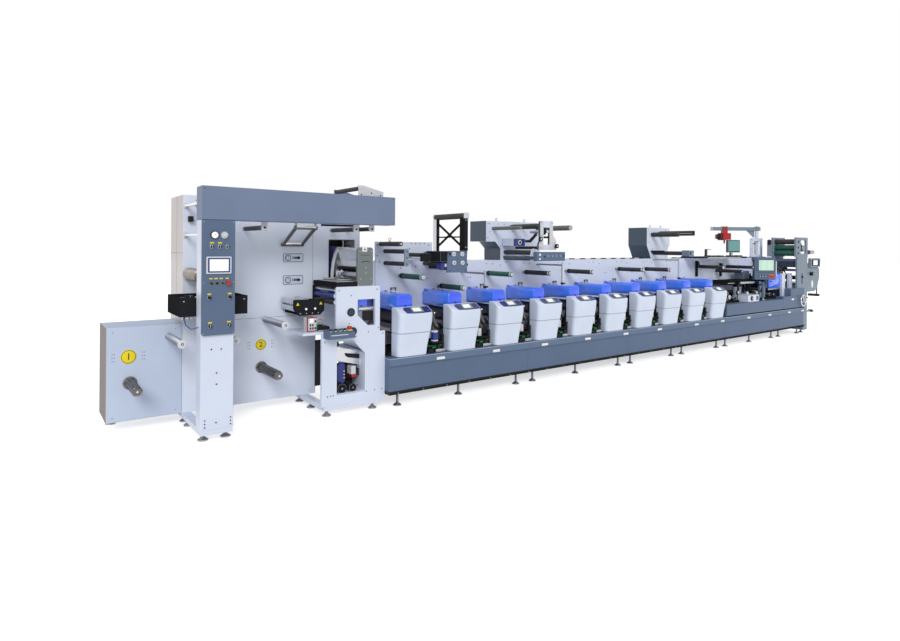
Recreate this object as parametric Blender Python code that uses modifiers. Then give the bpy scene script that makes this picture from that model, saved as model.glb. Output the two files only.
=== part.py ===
"""Narrow-web flexographic label press: rewinder, ten print units, web paths and unwinder.

X runs along the press from the rewinder's left face, Y back from the front of the bed, Z up from the floor.
The finished press stands with the middle of its floor outline on the origin.
"""
import math

import bmesh
import bpy
from mathutils import Matrix, Vector

# Fits
GAP = 0.0003            # joint between two touching pieces
SINK = 0.003            # how far fused shapes run into each other
EASE = 0.004            # broken edge of a sheet-metal housing

# Main planes
FRONT_Y = 0.0           # front of the bed and of the column
PANEL_Y = 0.65          # face of the panel that carries the web path
CABINET_D = 0.50        # depth of the cabinets behind that face
REAR_Y = PANEL_Y + CABINET_D
WEB_FACE = 0.49         # length of the rollers on the main panel
FLOOR_GAP = 0.10        # clear height under the cabinets
BRACKET_Y = FRONT_Y + 0.10  # plane of the outboard plates and brackets

# Levelling feet
FOOT_PAD_R = 0.042
FOOT_NECK_R = 0.016
FOOT_PAD_H = 0.028
FOOT_STEM_R = 0.011
FOOT_INSET = 0.08       # feet in from the edge of what they carry

# Rewinder at the left end
BOX_W = 0.594
BOX_D = 0.45
BOX_TOP = 0.90
COLUMN_LEFT = BOX_W
COLUMN_W = 0.261
COLUMN_D = 0.15
CABINET_W = 1.768
CABINET_LOWER_W = 1.271
CABINET_TOP = 2.054
CABINET_RIGHT = COLUMN_LEFT + CABINET_W
CABINET_LOWER_RIGHT = COLUMN_LEFT + CABINET_LOWER_W
WINDOW_W = 0.285
WINDOW_EDGE = 0.069     # cabinet's right edge to the window
WINDOW_BOTTOM = 1.02
WINDOW_TOP = 1.665
WINDOW_DEPTH = 0.22

# Fascia on the column, with its instruments as (X from the left edge, Z above the bottom, radius, stand-off)
FASCIA_T = 0.022
FASCIA_BOTTOM = 0.87
FASCIA_CORNER_R = 0.018
SCREEN_W = 0.196
SCREEN_H = 0.138
SCREEN_UP = 0.501
SCREEN_T = 0.009
FASCIA_ROUNDS = (
    (0.097, 0.816, 0.032, 0.012), (0.173, 0.816, 0.026, 0.020),
    (0.076, 0.722, 0.013, 0.016), (0.139, 0.722, 0.013, 0.016), (0.200, 0.722, 0.013, 0.016),
    (0.074, 0.422, 0.013, 0.010), (0.117, 0.422, 0.013, 0.010), (0.160, 0.422, 0.013, 0.010),
    (0.206, 0.422, 0.020, 0.026),
    (0.058, 0.308, 0.014, 0.018), (0.219, 0.308, 0.014, 0.018),
    (0.065, 0.076, 0.014, 0.018), (0.214, 0.076, 0.014, 0.018),
)

# Overhead beam, its ties to the cabinet, and the rollers above and below it as (X from the beam's right end, Z
# from its bottom or top)
BEAM_LEFT = COLUMN_LEFT - 0.003
BEAM_W = 1.808
BEAM_BOTTOM = 1.81
BEAM_H = 0.275
BEAM_TOP = BEAM_BOTTOM + BEAM_H
BEAM_RIGHT = BEAM_LEFT + BEAM_W
BEAM_TIE_IN = (0.109, 0.139)    # ties in from the beam's two ends
TIE_W = 0.06
TIE_UP = 0.14           # beam bottom to the ties
BEAM_ROLLER_R = 0.020
BEAM_UPPER = ((-0.319, 0.081), (-0.099, 0.032))
BEAM_LOWER = ((-1.261, -0.050), (-0.369, -0.045), (-0.199, -0.037))
BEAM_PLATE_T = 0.012
TURN_BAR_R = 0.014
TURN_X = (-0.890, -0.697)       # from the beam's right end
TURN_REAR = (PANEL_Y - 0.02, -0.195)    # Y, and Z from the beam's bottom
TURN_NEAR = (0.30, -0.035)
BASE_RAIL_W = 0.075
BASE_RAIL_H = 0.045

# Winding shafts and steel rollers of the rewinder; those right of the column count from it
WIND_R = 0.0385
WIND_GROOVES = 6
WIND_GROOVE_D = 0.005
WIND_COLLAR_R = 0.0545
WIND_BOSS_R = 0.0265
WIND_1_X = 0.180
WIND_1_Z = 0.423
WIND_1_L = 0.38
WIND_2_X = COLUMN_LEFT + 0.712
WIND_2_Z = 0.428
WIND_2_L = 0.48
STEEL_R = 0.031
STEEL_CAP_R = 0.0355
STEEL_L = 0.572
STEEL_SHORT_L = 0.48
STEEL_1 = (COLUMN_LEFT - 0.120, 0.802)
STEEL_2 = (COLUMN_LEFT + 0.737, 0.891)
STEEL_3 = (COLUMN_LEFT + 0.331, 0.775)
CHILL = (COLUMN_LEFT + 0.046, 1.345)
CHILL_R = 0.057
JOURNAL_L = 0.045       # roller barrel to the panel
CAP_L = 0.012

# Slitting tray and nip unit
TRAY_LEFT = COLUMN_LEFT - 0.122
TRAY_W = 0.548
TRAY_BOTTOM = 1.010
TRAY_H = 0.158
TRAY_WALL = 0.020
KNIFE_SHAFTS = (0.28, 0.40, 0.52)
KNIFE_SHAFT_R = 0.012
KNIVES = (0.128, 0.248, 0.368, 0.468)
KNIFE_R = 0.034
KNIFE_T = 0.020
NIP_LEFT = COLUMN_LEFT + 0.886
NIP_Z = 0.945
NIP_PLATE_Y = 0.26
NIP_PLATE_T = 0.03
NIP_OUTLINE = (
    (0.0, 0.150, 0), (0.0, 0.065, 0), (0.05, 0.0, 0.01), (0.26, 0.0, 0.01), (0.30, 0.04, 0), (0.30, 0.150, 0),
)
NIP_ROLLERS = ((0.035, 0.123, 0.026), (0.035, 0.065, 0.028), (0.175, 0.127, 0.030))

# White front frame below the die station: outline and openings as (X from its left edge, Z)
FRAME_Y = BRACKET_Y
FRAME_T = 0.03
FRAME_W = 0.675
FRAME_LEFT = CABINET_RIGHT - FRAME_W
FRAME_RIGHT = FRAME_LEFT + FRAME_W
FRAME_UPPER = (0.143, 0.615)
FRAME_STEP_Z = 0.765
FRAME_TOP = 1.2145
FRAME_OPENING = ((0.153, 0.190), (0.453, 0.190), (0.453, 0.562), (0.321, 0.696), (0.153, 0.696))
FRAME_WINDOW = ((0.368, 1.086), (0.368, 0.935), (0.485, 0.828), (0.562, 0.828), (0.562, 1.086))
FRAME_BOSSES = ((0.297, 0.968), (0.320, 0.783))
BOSS_R = 0.040
TABLE_Z = 0.775
TABLE_T = 0.025
TABLE_OUT = 0.182       # how far the side table reaches left of the frame
TABLE_BACK_Y = 0.50
DRIVE_BOX = ((0.165, 0.640), (0.470, 0.560), (0.470, 0.425), (0.165, 0.500))
DRIVE_BOX_Y = (0.22, 0.36)
DRIVE_MOTORS = ((0.230, 0.045), (0.345, 0.040))
FRAME_ROLLERS = ((0.160, 1.180, 0.018), (0.160, 1.125, 0.027), (0.160, 1.066, 0.026))
FRAME_ROLLER_PLATE = (0.125, 0.196, 1.030, 1.206)

# Die station on the front frame, as X from the frame's left edge and Z above its base
DIE_LEFT = 0.368
DIE_W = 0.167
DIE_H = 0.377
DIE_BASE_LEFT = 0.148
DIE_BASE_H = 0.040
DIE_PLATE_T = 0.035
DIE_REAR_Y = 0.585
DIE_CORNER_R = 0.028
DIE_ROLLERS = ((0.105, 0.056), (0.255, 0.080))

# Operator console on the front frame
CONSOLE_LEFT = FRAME_LEFT + 0.013
CONSOLE_W = 0.265
CONSOLE_BOTTOM = 0.742
CONSOLE_H = 0.080
CONSOLE_D = 0.130
CONSOLE_SLOPE = 0.032
CONSOLE_BUTTON_R = 0.012
CONSOLE_STOP_R = 0.019
CONSOLE_PITCH = 0.048
CONSOLE_BUTTONS = 5

# Bed, main panel and print units
BED_LEFT = FRAME_RIGHT + GAP
BED_L = 9.1777
BED_RIGHT = BED_LEFT + BED_L
BED_BOTTOM = 0.13
BED_TOP = 0.49
BED_PROFILE = ((0.0, 0.072), (0.018, 0.094), (0.018, 0.318), (0.004, 0.332))  # Y, Z down from the top
BED_JOINTS = (1.893, 3.783, 5.038, 6.298, 8.153)        # from the bed's left end
BED_MIDDLE_FEET = (0.908, 2.788, 7.218)
FOOT_SPREAD = 0.135
ON_BED = BED_TOP + GAP
PANEL_LEFT = BED_LEFT + 0.1957
PANEL_L = 8.642
PANEL_RIGHT = PANEL_LEFT + PANEL_L
PANEL_T = 0.025
PANEL_TOP = 1.44
PANEL_HIGH_W = 0.751
PANEL_HIGH_TOP = 1.655
CABINET_INSET = 0.06
UNITS = 10
PITCH = 0.645
UNIT_LEFT = BED_LEFT + 0.0977
UNITS_RIGHT = UNIT_LEFT + PITCH * UNITS

# Housing of a print unit, lofted through levels (Z above the bed, front Y, right edge's share of the width)
COVER_W = 0.400
COVER_D = 0.135
COVER_LEVELS = (
    (0.0, 0.006, 0.355), (0.238, -0.020, 0.384), (0.350, -0.032, 0.398), (0.405, -0.034, COVER_W),
)
COVER_SEAM = 0.240
COVER_SEAM_D = 0.004
COVER_SHOULDER = 0.435
COVER_TOP = 0.495
COVER_SLOPE_Y = 0.058
COVER_CORNER = 0.030
COVER_TOP_R = 0.024

# Working parts of a print unit, as X from its left edge and Z above the bed
DECK_FRONT_Y = COVER_D + 0.010
DECK_PLATE_T = 0.025
DECK_TOP = 0.465
DECK_RAIL_H = 0.030
DECK_OUTLINE = ((0.01, 0.02), (0.56, 0.02), (0.56, 0.21), (0.47, 0.35), (0.40, DECK_TOP), (0.03, DECK_TOP),
                (0.01, 0.41))
DECK_ROLLERS = ((0.16, 0.36, 0.075), (0.055, 0.27, 0.05), (0.33, 0.27, 0.09), (0.50, 0.11, 0.045))
HOOD_OFFSET = 0.07
HOOD_W = 0.185
HOOD_FRONT_Y = COVER_D + 0.003
HOOD_H = 0.157
HOOD_WALL = 0.005
HOOD_CORNER_R = 0.05
HOOD_Z = BED_TOP + DECK_TOP + GAP

# Rollers on the main panel, as (X from the panel's left edge, Z) of their axes
ROLLER_R = 0.0295
PANEL_ROLLERS = {
    "green_roller_1": (0.303, 1.277),
    "green_roller_2": (0.852, 1.145),
    "green_roller_3": (1.572, 1.280),
    "black_roller_1": (2.217, 1.280),
    "black_roller_2": (3.029, 1.280),
    "black_roller_3": (4.139, 1.290),
    "black_roller_4": (4.811, 1.280),
    "black_roller_5": (6.334, 1.295),
}
# Fixed bars and guides on the main panel: (X from the panel's left edge, Z, radius, length)
PANEL_BARS = (
    (0.048, 1.630, 0.024, 0.45), (0.108, 1.551, 0.023, 0.45), (0.108, 1.420, 0.023, 0.45),
    (0.412, 1.512, 0.022, 0.43), (0.412, 1.462, 0.016, 0.43), (6.938, 1.214, 0.028, 0.49), (7.297, 1.281,
            0.028, 0.28),
)
LOOP_PLATE_W = 0.050
LOOP_PLATE_Z = (1.395, 1.580)
LOOP_PLATE_T = 0.012
PANEL_RODS = ((1.182, 1.33), (2.492, 1.41), (5.082, 1.455))       # X from the panel's left edge, top Z
PANEL_ROD_Y = 0.20
PANEL_ROD_R = 0.010
PANEL_ROD_ARM = 0.030
ROD_LOW_Z = 1.13          # foot of the guide rods, above the hoods

# Shelf, monitor and jib stand on the panel's top edge, in from its right end
SHELF = (3.030, 1.640)
SHELF_FRONT_Y = 0.28
SHELF_BACK = 0.06
SHELF_T = 0.030
SHELF_STOP = (2.980, 0.040, 0.155, 0.015)     # place, width, arm length and arm thickness
SHELF_STOP_H = 0.128
MONITOR = (2.250, 1.850, 1.540, 1.763)
MONITOR_Y = (0.300, 0.340)
MONITOR_POST = 0.060
JIB_STAND = (0.740, 0.290, 1.820)             # left and right edges and the top
JIB_STAND_SILL = 0.060
JIB_STAND_T = 0.028
JIB_LIFT = (0.540, 0.042, 1.790)              # lifting cylinder: place, radius and top

# Web guide and lattice carrier, from the guide's left and bottom edges
GUIDE_LEFT = PANEL_LEFT + 0.572
GUIDE_W = 0.270
GUIDE_BOTTOM = 1.325
GUIDE_H = 0.235
GUIDE_TOP = GUIDE_BOTTOM + GUIDE_H
GUIDE_T = 0.025
GUIDE_KNOBS = ((0.080, 0.200), (0.085, 0.105), (0.195, 0.200), (0.200, 0.105))
GUIDE_KNOB_R = 0.024
GUIDE_ROLLERS = ((0.070, 0.085, 0.022), (0.150, 0.045, 0.022))
LATTICE_LEFT = GUIDE_LEFT + 0.235
LATTICE_W = 0.055
LATTICE_TOP = 1.93
LATTICE_NEAR_Y = 0.15
LATTICE_REAR_Y = PANEL_Y + 0.035
LATTICE_POST = 0.05
LATTICE_NEAR_POST = 0.09
LATTICE_BRACE = 0.012
LATTICE_TIE_Z = 1.715
LATTICE_ROLLER_R = 0.032

# Overhead units on the panel's top edge, as X from their left edge and Z
OVER_TOP = 1.935
OVER_D = 0.32
OVER_1_LEFT = PANEL_LEFT + 1.572
OVER_1_W = 0.940
OVER_1_STEPS = ((0.0, 1.675), (0.152, 1.675), (0.240, 1.590))
OVER_1_ROLLERS = (
    (0.115, 1.840, 0.022, 0.51), (0.430, 1.866, 0.032, 0.52), (0.510, 1.600, 0.018, 0.52), (0.590, 1.880,
            0.014, 0.52),
    (0.320, 1.540, 0.028, 0.48), (0.320, 1.463, 0.020, 0.48), (0.900, 1.855, 0.032, 0.59),
)
OVER_1_PLATE = (
    (0.376, 1.573, 0), (0.376, 1.640, 0), (0.400, 1.690, 0), (0.400, 1.930, 0.02), (0.620, 1.930, 0.02),
    (0.620, 1.760, 0), (0.680, 1.690, 0), (0.680, 1.573, 0),
)
OVER_1_CUT = ((0.455, 1.640), (0.560, 1.640), (0.560, 1.850), (0.455, 1.850))
OVER_PLATE_T = 0.03
OVER_1_SWITCHES = (0.245, 0.730, 1.440, 1.550)
SWITCH_BOX_D = 0.060
OVER_1_ARMS = (0.290, 0.650)
OVER_1_MOTOR = (0.270, 0.410, 1.620, 1.712)
OVER_2_LEFT = PANEL_LEFT + 4.906
OVER_2_W = 0.621
OVER_2_STEPS = ((0.0, 1.650), (0.111, 1.4403), (0.571, 1.4403), (0.571, 1.600), (0.621, 1.660))
OVER_2_ROLLERS = (
    (0.136, 1.822, 0.036, 0.47), (0.330, 1.862, 0.018, 0.60), (0.330, 1.822, 0.018, 0.60), (0.180, 1.530,
            0.030, 0.52),
)
OVER_2_END = (0.150, 0.270, 1.485, 1.575)

# Plinth and modules at the right end
PLINTH_LEFT = BED_LEFT + 6.3577
PLINTH_BLOCK_L = 0.850
PLINTH_H = 0.200
BLOCK_H = 0.242
PLINTH_TOP = BED_TOP + PLINTH_H
BLOCK_TOP = BED_TOP + BLOCK_H
PLINTH_FRONT_Y = FRONT_Y + 0.006
PLINTH_BACK_Y = PANEL_Y - 0.05
ON_PLINTH = PLINTH_TOP + GAP
RISER_L = 0.540         # slate housing behind the block, back from the bed's right end
RISER_Y = 0.200
RISER_TOP = 0.868
PILLARS = (0.648, 0.358)     # white pillars, in from the bed's right end
PILLAR_W = 0.130
PILLAR_Y = 0.125
PILLAR_T = 0.040
PILLAR_TOP = 1.151
MODULES_LEFT = BED_LEFT + 6.5377
MODULES_W = 2.050
MODULES_Y = 0.17
MODULES_BASE_H = 0.035
MODULE_POSTS = (0.438, 1.300)
MODULE_POST_W = 0.210
MODULE_POST_H = 0.255
MODULE_PLATES_Y = (0.20, 0.55)
MODULE_BRIDGE = (0.330, 1.220, 0.285, 0.350)
MODULE_BOX = (0.530, 0.940, 0.125)
MODULE_ROLLERS = (
    (0.220, 0.095, 0.035), (0.500, 0.165, 0.035), (0.820, 0.135, 0.035), (1.150, 0.135, 0.035), (1.360,
            0.165, 0.035),
)
MODULE_STANDS = ((0.220, 0.095), (0.700, 0.290), (0.820, 0.135), (1.150, 0.290))
GUARD_LEFT = MODULES_LEFT + 1.540
GUARD_W = 0.440
GUARD_H = 0.262
GUARD_TABLE_UP = 0.195       # top of the table under the guard, above the plinth
GUARD_TABLE_T = 0.030
GUARD_BLOCK_IN = 0.060       # the block under the table, in from the guard's sides
HANDWHEEL_INSET = 0.112
HANDWHEEL_UP = 0.145
HANDWHEEL_R = 0.112
HANDWHEEL_RIM_R = 0.010
HANDWHEEL_OUT = 0.030
HANDWHEEL_HUB_R = 0.020
HANDWHEEL_SPOKES = 3

# End frame and unwind head, as X from the bed's right end
END_POST_LEFT = BED_RIGHT + GAP
END_FRAME_LEFT = BED_RIGHT - 0.270
END_FRAME_W = 0.430
END_FRAME_TOP = 1.459
END_FRAME_T = 0.03
END_FRONT_Y = 0.02
END_REAR_Y = 0.46
END_LOW = 0.06
END_PLATE_Z = RISER_TOP + GAP       # lower edge of the wide plates; the rear one stands on the riser
END_SLOT = (0.180, 0.240, 0.945, 1.145)
END_ROLLERS = ((0.300, 1.200, 0.030), (0.240, 1.060, 0.040), (0.300, 0.950, 0.035))
END_TABLE = (0.030, 0.250, 1.260, 1.420)
END_STUBS = ((0.520, 0.700, 0.210), (0.230, 0.406, 0.090))
END_STUB_R = 0.025
STUB_ARM = 0.015
TAIL_T = 0.020
# Outline of the unwinder's rear plate as (X from the frame's right edge, Z, corner radius)
TAIL = (
    (-0.100, 0.900, 0.0), (0.060, 0.780, 0.040), (0.400, 0.780, 0.080), (0.520, 0.860, 0.050), (0.620, 1.060,
            0.080),
    (0.610, 1.220, 0.070), (0.440, 1.340, 0.0), (-0.100, 1.340, 0.0),
)
END_SCREEN = (0.110, 0.530, 1.262, 1.430)
END_SCREEN_T = 0.048
HEAD_LEFT = BED_RIGHT - 0.326
HEAD_W = 0.500
HEAD_H = 0.371
HEAD_ROLLERS = ((0.090, 0.071, 0.054), (0.100, 0.178, 0.048), (0.110, 0.289, 0.050), (0.340, 0.161, 0.060))
HEAD_WINDOW = (0.200, 0.430, 0.060, 0.320)
HEAD_WINDOW_R = 0.040
HEAD_STUB = (0.091, 0.036, 0.250)
HEAD_FAR_IN = 0.02      # head's rear plate in front of the end frame's

# Jib crane, hoist and operator terminal
JIB_X = BED_RIGHT - 0.390
JIB_Y = PANEL_Y + 0.07
JIB_POST_R = 0.034
JIB_ARM_Z = 1.965
JIB_ARM_H = 0.070
JIB_ARM_W = 0.056
JIB_TAIL = 0.06
JIB_REACH = 0.90
JIB_ANGLE = math.radians(143.5)
JIB_GUSSET = 0.13
HOIST_RUN = 0.64
HOIST_L = 0.22
HOIST_W = 0.13
HOIST_H = 0.14
HOIST_DROP = 0.05
HOIST_PLAY = 0.004
CHEEK_T = 0.010
CHEEK_L = 0.10
HOOK_R = 0.016
HOOK_L = 0.06
HMI_X = BED_RIGHT - 1.397
HMI_Y = 0.115
HMI_Z = 1.06
HMI_W = 0.375
HMI_H = 0.40
HMI_D = 0.12
HMI_TURN = math.radians(-36.5)
HMI_POST_R = 0.022
HMI_BUTTONS = 5
HMI_BUTTON_R = 0.016
HMI_HANDLE_OUT = 0.030
HMI_HANDLE_R = 0.011

COLOURS = {
    "slate": ((0.13, 0.17, 0.24), 0.42, 0.0),
    "white": ((0.72, 0.74, 0.82), 0.38, 0.0),
    "steel": ((0.55, 0.55, 0.56), 0.28, 1.0),
    "black": ((0.02, 0.02, 0.023), 0.45, 0.0),
    "green": ((0.01, 0.09, 0.06), 0.5, 0.0),
    "blue": ((0.03, 0.08, 0.72), 0.25, 0.0),
    "red": ((0.45, 0.03, 0.03), 0.4, 0.0),
    "grey": ((0.36, 0.38, 0.39), 0.45, 0.0),
}


def start_clean():
    """Empty the scene and make the collections for the parts and the cutters."""
    for item in list(bpy.data.objects):
        bpy.data.objects.remove(item)
    made = []
    for name in ("Flexographic press", "Cutters"):
        group = bpy.data.collections.new(name)
        bpy.context.scene.collection.children.link(group)
        made.append(group)
    return made


PARTS, CUTTERS = start_clean()


def material(name):
    """A Principled material in one of the press's colours."""
    found = bpy.data.materials.get(name)
    if found:
        return found
    colour, rough, metal = COLOURS[name]
    made = bpy.data.materials.new(name)
    made.use_nodes = True
    shader = made.node_tree.nodes["Principled BSDF"]
    shader.inputs["Base Color"].default_value = (*colour, 1.0)
    shader.inputs["Roughness"].default_value = rough
    shader.inputs["Metallic"].default_value = metal
    return made


def piece(mesh, location=(0.0, 0.0, 0.0)):
    """A loose shape in the cutters' collection, ready to be fused or used as a cutter."""
    made = bpy.data.objects.new("shape", mesh)
    made.location = location
    made.display_type = "WIRE"
    made.hide_render = True
    CUTTERS.objects.link(made)
    return made


def box(x0, x1, y0, y1, z0, z1, bevel=0.0):
    """A block between two corners, its edges bevelled."""
    bm = bmesh.new()
    size = Matrix.Diagonal((x1 - x0, y1 - y0, z1 - z0, 1.0))
    bmesh.ops.create_cube(bm, size=1.0, matrix=size)
    mesh = bpy.data.meshes.new("box")
    bm.to_mesh(mesh)
    bm.free()
    made = piece(mesh, ((x0 + x1) / 2, (y0 + y1) / 2, (z0 + z1) / 2))
    if bevel:
        edge = made.modifiers.new("edges", "BEVEL")
        edge.width = bevel
        edge.segments = 1
    return made


AXIS_TURN = {
    "X": Matrix.Rotation(math.pi / 2, 4, "Y"),
    "Y": Matrix.Rotation(-math.pi / 2, 4, "X"),
    "Z": Matrix.Identity(4),
}


def rod(axis, centre, start, end, radius, end_radius=None, sides=16):
    """A round bar along an axis; centre gives the two other coordinates in X, Y, Z order."""
    bm = bmesh.new()
    far = radius if end_radius is None else end_radius
    bmesh.ops.create_cone(bm, cap_ends=True, segments=sides, radius1=radius, radius2=far,
                          depth=end - start, matrix=AXIS_TURN[axis])
    mesh = bpy.data.meshes.new("rod")
    bm.to_mesh(mesh)
    bm.free()
    place = list(centre)
    place.insert("XYZ".index(axis), (start + end) / 2)
    made = piece(mesh, place)
    return made


PLANE_TURN = {
    "XZ": Matrix.Rotation(math.pi / 2, 4, "X"),
    "YZ": Matrix(((0, 0, 1, 0), (1, 0, 0, 0), (0, 1, 0, 0), (0, 0, 0, 1))),
    "XY": Matrix.Identity(4),
}
PLANE_NORMAL = {"XZ": Vector((0, 1, 0)), "YZ": Vector((1, 0, 0)), "XY": Vector((0, 0, 1))}


def plate(plane, outline, low, high, holes=()):
    """A flat outline in a plane, filled and given its thickness from low to high."""
    curve = bpy.data.curves.new("outline", "CURVE")
    curve.dimensions = "2D"
    curve.fill_mode = "BOTH"
    curve.extrude = (high - low) / 2
    for loop in (outline, *holes):
        spline = curve.splines.new("POLY")
        spline.points.add(len(loop) - 1)
        for point, (u, v) in zip(spline.points, loop):
            point.co = (u, v, 0.0, 1.0)
        spline.use_cyclic_u = True
    flat = bpy.data.objects.new("outline", curve)
    CUTTERS.objects.link(flat)
    bpy.context.view_layer.update()
    mesh = bpy.data.meshes.new_from_object(flat.evaluated_get(bpy.context.evaluated_depsgraph_get()))
    bpy.data.objects.remove(flat)
    bm = bmesh.new()
    bm.from_mesh(mesh)
    bmesh.ops.remove_doubles(bm, verts=bm.verts, dist=0.00001)
    bmesh.ops.transform(bm, matrix=PLANE_TURN[plane], verts=bm.verts)
    bmesh.ops.recalc_face_normals(bm, faces=bm.faces)
    bm.to_mesh(mesh)
    bm.free()
    return piece(mesh, PLANE_NORMAL[plane] * ((low + high) / 2))


def rounded(corners, steps=3):
    """An outline whose corners (u, v, radius) are rounded by arcs."""
    points = []
    for index, (u, v, radius) in enumerate(corners):
        here = Vector((u, v))
        before = Vector(corners[index - 1][:2]) - here
        after = Vector(corners[(index + 1) % len(corners)][:2]) - here
        if not radius:
            points.append((u, v))
            continue
        half = before.angle(after) / 2
        reach = radius / math.tan(half)
        centre = here + (before.normalized() + after.normalized()).normalized() * radius / math.sin(half)
        first = here + before.normalized() * reach - centre
        turn = first.angle_signed(here + after.normalized() * reach - centre)
        for step in range(steps + 1):
            spoke = first.copy()
            spoke.rotate(Matrix.Rotation(-turn * step / steps, 2))
            points.append(tuple(centre + spoke))
    return points


def merge(base, others, operation):
    """Join or cut a shape with others, and keep the evaluated result in the shape's own frame."""
    group = bpy.data.collections.new("operands")
    bpy.context.scene.collection.children.link(group)
    for other in others:
        group.objects.link(other)
    change = base.modifiers.new(operation.lower(), "BOOLEAN")
    change.operation = operation
    change.operand_type = "COLLECTION"
    change.collection = group
    change.solver = "EXACT"
    bpy.context.view_layer.update()
    result = base.evaluated_get(bpy.context.evaluated_depsgraph_get())
    mesh = bpy.data.meshes.new_from_object(result)
    base.modifiers.clear()
    base.data = mesh
    for other in others:
        bpy.data.objects.remove(other)
    bpy.data.collections.remove(group)
    return base


def fuse(*shapes):
    """One solid made of overlapping shapes, in the frame of the first."""
    return merge(shapes[0], shapes[1:], "UNION") if len(shapes) > 1 else shapes[0]


def cut(shape, *cutters):
    """A shape with cutters taken out of it."""
    return merge(shape, cutters, "DIFFERENCE")


def keep(name, shape, colour, origin=None):
    """Name a finished shape, give it its colour and, for a moving piece, its origin on the axis."""
    shape.name = name
    shape.data.name = name
    shape.display_type = "TEXTURED"
    shape.hide_render = False
    shape.data.materials.clear()
    shape.data.materials.append(material(colour))
    if origin is not None:
        shift = Vector(origin) - shape.location
        shape.data.transform(Matrix.Translation(-shift))
        shape.location = origin
    CUTTERS.objects.unlink(shape)
    PARTS.objects.link(shape)
    return shape


def feet(places, top):
    """Levelling feet: a conical pad on the floor and a screwed stem up into what they carry."""
    made = []
    for x, y in places:
        made.append(rod("Z", (x, y), 0.0, FOOT_PAD_H, FOOT_PAD_R, FOOT_NECK_R, sides=8))
        made.append(rod("Z", (x, y), FOOT_PAD_H - SINK, top + SINK, FOOT_STEM_R, sides=5))
    return made


def offset(outline, x, z):
    """An outline moved so that its own zero lies at (x, z)."""
    return [(point[0] + x, point[1] + z, *point[2:]) for point in outline]


def y_rods(rods, x, z, start, back, sides=10):
    """Bars along Y from one plane to another, each given as (X, Z, radius) from a corner."""
    return [rod("Y", (x + dx, z + dz), start, back, radius, sides=sides) for dx, dz, radius in rods]


def rewinder_box():
    """Closed box at the far left behind winding shaft 1."""
    back = PANEL_Y + BOX_D
    shell = box(0.0, BOX_W - GAP, PANEL_Y, back, FLOOR_GAP, BOX_TOP, bevel=EASE)
    stand = feet([(FOOT_INSET, back - FOOT_INSET)], FLOOR_GAP)
    keep("rewinder_box", fuse(shell, *stand), "white")


def rewinder_cabinet():
    """Tall cabinet whose front is the rewinder's panel, with a recessed window at the right."""
    outline = [
        (COLUMN_LEFT, FLOOR_GAP), (CABINET_LOWER_RIGHT, FLOOR_GAP), (CABINET_LOWER_RIGHT, BOX_TOP),
        (CABINET_RIGHT, BOX_TOP), (CABINET_RIGHT, CABINET_TOP), (COLUMN_LEFT, CABINET_TOP),
    ]
    body = plate("XZ", outline, PANEL_Y, REAR_Y)
    right = CABINET_RIGHT - WINDOW_EDGE
    window = box(right - WINDOW_W, right, PANEL_Y - SINK, PANEL_Y + WINDOW_DEPTH, WINDOW_BOTTOM, WINDOW_TOP)
    cut(body, window)
    rear = REAR_Y - FOOT_INSET
    stand = feet([(COLUMN_LEFT + FOOT_INSET, rear), (CABINET_LOWER_RIGHT - FOOT_INSET, rear)], FLOOR_GAP)
    keep("rewinder_cabinet", fuse(body, *stand), "white")


def front_column():
    """White post in front of the rewinder, on a base rail that runs back under the cabinet."""
    top = FLOOR_GAP - GAP
    low = top - BASE_RAIL_H
    left = COLUMN_LEFT + SINK
    right = COLUMN_LEFT + COLUMN_W
    post = box(COLUMN_LEFT, right, FRONT_Y, COLUMN_D, top - SINK, BEAM_BOTTOM - GAP, bevel=EASE)
    rail = box(left, left + BASE_RAIL_W, FRONT_Y + EASE, PANEL_Y + 2 * FOOT_INSET, low, top)
    toe = box(left, right - SINK, FRONT_Y + EASE, FRONT_Y + COLUMN_D, low, top)
    middle = left + BASE_RAIL_W / 2
    front = FRONT_Y + FOOT_INSET
    places = [(middle, front), (right - FOOT_INSET / 2, front), (middle, PANEL_Y - FOOT_INSET),
              (middle, PANEL_Y + FOOT_INSET)]
    keep("front_column", fuse(post, rail, toe, *feet(places, low)), "white")


def control_fascia():
    """Slate control plate on the column: screen, gauge, regulator, selectors, buttons and knobs."""
    left = COLUMN_LEFT
    right = COLUMN_LEFT + COLUMN_W
    back = FRONT_Y - GAP
    face = FRONT_Y - FASCIA_T
    top = BEAM_BOTTOM - GAP
    outline = rounded([
        (left, FASCIA_BOTTOM, FASCIA_CORNER_R), (right, FASCIA_BOTTOM, FASCIA_CORNER_R), (right, top,
                0), (left, top, 0),
    ])
    body = plate("XZ", outline, face, back)
    middle = (left + right) / 2
    low = FASCIA_BOTTOM + SCREEN_UP
    screen = box(middle - SCREEN_W / 2, middle + SCREEN_W / 2, face - SCREEN_T, face + SINK, low,
                 low + SCREEN_H, bevel=EASE / 2)
    shapes = [screen]
    for x, z, radius, height in FASCIA_ROUNDS:
        shapes.append(rod("Y", (left + x, FASCIA_BOTTOM + z), face - height, face + SINK, radius, sides=8))
    keep("control_fascia", fuse(body, *shapes), "slate")


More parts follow.
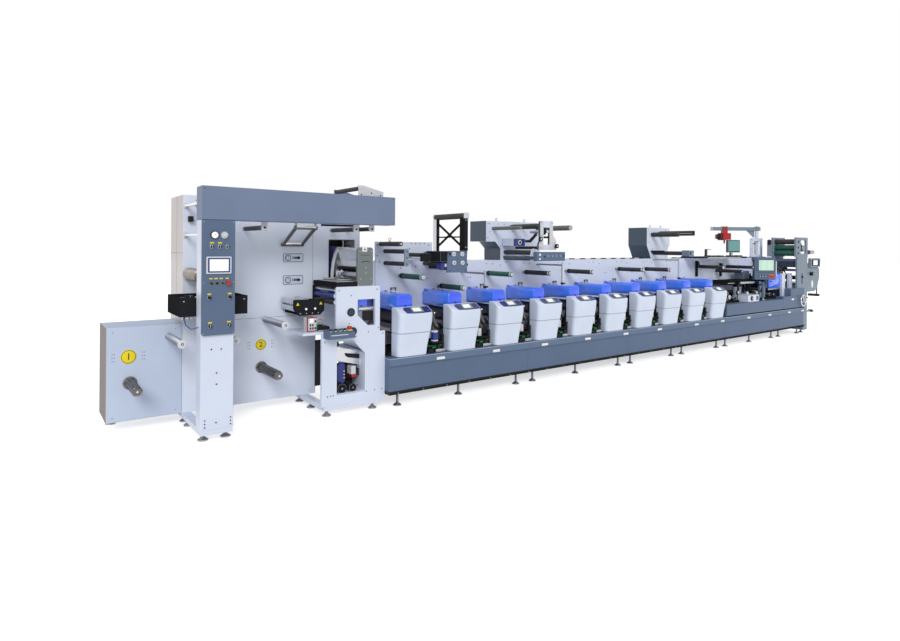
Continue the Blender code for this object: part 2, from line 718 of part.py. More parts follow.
def overhead_beam():
    """Slate beam on the column, tied back to the cabinet, with web rollers above and below and a turning frame."""
    face = FRONT_Y - FASCIA_T
    back = PANEL_Y - GAP
    beam = box(BEAM_LEFT, BEAM_LEFT + BEAM_W, face, COLUMN_D, BEAM_BOTTOM, BEAM_TOP, bevel=EASE)
    tie_z = BEAM_BOTTOM + TIE_UP
    shapes = []
    tie_left = BEAM_LEFT + BEAM_TIE_IN[0]
    tie_right = BEAM_RIGHT - BEAM_TIE_IN[1]
    for left in (tie_left, tie_right):
        shapes.append(box(left, left + TIE_W, COLUMN_D - SINK, back, tie_z, tie_z + TIE_W))
    hang = BRACKET_Y
    high = BEAM_RIGHT + BEAM_UPPER[0][0]
    edge = BEAM_RIGHT + BEAM_UPPER[1][0]
    grip = BEAM_ROLLER_R + EASE
    for x, z in BEAM_UPPER:
        shapes.append(rod("Y", (BEAM_RIGHT + x, BEAM_TOP + z), hang, back - BEAM_PLATE_T, BEAM_ROLLER_R,
                          sides=10))
    near = [
        (high - grip, BEAM_TOP - SINK), (edge + grip, BEAM_TOP - SINK), (edge + grip,
                BEAM_TOP + BEAM_UPPER[1][1] + grip),
        (high + grip, BEAM_TOP + BEAM_UPPER[0][1] + grip), (high - grip, BEAM_TOP + BEAM_UPPER[0][1] + grip),
    ]
    shapes.append(plate("XZ", near, hang - BEAM_PLATE_T, hang + SINK))
    tie_middle = tie_z + TIE_W / 2
    far = [(high - grip, tie_middle), (tie_right + TIE_W, tie_middle), *near[2:]]
    shapes.append(plate("XZ", far, back - BEAM_PLATE_T - SINK, back - SINK))
    for x, z in BEAM_LOWER:
        low = BEAM_BOTTOM + z
        left = BEAM_RIGHT + x
        shapes.append(rod("Y", (left, low), hang, back, BEAM_ROLLER_R, sides=10))
        shapes.append(box(left - grip, left + grip, hang - BEAM_PLATE_T, hang + SINK, low - grip,
                          BEAM_BOTTOM + SINK))
    shapes += turning_frame()
    keep("overhead_beam", fuse(beam, *shapes), "slate")


def turning_frame():
    """Polished frame under the beam: two bars along X joined by two that slope up from the panel to the beam."""
    rear_y, rear_z = TURN_REAR[0], BEAM_BOTTOM + TURN_REAR[1]
    near_y, near_z = TURN_NEAR[0], BEAM_BOTTOM + TURN_NEAR[1]
    left, right = BEAM_RIGHT + TURN_X[0], BEAM_RIGHT + TURN_X[1]
    shapes = []
    for y, z in ((rear_y, rear_z), (near_y, near_z)):
        shapes.append(rod("X", (y, z), left - TURN_BAR_R, right + TURN_BAR_R, TURN_BAR_R, sides=10))
    run = Vector((0.0, near_y - rear_y, near_z - rear_z))
    for x in (left, right):
        bar = rod("Z", (0.0, 0.0), 0.0, run.length, TURN_BAR_R * 0.8, sides=8)
        middle = Vector((x, (rear_y + near_y) / 2, (rear_z + near_z) / 2))
        bar.matrix_world = Matrix.Translation(middle) @ run.to_track_quat("Z", "Y").to_matrix().to_4x4()
        shapes.append(bar)
        shapes.append(rod("Z", (x, near_y), near_z, BEAM_BOTTOM + TIE_UP + SINK, TURN_BAR_R * 0.7, sides=8))
    shapes.append(box(left - TURN_BAR_R, right + TURN_BAR_R, near_y - TURN_BAR_R, near_y + TURN_BAR_R,
                      BEAM_BOTTOM + TIE_UP, BEAM_BOTTOM + TIE_UP + 2 * TURN_BAR_R))
    for x in (left, right):
        shapes.append(box(x - TURN_BAR_R, x + TURN_BAR_R, COLUMN_D - SINK, near_y, BEAM_BOTTOM + TIE_UP,
                          BEAM_BOTTOM + TIE_UP + 2 * TURN_BAR_R))
    return shapes


def winding_shaft(name, x, z, length):
    """Air shaft that grips a core: a barrel with lengthwise grooves, a root collar and an end boss."""
    per_groove = 4
    sides = WIND_GROOVES * per_groove
    points = []
    for i in range(sides):
        angle = 2 * math.pi * i / sides
        radius = WIND_R - (WIND_GROOVE_D if i % per_groove == 0 else 0.0)
        points.append((x + radius * math.cos(angle), z + radius * math.sin(angle)))
    root = PANEL_Y - GAP
    end_y = PANEL_Y - length
    barrel = plate("XZ", points, end_y, root - CAP_L)
    collar = rod("Y", (x, z), root - CAP_L - SINK, root, WIND_COLLAR_R, sides=16)
    boss = rod("Y", (x, z), end_y - CAP_L, end_y + SINK, WIND_BOSS_R, sides=12)
    keep(name, fuse(barrel, collar, boss), "steel", origin=(x, root, z))


def web_roller(name, place, radius, length, colour, cap_radius=None, sides=12):
    """Cantilevered roller: a root spigot, the barrel and a cap or shaft end."""
    root = PANEL_Y - GAP
    free_y = PANEL_Y - length
    barrel_end = root - JOURNAL_L
    spigot = rod("Y", place, barrel_end - SINK, root, radius * 0.55, sides=8)
    barrel = rod("Y", place, free_y + CAP_L, barrel_end, radius, sides=sides)
    cap = rod("Y", place, free_y, free_y + CAP_L + SINK, cap_radius or radius * 0.6, sides=sides)
    keep(name, fuse(barrel, spigot, cap), colour, origin=(place[0], root, place[1]))


def slitting_tray():
    """Black tray behind the column that carries the slitting knives on three cross shafts."""
    left, right = TRAY_LEFT, TRAY_LEFT + TRAY_W
    front = COLUMN_D + TRAY_WALL
    back = PANEL_Y - GAP
    high = TRAY_BOTTOM + TRAY_H
    wall = TRAY_WALL
    body = box(left, right, front, back, TRAY_BOTTOM, high)
    pocket = box(left + wall, right - wall, front + wall, back - wall, TRAY_BOTTOM + 2 * wall, high + SINK)
    cut(body, pocket)
    shapes = []
    for y in KNIFE_SHAFTS:
        shapes.append(rod("X", (y, high - KNIFE_R), left + wall - SINK, right - wall + SINK, KNIFE_SHAFT_R,
                          sides=8))
    for x in KNIVES:
        shapes.append(rod("X", (KNIFE_SHAFTS[1], high - KNIFE_R), left + x, left + x + KNIFE_T, KNIFE_R,
                          sides=12))
    keep("slitting_tray", fuse(body, *shapes), "black")


def nip_unit():
    """Black nip station right of winding shaft 2, with three steel rollers to the panel."""
    back = PANEL_Y - GAP
    near = NIP_PLATE_Y
    front_plate = plate("XZ", rounded(offset(NIP_OUTLINE, NIP_LEFT, NIP_Z)), near, near + NIP_PLATE_T)
    bridge = box(NIP_LEFT + 0.06, NIP_LEFT + 0.24, near + SINK, back, NIP_Z + SINK, NIP_Z + 0.045)
    rollers = []
    for x, z, radius in NIP_ROLLERS:
        place = (NIP_LEFT + x, NIP_Z + z)
        rollers.append(rod("Y", place, near + NIP_PLATE_T - SINK, back - NIP_PLATE_T, radius, sides=14))
        rollers.append(rod("Y", place, back - NIP_PLATE_T - SINK, back, radius * 0.5, sides=8))
    keep("nip_unit", fuse(front_plate, bridge, *rollers), "black")


def front_frame():
    """White plate that carries the die station, with its openings, side table, web drive and base rail."""
    top = FLOOR_GAP - GAP
    low = top - BASE_RAIL_H
    table_top = TABLE_Z + TABLE_T
    upper_left, upper_right = FRAME_LEFT + FRAME_UPPER[0], FRAME_LEFT + FRAME_UPPER[1]
    outline = rounded([
        (FRAME_LEFT, top - SINK, 0), (FRAME_RIGHT, top - SINK, 0), (FRAME_RIGHT, FRAME_STEP_Z, 0),
        (upper_right, FRAME_STEP_Z, 0), (upper_right, FRAME_TOP, EASE), (upper_left, FRAME_TOP, EASE),
        (upper_left, table_top, 0), (FRAME_LEFT, table_top, 0),
    ])
    back = FRAME_Y + FRAME_T
    holes = (offset(FRAME_OPENING, FRAME_LEFT, 0.0), offset(FRAME_WINDOW, FRAME_LEFT, 0.0))
    sheet = plate("XZ", outline, FRAME_Y, back, holes=holes)
    table = box(FRAME_LEFT - TABLE_OUT, upper_left + FRAME_T, FRAME_Y + EASE, TABLE_BACK_Y, TABLE_Z,
                table_top, bevel=EASE)
    rail_left = FRAME_LEFT + FRAME_T
    rail = box(rail_left, rail_left + BASE_RAIL_W, FRAME_Y + EASE, REAR_Y - PITCH / 2, low, top)
    sill = box(rail_left, FRAME_RIGHT - FRAME_T, FRAME_Y + EASE, FRAME_Y + BASE_RAIL_W, low, top)
    shapes = [table, rail, sill]
    for x, z in FRAME_BOSSES:
        shapes.append(rod("Y", (FRAME_LEFT + x, z), FRAME_Y - EASE, FRAME_Y + SINK, BOSS_R, sides=16))
    shapes += web_drive(back) + frame_rollers(back)
    middle = rail_left + BASE_RAIL_W / 2
    front = FRAME_Y + BASE_RAIL_W / 2
    places = [(middle, front), (FRAME_RIGHT - 1.5 * FOOT_INSET, front), (middle, TABLE_BACK_Y),
              (middle, REAR_Y - PITCH / 2 - EASE * 10)]
    keep("front_frame", fuse(sheet, *shapes, *feet(places, low)), "white")


def web_drive(back):
    """Sloping drive box and two motors behind the frame's lower opening, on a shelf from the frame."""
    near, far = DRIVE_BOX_Y
    body = plate("XZ", offset(DRIVE_BOX, FRAME_LEFT, 0.0), near, far)
    low = FRAME_OPENING[0][1]
    inner = FRAME_LEFT + FRAME_OPENING[0][0] + EASE
    outer = FRAME_LEFT + FRAME_OPENING[1][0] + FRAME_T
    shelf = box(inner, outer, back - SINK, far, low - EASE * 4, low + EASE)
    stay = box(outer - FRAME_T, outer, back - SINK, far, low, FRAME_OPENING[2][1])
    motors = []
    for x, radius in DRIVE_MOTORS:
        motors.append(rod("Y", (FRAME_LEFT + x, low + radius), back + EASE * 3, far, radius, sides=12))
    return [body, shelf, stay, *motors]


def frame_rollers(back):
    """Three web rollers from the frame back to a plate near the panel."""
    far = PANEL_Y - JOURNAL_L
    left, right, low, high = FRAME_ROLLER_PLATE
    shapes = [box(FRAME_LEFT + left, FRAME_LEFT + right, far - CAP_L, far, low, high)]
    shapes += y_rods(FRAME_ROLLERS, FRAME_LEFT, 0.0, back - SINK, far)
    return shapes


def die_head():
    """Die station on the front frame: two side plates with a stack of polished rollers between them."""
    low = FRAME_TOP + GAP
    left = FRAME_LEFT + DIE_LEFT
    right = left + DIE_W
    top = low + DIE_H
    outline = rounded([(left, low, 0), (right, low, 0), (right, top, DIE_CORNER_R),
                       (left, top, DIE_CORNER_R)])
    front_plate = plate("XZ", outline, FRAME_Y, FRAME_Y + DIE_PLATE_T)
    rear_plate = plate("XZ", outline, DIE_REAR_Y, DIE_REAR_Y + FRAME_T)
    base = box(FRAME_LEFT + DIE_BASE_LEFT, right - EASE, FRAME_Y + EASE, PANEL_Y - GAP, low, low + DIE_BASE_H)
    middle = (left + right) / 2
    shapes = [rear_plate, base]
    for z, radius in DIE_ROLLERS:
        shapes.append(rod("Y", (middle, low + z), FRAME_Y + SINK, DIE_REAR_Y + SINK, radius, sides=20))
    keep("die_head", fuse(front_plate, *shapes), "steel")


def operator_console():
    """Slate push-button box on the front frame, its top face sloped to the operator."""
    back = FRAME_Y - GAP
    front = back - CONSOLE_D
    low, high = CONSOLE_BOTTOM, CONSOLE_BOTTOM + CONSOLE_H
    flat = back - FRAME_T
    outline = [(front, low), (back, low), (back, high), (flat, high), (front, high - CONSOLE_SLOPE)]
    body = plate("YZ", outline, CONSOLE_LEFT, CONSOLE_LEFT + CONSOLE_W)
    middle = (front + flat) / 2
    face = high - CONSOLE_SLOPE / 2
    first = CONSOLE_LEFT + (CONSOLE_W - (CONSOLE_BUTTONS - 1) * CONSOLE_PITCH) / 2
    shapes = []
    for index in range(CONSOLE_BUTTONS):
        radius = CONSOLE_STOP_R if index == CONSOLE_BUTTONS - 1 else CONSOLE_BUTTON_R
        place = (first + CONSOLE_PITCH * index, middle)
        shapes.append(rod("Z", place, face - CONSOLE_SLOPE / 2, face + CONSOLE_SLOPE / 2 + EASE, radius,
                          sides=12))
    keep("operator_console", fuse(body, *shapes), "slate")


def bed():
    """Long slate base with a stepped front, standing on pairs of levelling feet at its joints."""
    front = [(FRONT_Y + y, BED_TOP - z) for y, z in BED_PROFILE]
    outline = [(FRONT_Y, BED_TOP), *front, (FRONT_Y + BED_PROFILE[-1][0], BED_BOTTOM), (REAR_Y, BED_BOTTOM),
               (REAR_Y, BED_TOP)]
    body = plate("YZ", outline, BED_LEFT, BED_RIGHT)
    columns = [BED_LEFT + FOOT_SPREAD, BED_RIGHT - FOOT_SPREAD]
    columns += [BED_LEFT + x for x in BED_MIDDLE_FEET]
    for joint in BED_JOINTS:
        columns += [BED_LEFT + joint - FOOT_SPREAD, BED_LEFT + joint + FOOT_SPREAD]
    places = [(x, y) for x in columns for y in (FRONT_Y + FOOT_INSET, REAR_Y - FOOT_INSET)]
    keep("bed", fuse(body, *feet(places, BED_BOTTOM)), "slate")


def main_panel():
    """Panel behind the web with its raised left bay, fixed web bars, guide rods, rear cabinet and jib post."""
    low = ON_BED
    high_right = PANEL_LEFT + PANEL_HIGH_W
    outline = [
        (PANEL_LEFT, low), (PANEL_RIGHT, low), (PANEL_RIGHT, PANEL_TOP), (high_right, PANEL_TOP),
        (high_right, PANEL_HIGH_TOP), (PANEL_LEFT, PANEL_HIGH_TOP),
    ]
    sheet = plate("XZ", outline, PANEL_Y, PANEL_Y + PANEL_T)
    inset = CABINET_INSET
    cabinet = box(BED_LEFT + inset, BED_RIGHT - inset, PANEL_Y + PANEL_T - SINK, REAR_Y, low, PANEL_TOP)
    post = rod("Z", (JIB_X, JIB_Y), PANEL_TOP - SINK, JIB_ARM_Z - GAP, JIB_POST_R, sides=16)
    shapes = [cabinet, post]
    for x, z, radius, length in PANEL_BARS:
        shapes.append(rod("Y", (PANEL_LEFT + x, z), PANEL_Y - length, PANEL_Y + SINK, radius, sides=10))
    loop_x, _, radius, length = PANEL_BARS[1]
    loop_y = PANEL_Y - length
    left = PANEL_LEFT + loop_x - radius
    shapes.append(box(left, left + LOOP_PLATE_W, loop_y - LOOP_PLATE_T, loop_y + SINK, *LOOP_PLATE_Z))
    for x, top in PANEL_RODS:
        place = PANEL_LEFT + x
        shapes.append(rod("Z", (place, PANEL_ROD_Y), top - 2 * PANEL_ROD_ARM, top, PANEL_ROD_R, sides=8))
        shapes.append(box(place - PANEL_ROD_R, place + PANEL_ROD_R, PANEL_ROD_Y, PANEL_Y + SINK,
                          top - PANEL_ROD_ARM - PANEL_ROD_R, top - PANEL_ROD_ARM + PANEL_ROD_R))
        shapes.append(rod("Z", (place, PANEL_ROD_Y), ROD_LOW_Z, top - 2 * PANEL_ROD_ARM + SINK, PANEL_ROD_R,
                          sides=8))
    keep("main_panel", fuse(sheet, *shapes, *shelf(), *jib_stand()), "white")


def shelf():
    """Shelf over the last rollers, with the stop at its left end and the monitor on its post."""
    left, right = BED_RIGHT - SHELF[0], BED_RIGHT - SHELF[1]
    top = PANEL_TOP + SHELF_T
    board = box(left, right, SHELF_FRONT_Y, PANEL_Y + SHELF_BACK, PANEL_TOP - SINK, top)
    inset, width, reach, arm = SHELF_STOP
    stop = BED_RIGHT - inset
    stop_top = top + SHELF_STOP_H
    back = SHELF_FRONT_Y + PANEL_ROD_ARM
    block = box(stop, stop + width, SHELF_FRONT_Y + SINK, back, top - SINK, stop_top)
    finger = box(stop + width - SINK, stop + reach, SHELF_FRONT_Y + 2 * SINK, back - SINK, stop_top - arm,
                 stop_top)
    x0, x1, z0, z1 = MONITOR
    near, far = MONITOR_Y
    case = box(BED_RIGHT - x0, BED_RIGHT - x1, near, far, z0, z1)
    middle = BED_RIGHT - (x0 + x1) / 2
    half = MONITOR_POST / 2
    post = box(middle - half, middle + half, far - SINK, far + half, top - SINK, (z0 + z1) / 2)
    return [board, block, finger, case, post]


def jib_stand():
    """Open white stand in front of the jib's post, with the lifting cylinder beside the post."""
    x0, x1, top = JIB_STAND
    left, right = BED_RIGHT - x0, BED_RIGHT - x1
    sill = JIB_STAND_SILL
    low = PANEL_TOP - SINK
    outline = rounded([(left, low, 0), (right, low, 0), (right, top, 0.030), (left, top, 0.030)])
    window = [(left + sill, PANEL_TOP + sill), (right - sill, PANEL_TOP + sill), (right - sill, top - sill),
              (left + sill, top - sill)]
    front = PANEL_Y + 2 * SINK
    stand = plate("XZ", outline, front, front + JIB_STAND_T, holes=(window,))
    inset, radius, lift_top = JIB_LIFT
    return [stand, rod("Z", (BED_RIGHT - inset, JIB_Y), low, lift_top, radius, sides=12)]


def print_decks():
    """Working parts of the ten print units on their common rail: bearing plates and cylinders."""
    back = PANEL_Y - GAP
    rail = box(UNIT_LEFT - FRAME_T, UNITS_RIGHT - CABINET_INSET, DECK_FRONT_Y, back, ON_BED,
               ON_BED + DECK_RAIL_H)
    shapes = []
    for index in range(UNITS):
        left = UNIT_LEFT + PITCH * index
        shapes.append(plate("XZ", offset(DECK_OUTLINE, left, BED_TOP), DECK_FRONT_Y,
                            DECK_FRONT_Y + DECK_PLATE_T))
        shapes += y_rods(DECK_ROLLERS, left, BED_TOP, DECK_FRONT_Y + SINK, back, sides=9)
    keep("print_decks", fuse(rail, *shapes), "black")


def cover_ring(level, front, right, inset=0.0, top=None):
    """One level of a print unit's housing, seen from above: chamfered front corners and a straight back."""
    corner = COVER_CORNER
    slope = COVER_SLOPE_Y
    rear_z = level if top is None else top
    left = inset
    edge = right - inset
    near = front + inset
    return [
        (left, COVER_D, rear_z), (edge, COVER_D, rear_z), (edge, slope, rear_z),
        (edge, near + corner, level), (edge - corner / 3, near + corner / 3, level), (edge - corner, near,
                level),
        (left + corner, near, level), (left + corner / 3, near + corner / 3, level), (left, near + corner,
                level),
        (left, slope, rear_z),
    ]


def cover_mesh():
    """Moulded housing in front of a print unit: a loft through levels, with a parting line and a sloped top."""
    levels = list(COVER_LEVELS)
    rings = [cover_ring(GAP, *levels[0][1:])]
    seam = COVER_SEAM
    for z, inset in ((seam - COVER_SEAM_D, 0.0), (seam - COVER_SEAM_D / 2, COVER_SEAM_D),
                     (seam + COVER_SEAM_D / 2, COVER_SEAM_D), (seam + COVER_SEAM_D, 0.0)):
        rings.append(cover_ring(z, levels[1][1], levels[1][2], inset))
    for level in levels[2:]:
        rings.append(cover_ring(*level))
    front, right = levels[-1][1:]
    shoulder = COVER_SHOULDER - COVER_TOP_R
    rings.append(cover_ring(shoulder, front, right, 0.0, COVER_TOP - COVER_TOP_R))
    rings.append(cover_ring(shoulder + COVER_TOP_R * 0.7, front, right, COVER_TOP_R * 0.3,
                            COVER_TOP - COVER_TOP_R * 0.3))
    rings.append(cover_ring(COVER_SHOULDER, front, right, COVER_TOP_R, COVER_TOP))
    bm = bmesh.new()
    loops = [[bm.verts.new((x, y, BED_TOP + z)) for x, y, z in ring] for ring in rings]
    count = len(loops[0])
    for low, high in zip(loops, loops[1:]):
        for i in range(count):
            bm.faces.new((low[i], low[(i + 1) % count], high[(i + 1) % count], high[i]))
    bm.faces.new(reversed(loops[0]))
    top = loops[-1]
    bm.faces.new((top[0], top[1], top[2], top[9]))
    bm.faces.new(top[2:])
    bmesh.ops.recalc_face_normals(bm, faces=bm.faces)
    mesh = bpy.data.meshes.new("cover")
    bm.to_mesh(mesh)
    bm.free()
    return mesh


def unit_covers():
    """Ten white housings, one in front of each print unit."""
    first = cover_mesh()
    for index in range(UNITS):
        body = piece(first.copy(), (UNIT_LEFT + PITCH * index, 0.0, 0.0))
        keep(f"unit_cover_{index + 1:02d}", body, "white")


def guard_shell(left, right, low, top, front, back, corner):
    """A guard with an arched top and a closed front, open below and behind."""
    outer = rounded([(left, low, 0), (right, low, 0), (right, top, corner), (left, top, corner)])
    wall = HOOD_WALL
    inner_r = corner - wall
    inner = rounded([
        (left + wall, low - wall, 0), (right - wall, low - wall, 0),
        (right - wall, top - wall, inner_r), (left + wall, top - wall, inner_r),
    ])
    shell = plate("XZ", outer, front, back)
    hollow = plate("XZ", inner, front + wall, back + wall)
    return cut(shell, hollow)


def unit_hoods():
    """Ten blue guards over the cylinders of the print units."""
    shell = guard_shell(0.0, HOOD_W, HOOD_Z, HOOD_Z + HOOD_H, HOOD_FRONT_Y, PANEL_Y - GAP, HOOD_CORNER_R)
    for index in range(UNITS):
        place = shell.location + Vector((UNIT_LEFT + PITCH * index + HOOD_OFFSET, 0.0, 0.0))
        keep(f"unit_hood_{index + 1:02d}", piece(shell.data.copy(), place), "blue")
    bpy.data.objects.remove(shell)


def panel_rollers():
    """Guide rollers that stand out of the main panel above the print units."""
    for name, (x, z) in PANEL_ROLLERS.items():
        web_roller(name, (PANEL_LEFT + x, z), ROLLER_R, WEB_FACE, name.split("_")[0])


def web_guide_unit():
    """Black web guide on the panel, with a slate front plate and four round knobs."""
    back = PANEL_Y - GAP
    left, right = GUIDE_LEFT, GUIDE_LEFT + GUIDE_W
    low, high = GUIDE_BOTTOM, GUIDE_TOP
    chamfer = FRAME_T
    outline = [(left, low), (right, low), (right, high), (left + chamfer, high), (left, high - chamfer)]
    face = plate("XZ", outline, BRACKET_Y, BRACKET_Y + GUIDE_T)
    middle = (BRACKET_Y + PANEL_Y) / 2
    body = box(left - GUIDE_W / 3, right - 2 * CABINET_INSET, BRACKET_Y + SINK, middle, high - GUIDE_H / 2,
               high - EASE)
    arm = box(left + CABINET_INSET, left + 2 * CABINET_INSET, middle - SINK, back, high - GUIDE_H / 3,
              high - EASE * 4)
    shapes = [body, arm]
    for x, z in GUIDE_KNOBS:
        shapes.append(rod("Y", (left + x, low + z), BRACKET_Y - CAP_L, BRACKET_Y + SINK, GUIDE_KNOB_R,
                          sides=12))
    shapes += y_rods(GUIDE_ROLLERS, left, low, BRACKET_Y + SINK, back)
    keep("web_guide_unit", fuse(face, *shapes), "slate")


def lattice_carrier():
    """Braced frame that lifts a roller over the web: two posts, crossed bars, a tie and the roller."""
    rear_y, near_y = LATTICE_REAR_Y, LATTICE_NEAR_Y
    left = LATTICE_LEFT
    right = left + LATTICE_W
    middle = (left + right) / 2
    half = LATTICE_POST / 2
    near_half = LATTICE_NEAR_POST / 2
    rear = box(left, right, rear_y - half, rear_y + half, PANEL_TOP + GAP, LATTICE_TOP)
    near = box(left, right - 2 * EASE, near_y - near_half, near_y + near_half, GUIDE_TOP + GAP, LATTICE_TOP)
    low, high = GUIDE_TOP + FRAME_T, LATTICE_TOP - FRAME_T
    brace = LATTICE_BRACE
    shapes = [near]
    for start, end, side in ((low, high, -brace / 2), (high, low, brace / 3)):
        outline = [(near_y, start - brace), (rear_y, end - brace), (rear_y, end + brace),
                   (near_y, start + brace)]
        shapes.append(plate("YZ", outline, middle + side - brace * 0.66, middle + side + brace * 0.66))
    roller_r = LATTICE_ROLLER_R
    shapes.append(rod("Y", (middle - SINK, LATTICE_TIE_Z), near_y, rear_y, brace * 0.66, sides=8))
    top = LATTICE_TOP + roller_r * 0.6
    shapes.append(rod("Y", (middle, top), near_y - near_half, rear_y + half, roller_r, sides=14))
    keep("lattice_carrier", fuse(rear, *shapes), "black")


def overhead_unit_1():
    """Turn unit on the panel's top edge: cranked housing, outboard bracket, rollers, motor and switch strip."""
    low = PANEL_TOP + GAP
    left = OVER_1_LEFT
    right = left + OVER_1_W
    steps = offset(OVER_1_STEPS, left, 0.0)
    outline = [(left, OVER_TOP), *steps, (steps[-1][0], low), (right, low), (right, OVER_TOP)]
    housing = plate("XZ", outline, PANEL_Y, PANEL_Y + OVER_D)
    near = BRACKET_Y
    bracket = plate("XZ", rounded(offset(OVER_1_PLATE, left, 0.0)), near, near + OVER_PLATE_T,
                    holes=(offset(OVER_1_CUT, left, 0.0),))
    back = PANEL_Y + SINK
    shapes = [bracket]
    for x, z, radius, length in OVER_1_ROLLERS:
        shapes.append(rod("Y", (left + x, z), PANEL_Y - length, back, radius, sides=12))
    x0, x1, z0, z1 = OVER_1_SWITCHES
    strip_back = FRONT_Y + SWITCH_BOX_D
    shapes.append(box(left + x0, left + x1, FRONT_Y, strip_back, z0, z1))
    for x in OVER_1_ARMS:
        shapes.append(box(left + x, left + x + LOOP_PLATE_W, strip_back - SINK, back, z0 + EASE * 4,
                          (z0 + z1) / 2))
    x0, x1, z0, z1 = OVER_1_MOTOR
    shapes.append(box(left + x0, left + x1, (near + back) / 2, back, z0, z1))
    keep("overhead_unit_1", fuse(housing, *shapes), "white")


def overhead_unit_2():
    """Second turn unit further right, with a sloped left end and cantilevered rollers."""
    left = OVER_2_LEFT
    outline = [(left, OVER_TOP), *offset(OVER_2_STEPS, left, 0.0), (left + OVER_2_W, OVER_TOP)]
    housing = plate("XZ", outline, PANEL_Y, PANEL_Y + OVER_D + OVER_PLATE_T)
    back = PANEL_Y + SINK
    shapes = []
    for x, z, radius, length in OVER_2_ROLLERS:
        shapes.append(rod("Y", (left + x, z), PANEL_Y - length, back, radius, sides=12))
    loop_x, high_z, radius, length = OVER_2_ROLLERS[1]
    low_z = OVER_2_ROLLERS[2][1]
    end = PANEL_Y - length
    shapes.append(box(left + loop_x - radius, left + loop_x + radius, end - LOOP_PLATE_T, end + SINK,
                      low_z - radius, high_z + radius))
    x0, x1, z0, z1 = OVER_2_END
    shapes.append(box(left + x0, left + x1, FRONT_Y + EASE, BRACKET_Y + OVER_PLATE_T, z0, z1))
    keep("overhead_unit_2", fuse(housing, *shapes), "white")


def end_plinth():
    """Raised slate plinth at the right end with the handwheel's block and the terminal's post."""
    block_left = BED_RIGHT - PLINTH_BLOCK_L
    outline = [
        (PLINTH_LEFT, ON_BED), (BED_RIGHT, ON_BED), (BED_RIGHT, BLOCK_TOP), (block_left, BLOCK_TOP),
        (block_left, PLINTH_TOP), (PLINTH_LEFT, PLINTH_TOP),
    ]
    slab_back = DECK_FRONT_Y - EASE
    body = plate("XZ", outline, PLINTH_FRONT_Y, slab_back)
    rear_left = UNITS_RIGHT - CABINET_INSET + FRAME_T
    rear = box(rear_left, BED_RIGHT, slab_back - SINK, PLINTH_BACK_Y, ON_BED, PLINTH_TOP)
    post = rod("Z", (HMI_X, HMI_Y), PLINTH_TOP - SINK, HMI_Z - GAP, HMI_POST_R, sides=12)
    flange = rod("Z", (HMI_X, HMI_Y), PLINTH_TOP - SINK, PLINTH_TOP + CAP_L, 2 * HMI_POST_R, sides=16)
    riser = box(BED_RIGHT - RISER_L, BED_RIGHT, RISER_Y, PLINTH_BACK_Y, PLINTH_TOP - SINK, RISER_TOP,
                bevel=EASE)
    shapes = [rear, post, flange, riser]
    for inset in PILLARS:
        left = BED_RIGHT - inset
        low = PLINTH_TOP - SINK
        shapes.append(box(left, left + PILLAR_W, PILLAR_Y, PILLAR_Y + PILLAR_T, low, PILLAR_TOP))
    keep("end_plinth", fuse(body, *shapes), "slate")


def converting_modules():
    """Inspection and turning modules on the plinth: base, uprights, bridge, slotted plates and rollers."""
    low = ON_PLINTH
    left = MODULES_LEFT
    back = PANEL_Y - GAP
    base = box(left, left + MODULES_W, MODULES_Y, back, low, low + MODULES_BASE_H)
    shapes = []
    top = low + MODULE_POST_H
    for x in MODULE_POSTS:
        for y in MODULE_PLATES_Y:
            post = box(left + x, left + x + MODULE_POST_W, y, y + FRAME_T, low, top)
            inset = MODULE_POST_W / 3
            slot = box(left + x + inset, left + x + 2 * inset, y - SINK, y + FRAME_T + SINK,
                       low + MODULE_POST_H * 0.72, top - MODULE_POST_H * 0.06)
            shapes.append(cut(post, slot))
    x0, x1, height = MODULE_BOX
    shapes.append(box(left + x0, left + x1, FRAME_T, (MODULES_Y + back) / 2, low, low + height))
    x0, x1, z0, z1 = MODULE_BRIDGE
    shapes.append(box(left + x0, left + x1, MODULE_PLATES_Y[0] + BRACKET_Y,
                      MODULE_PLATES_Y[1] + MODULES_BASE_H, low + z0, low + z1))
    shapes += y_rods(MODULE_ROLLERS, left, low, MODULES_Y + EASE, back)
    stand_y = MODULE_PLATES_Y[0] + BRACKET_Y
    for x, height in MODULE_STANDS:
        shapes.append(box(left + x - FRAME_T, left + x + FRAME_T, stand_y, stand_y + 2 * FRAME_T, low,
                          low + height))
    table_top = low + GUARD_TABLE_UP
    guard_right = GUARD_LEFT + GUARD_W
    shapes.append(box(GUARD_LEFT, guard_right, MODULES_Y, back, table_top - GUARD_TABLE_T, table_top))
    shapes.append(box(GUARD_LEFT + GUARD_BLOCK_IN, guard_right - GUARD_BLOCK_IN, MODULES_Y + BRACKET_Y,
                      back - FRAME_T,
                      low + MODULES_BASE_H - SINK, table_top - GUARD_TABLE_T + SINK))
    keep("converting_modules", fuse(base, *shapes), "black")


def end_guard():
    """Larger blue guard over the last module."""
    low = ON_PLINTH + GUARD_TABLE_UP + GAP
    shell = guard_shell(GUARD_LEFT, GUARD_LEFT + GUARD_W, low, low + GUARD_H, DECK_FRONT_Y, PANEL_Y - GAP,
                        4 * HOOD_WALL)
    keep("end_guard", shell, "blue")


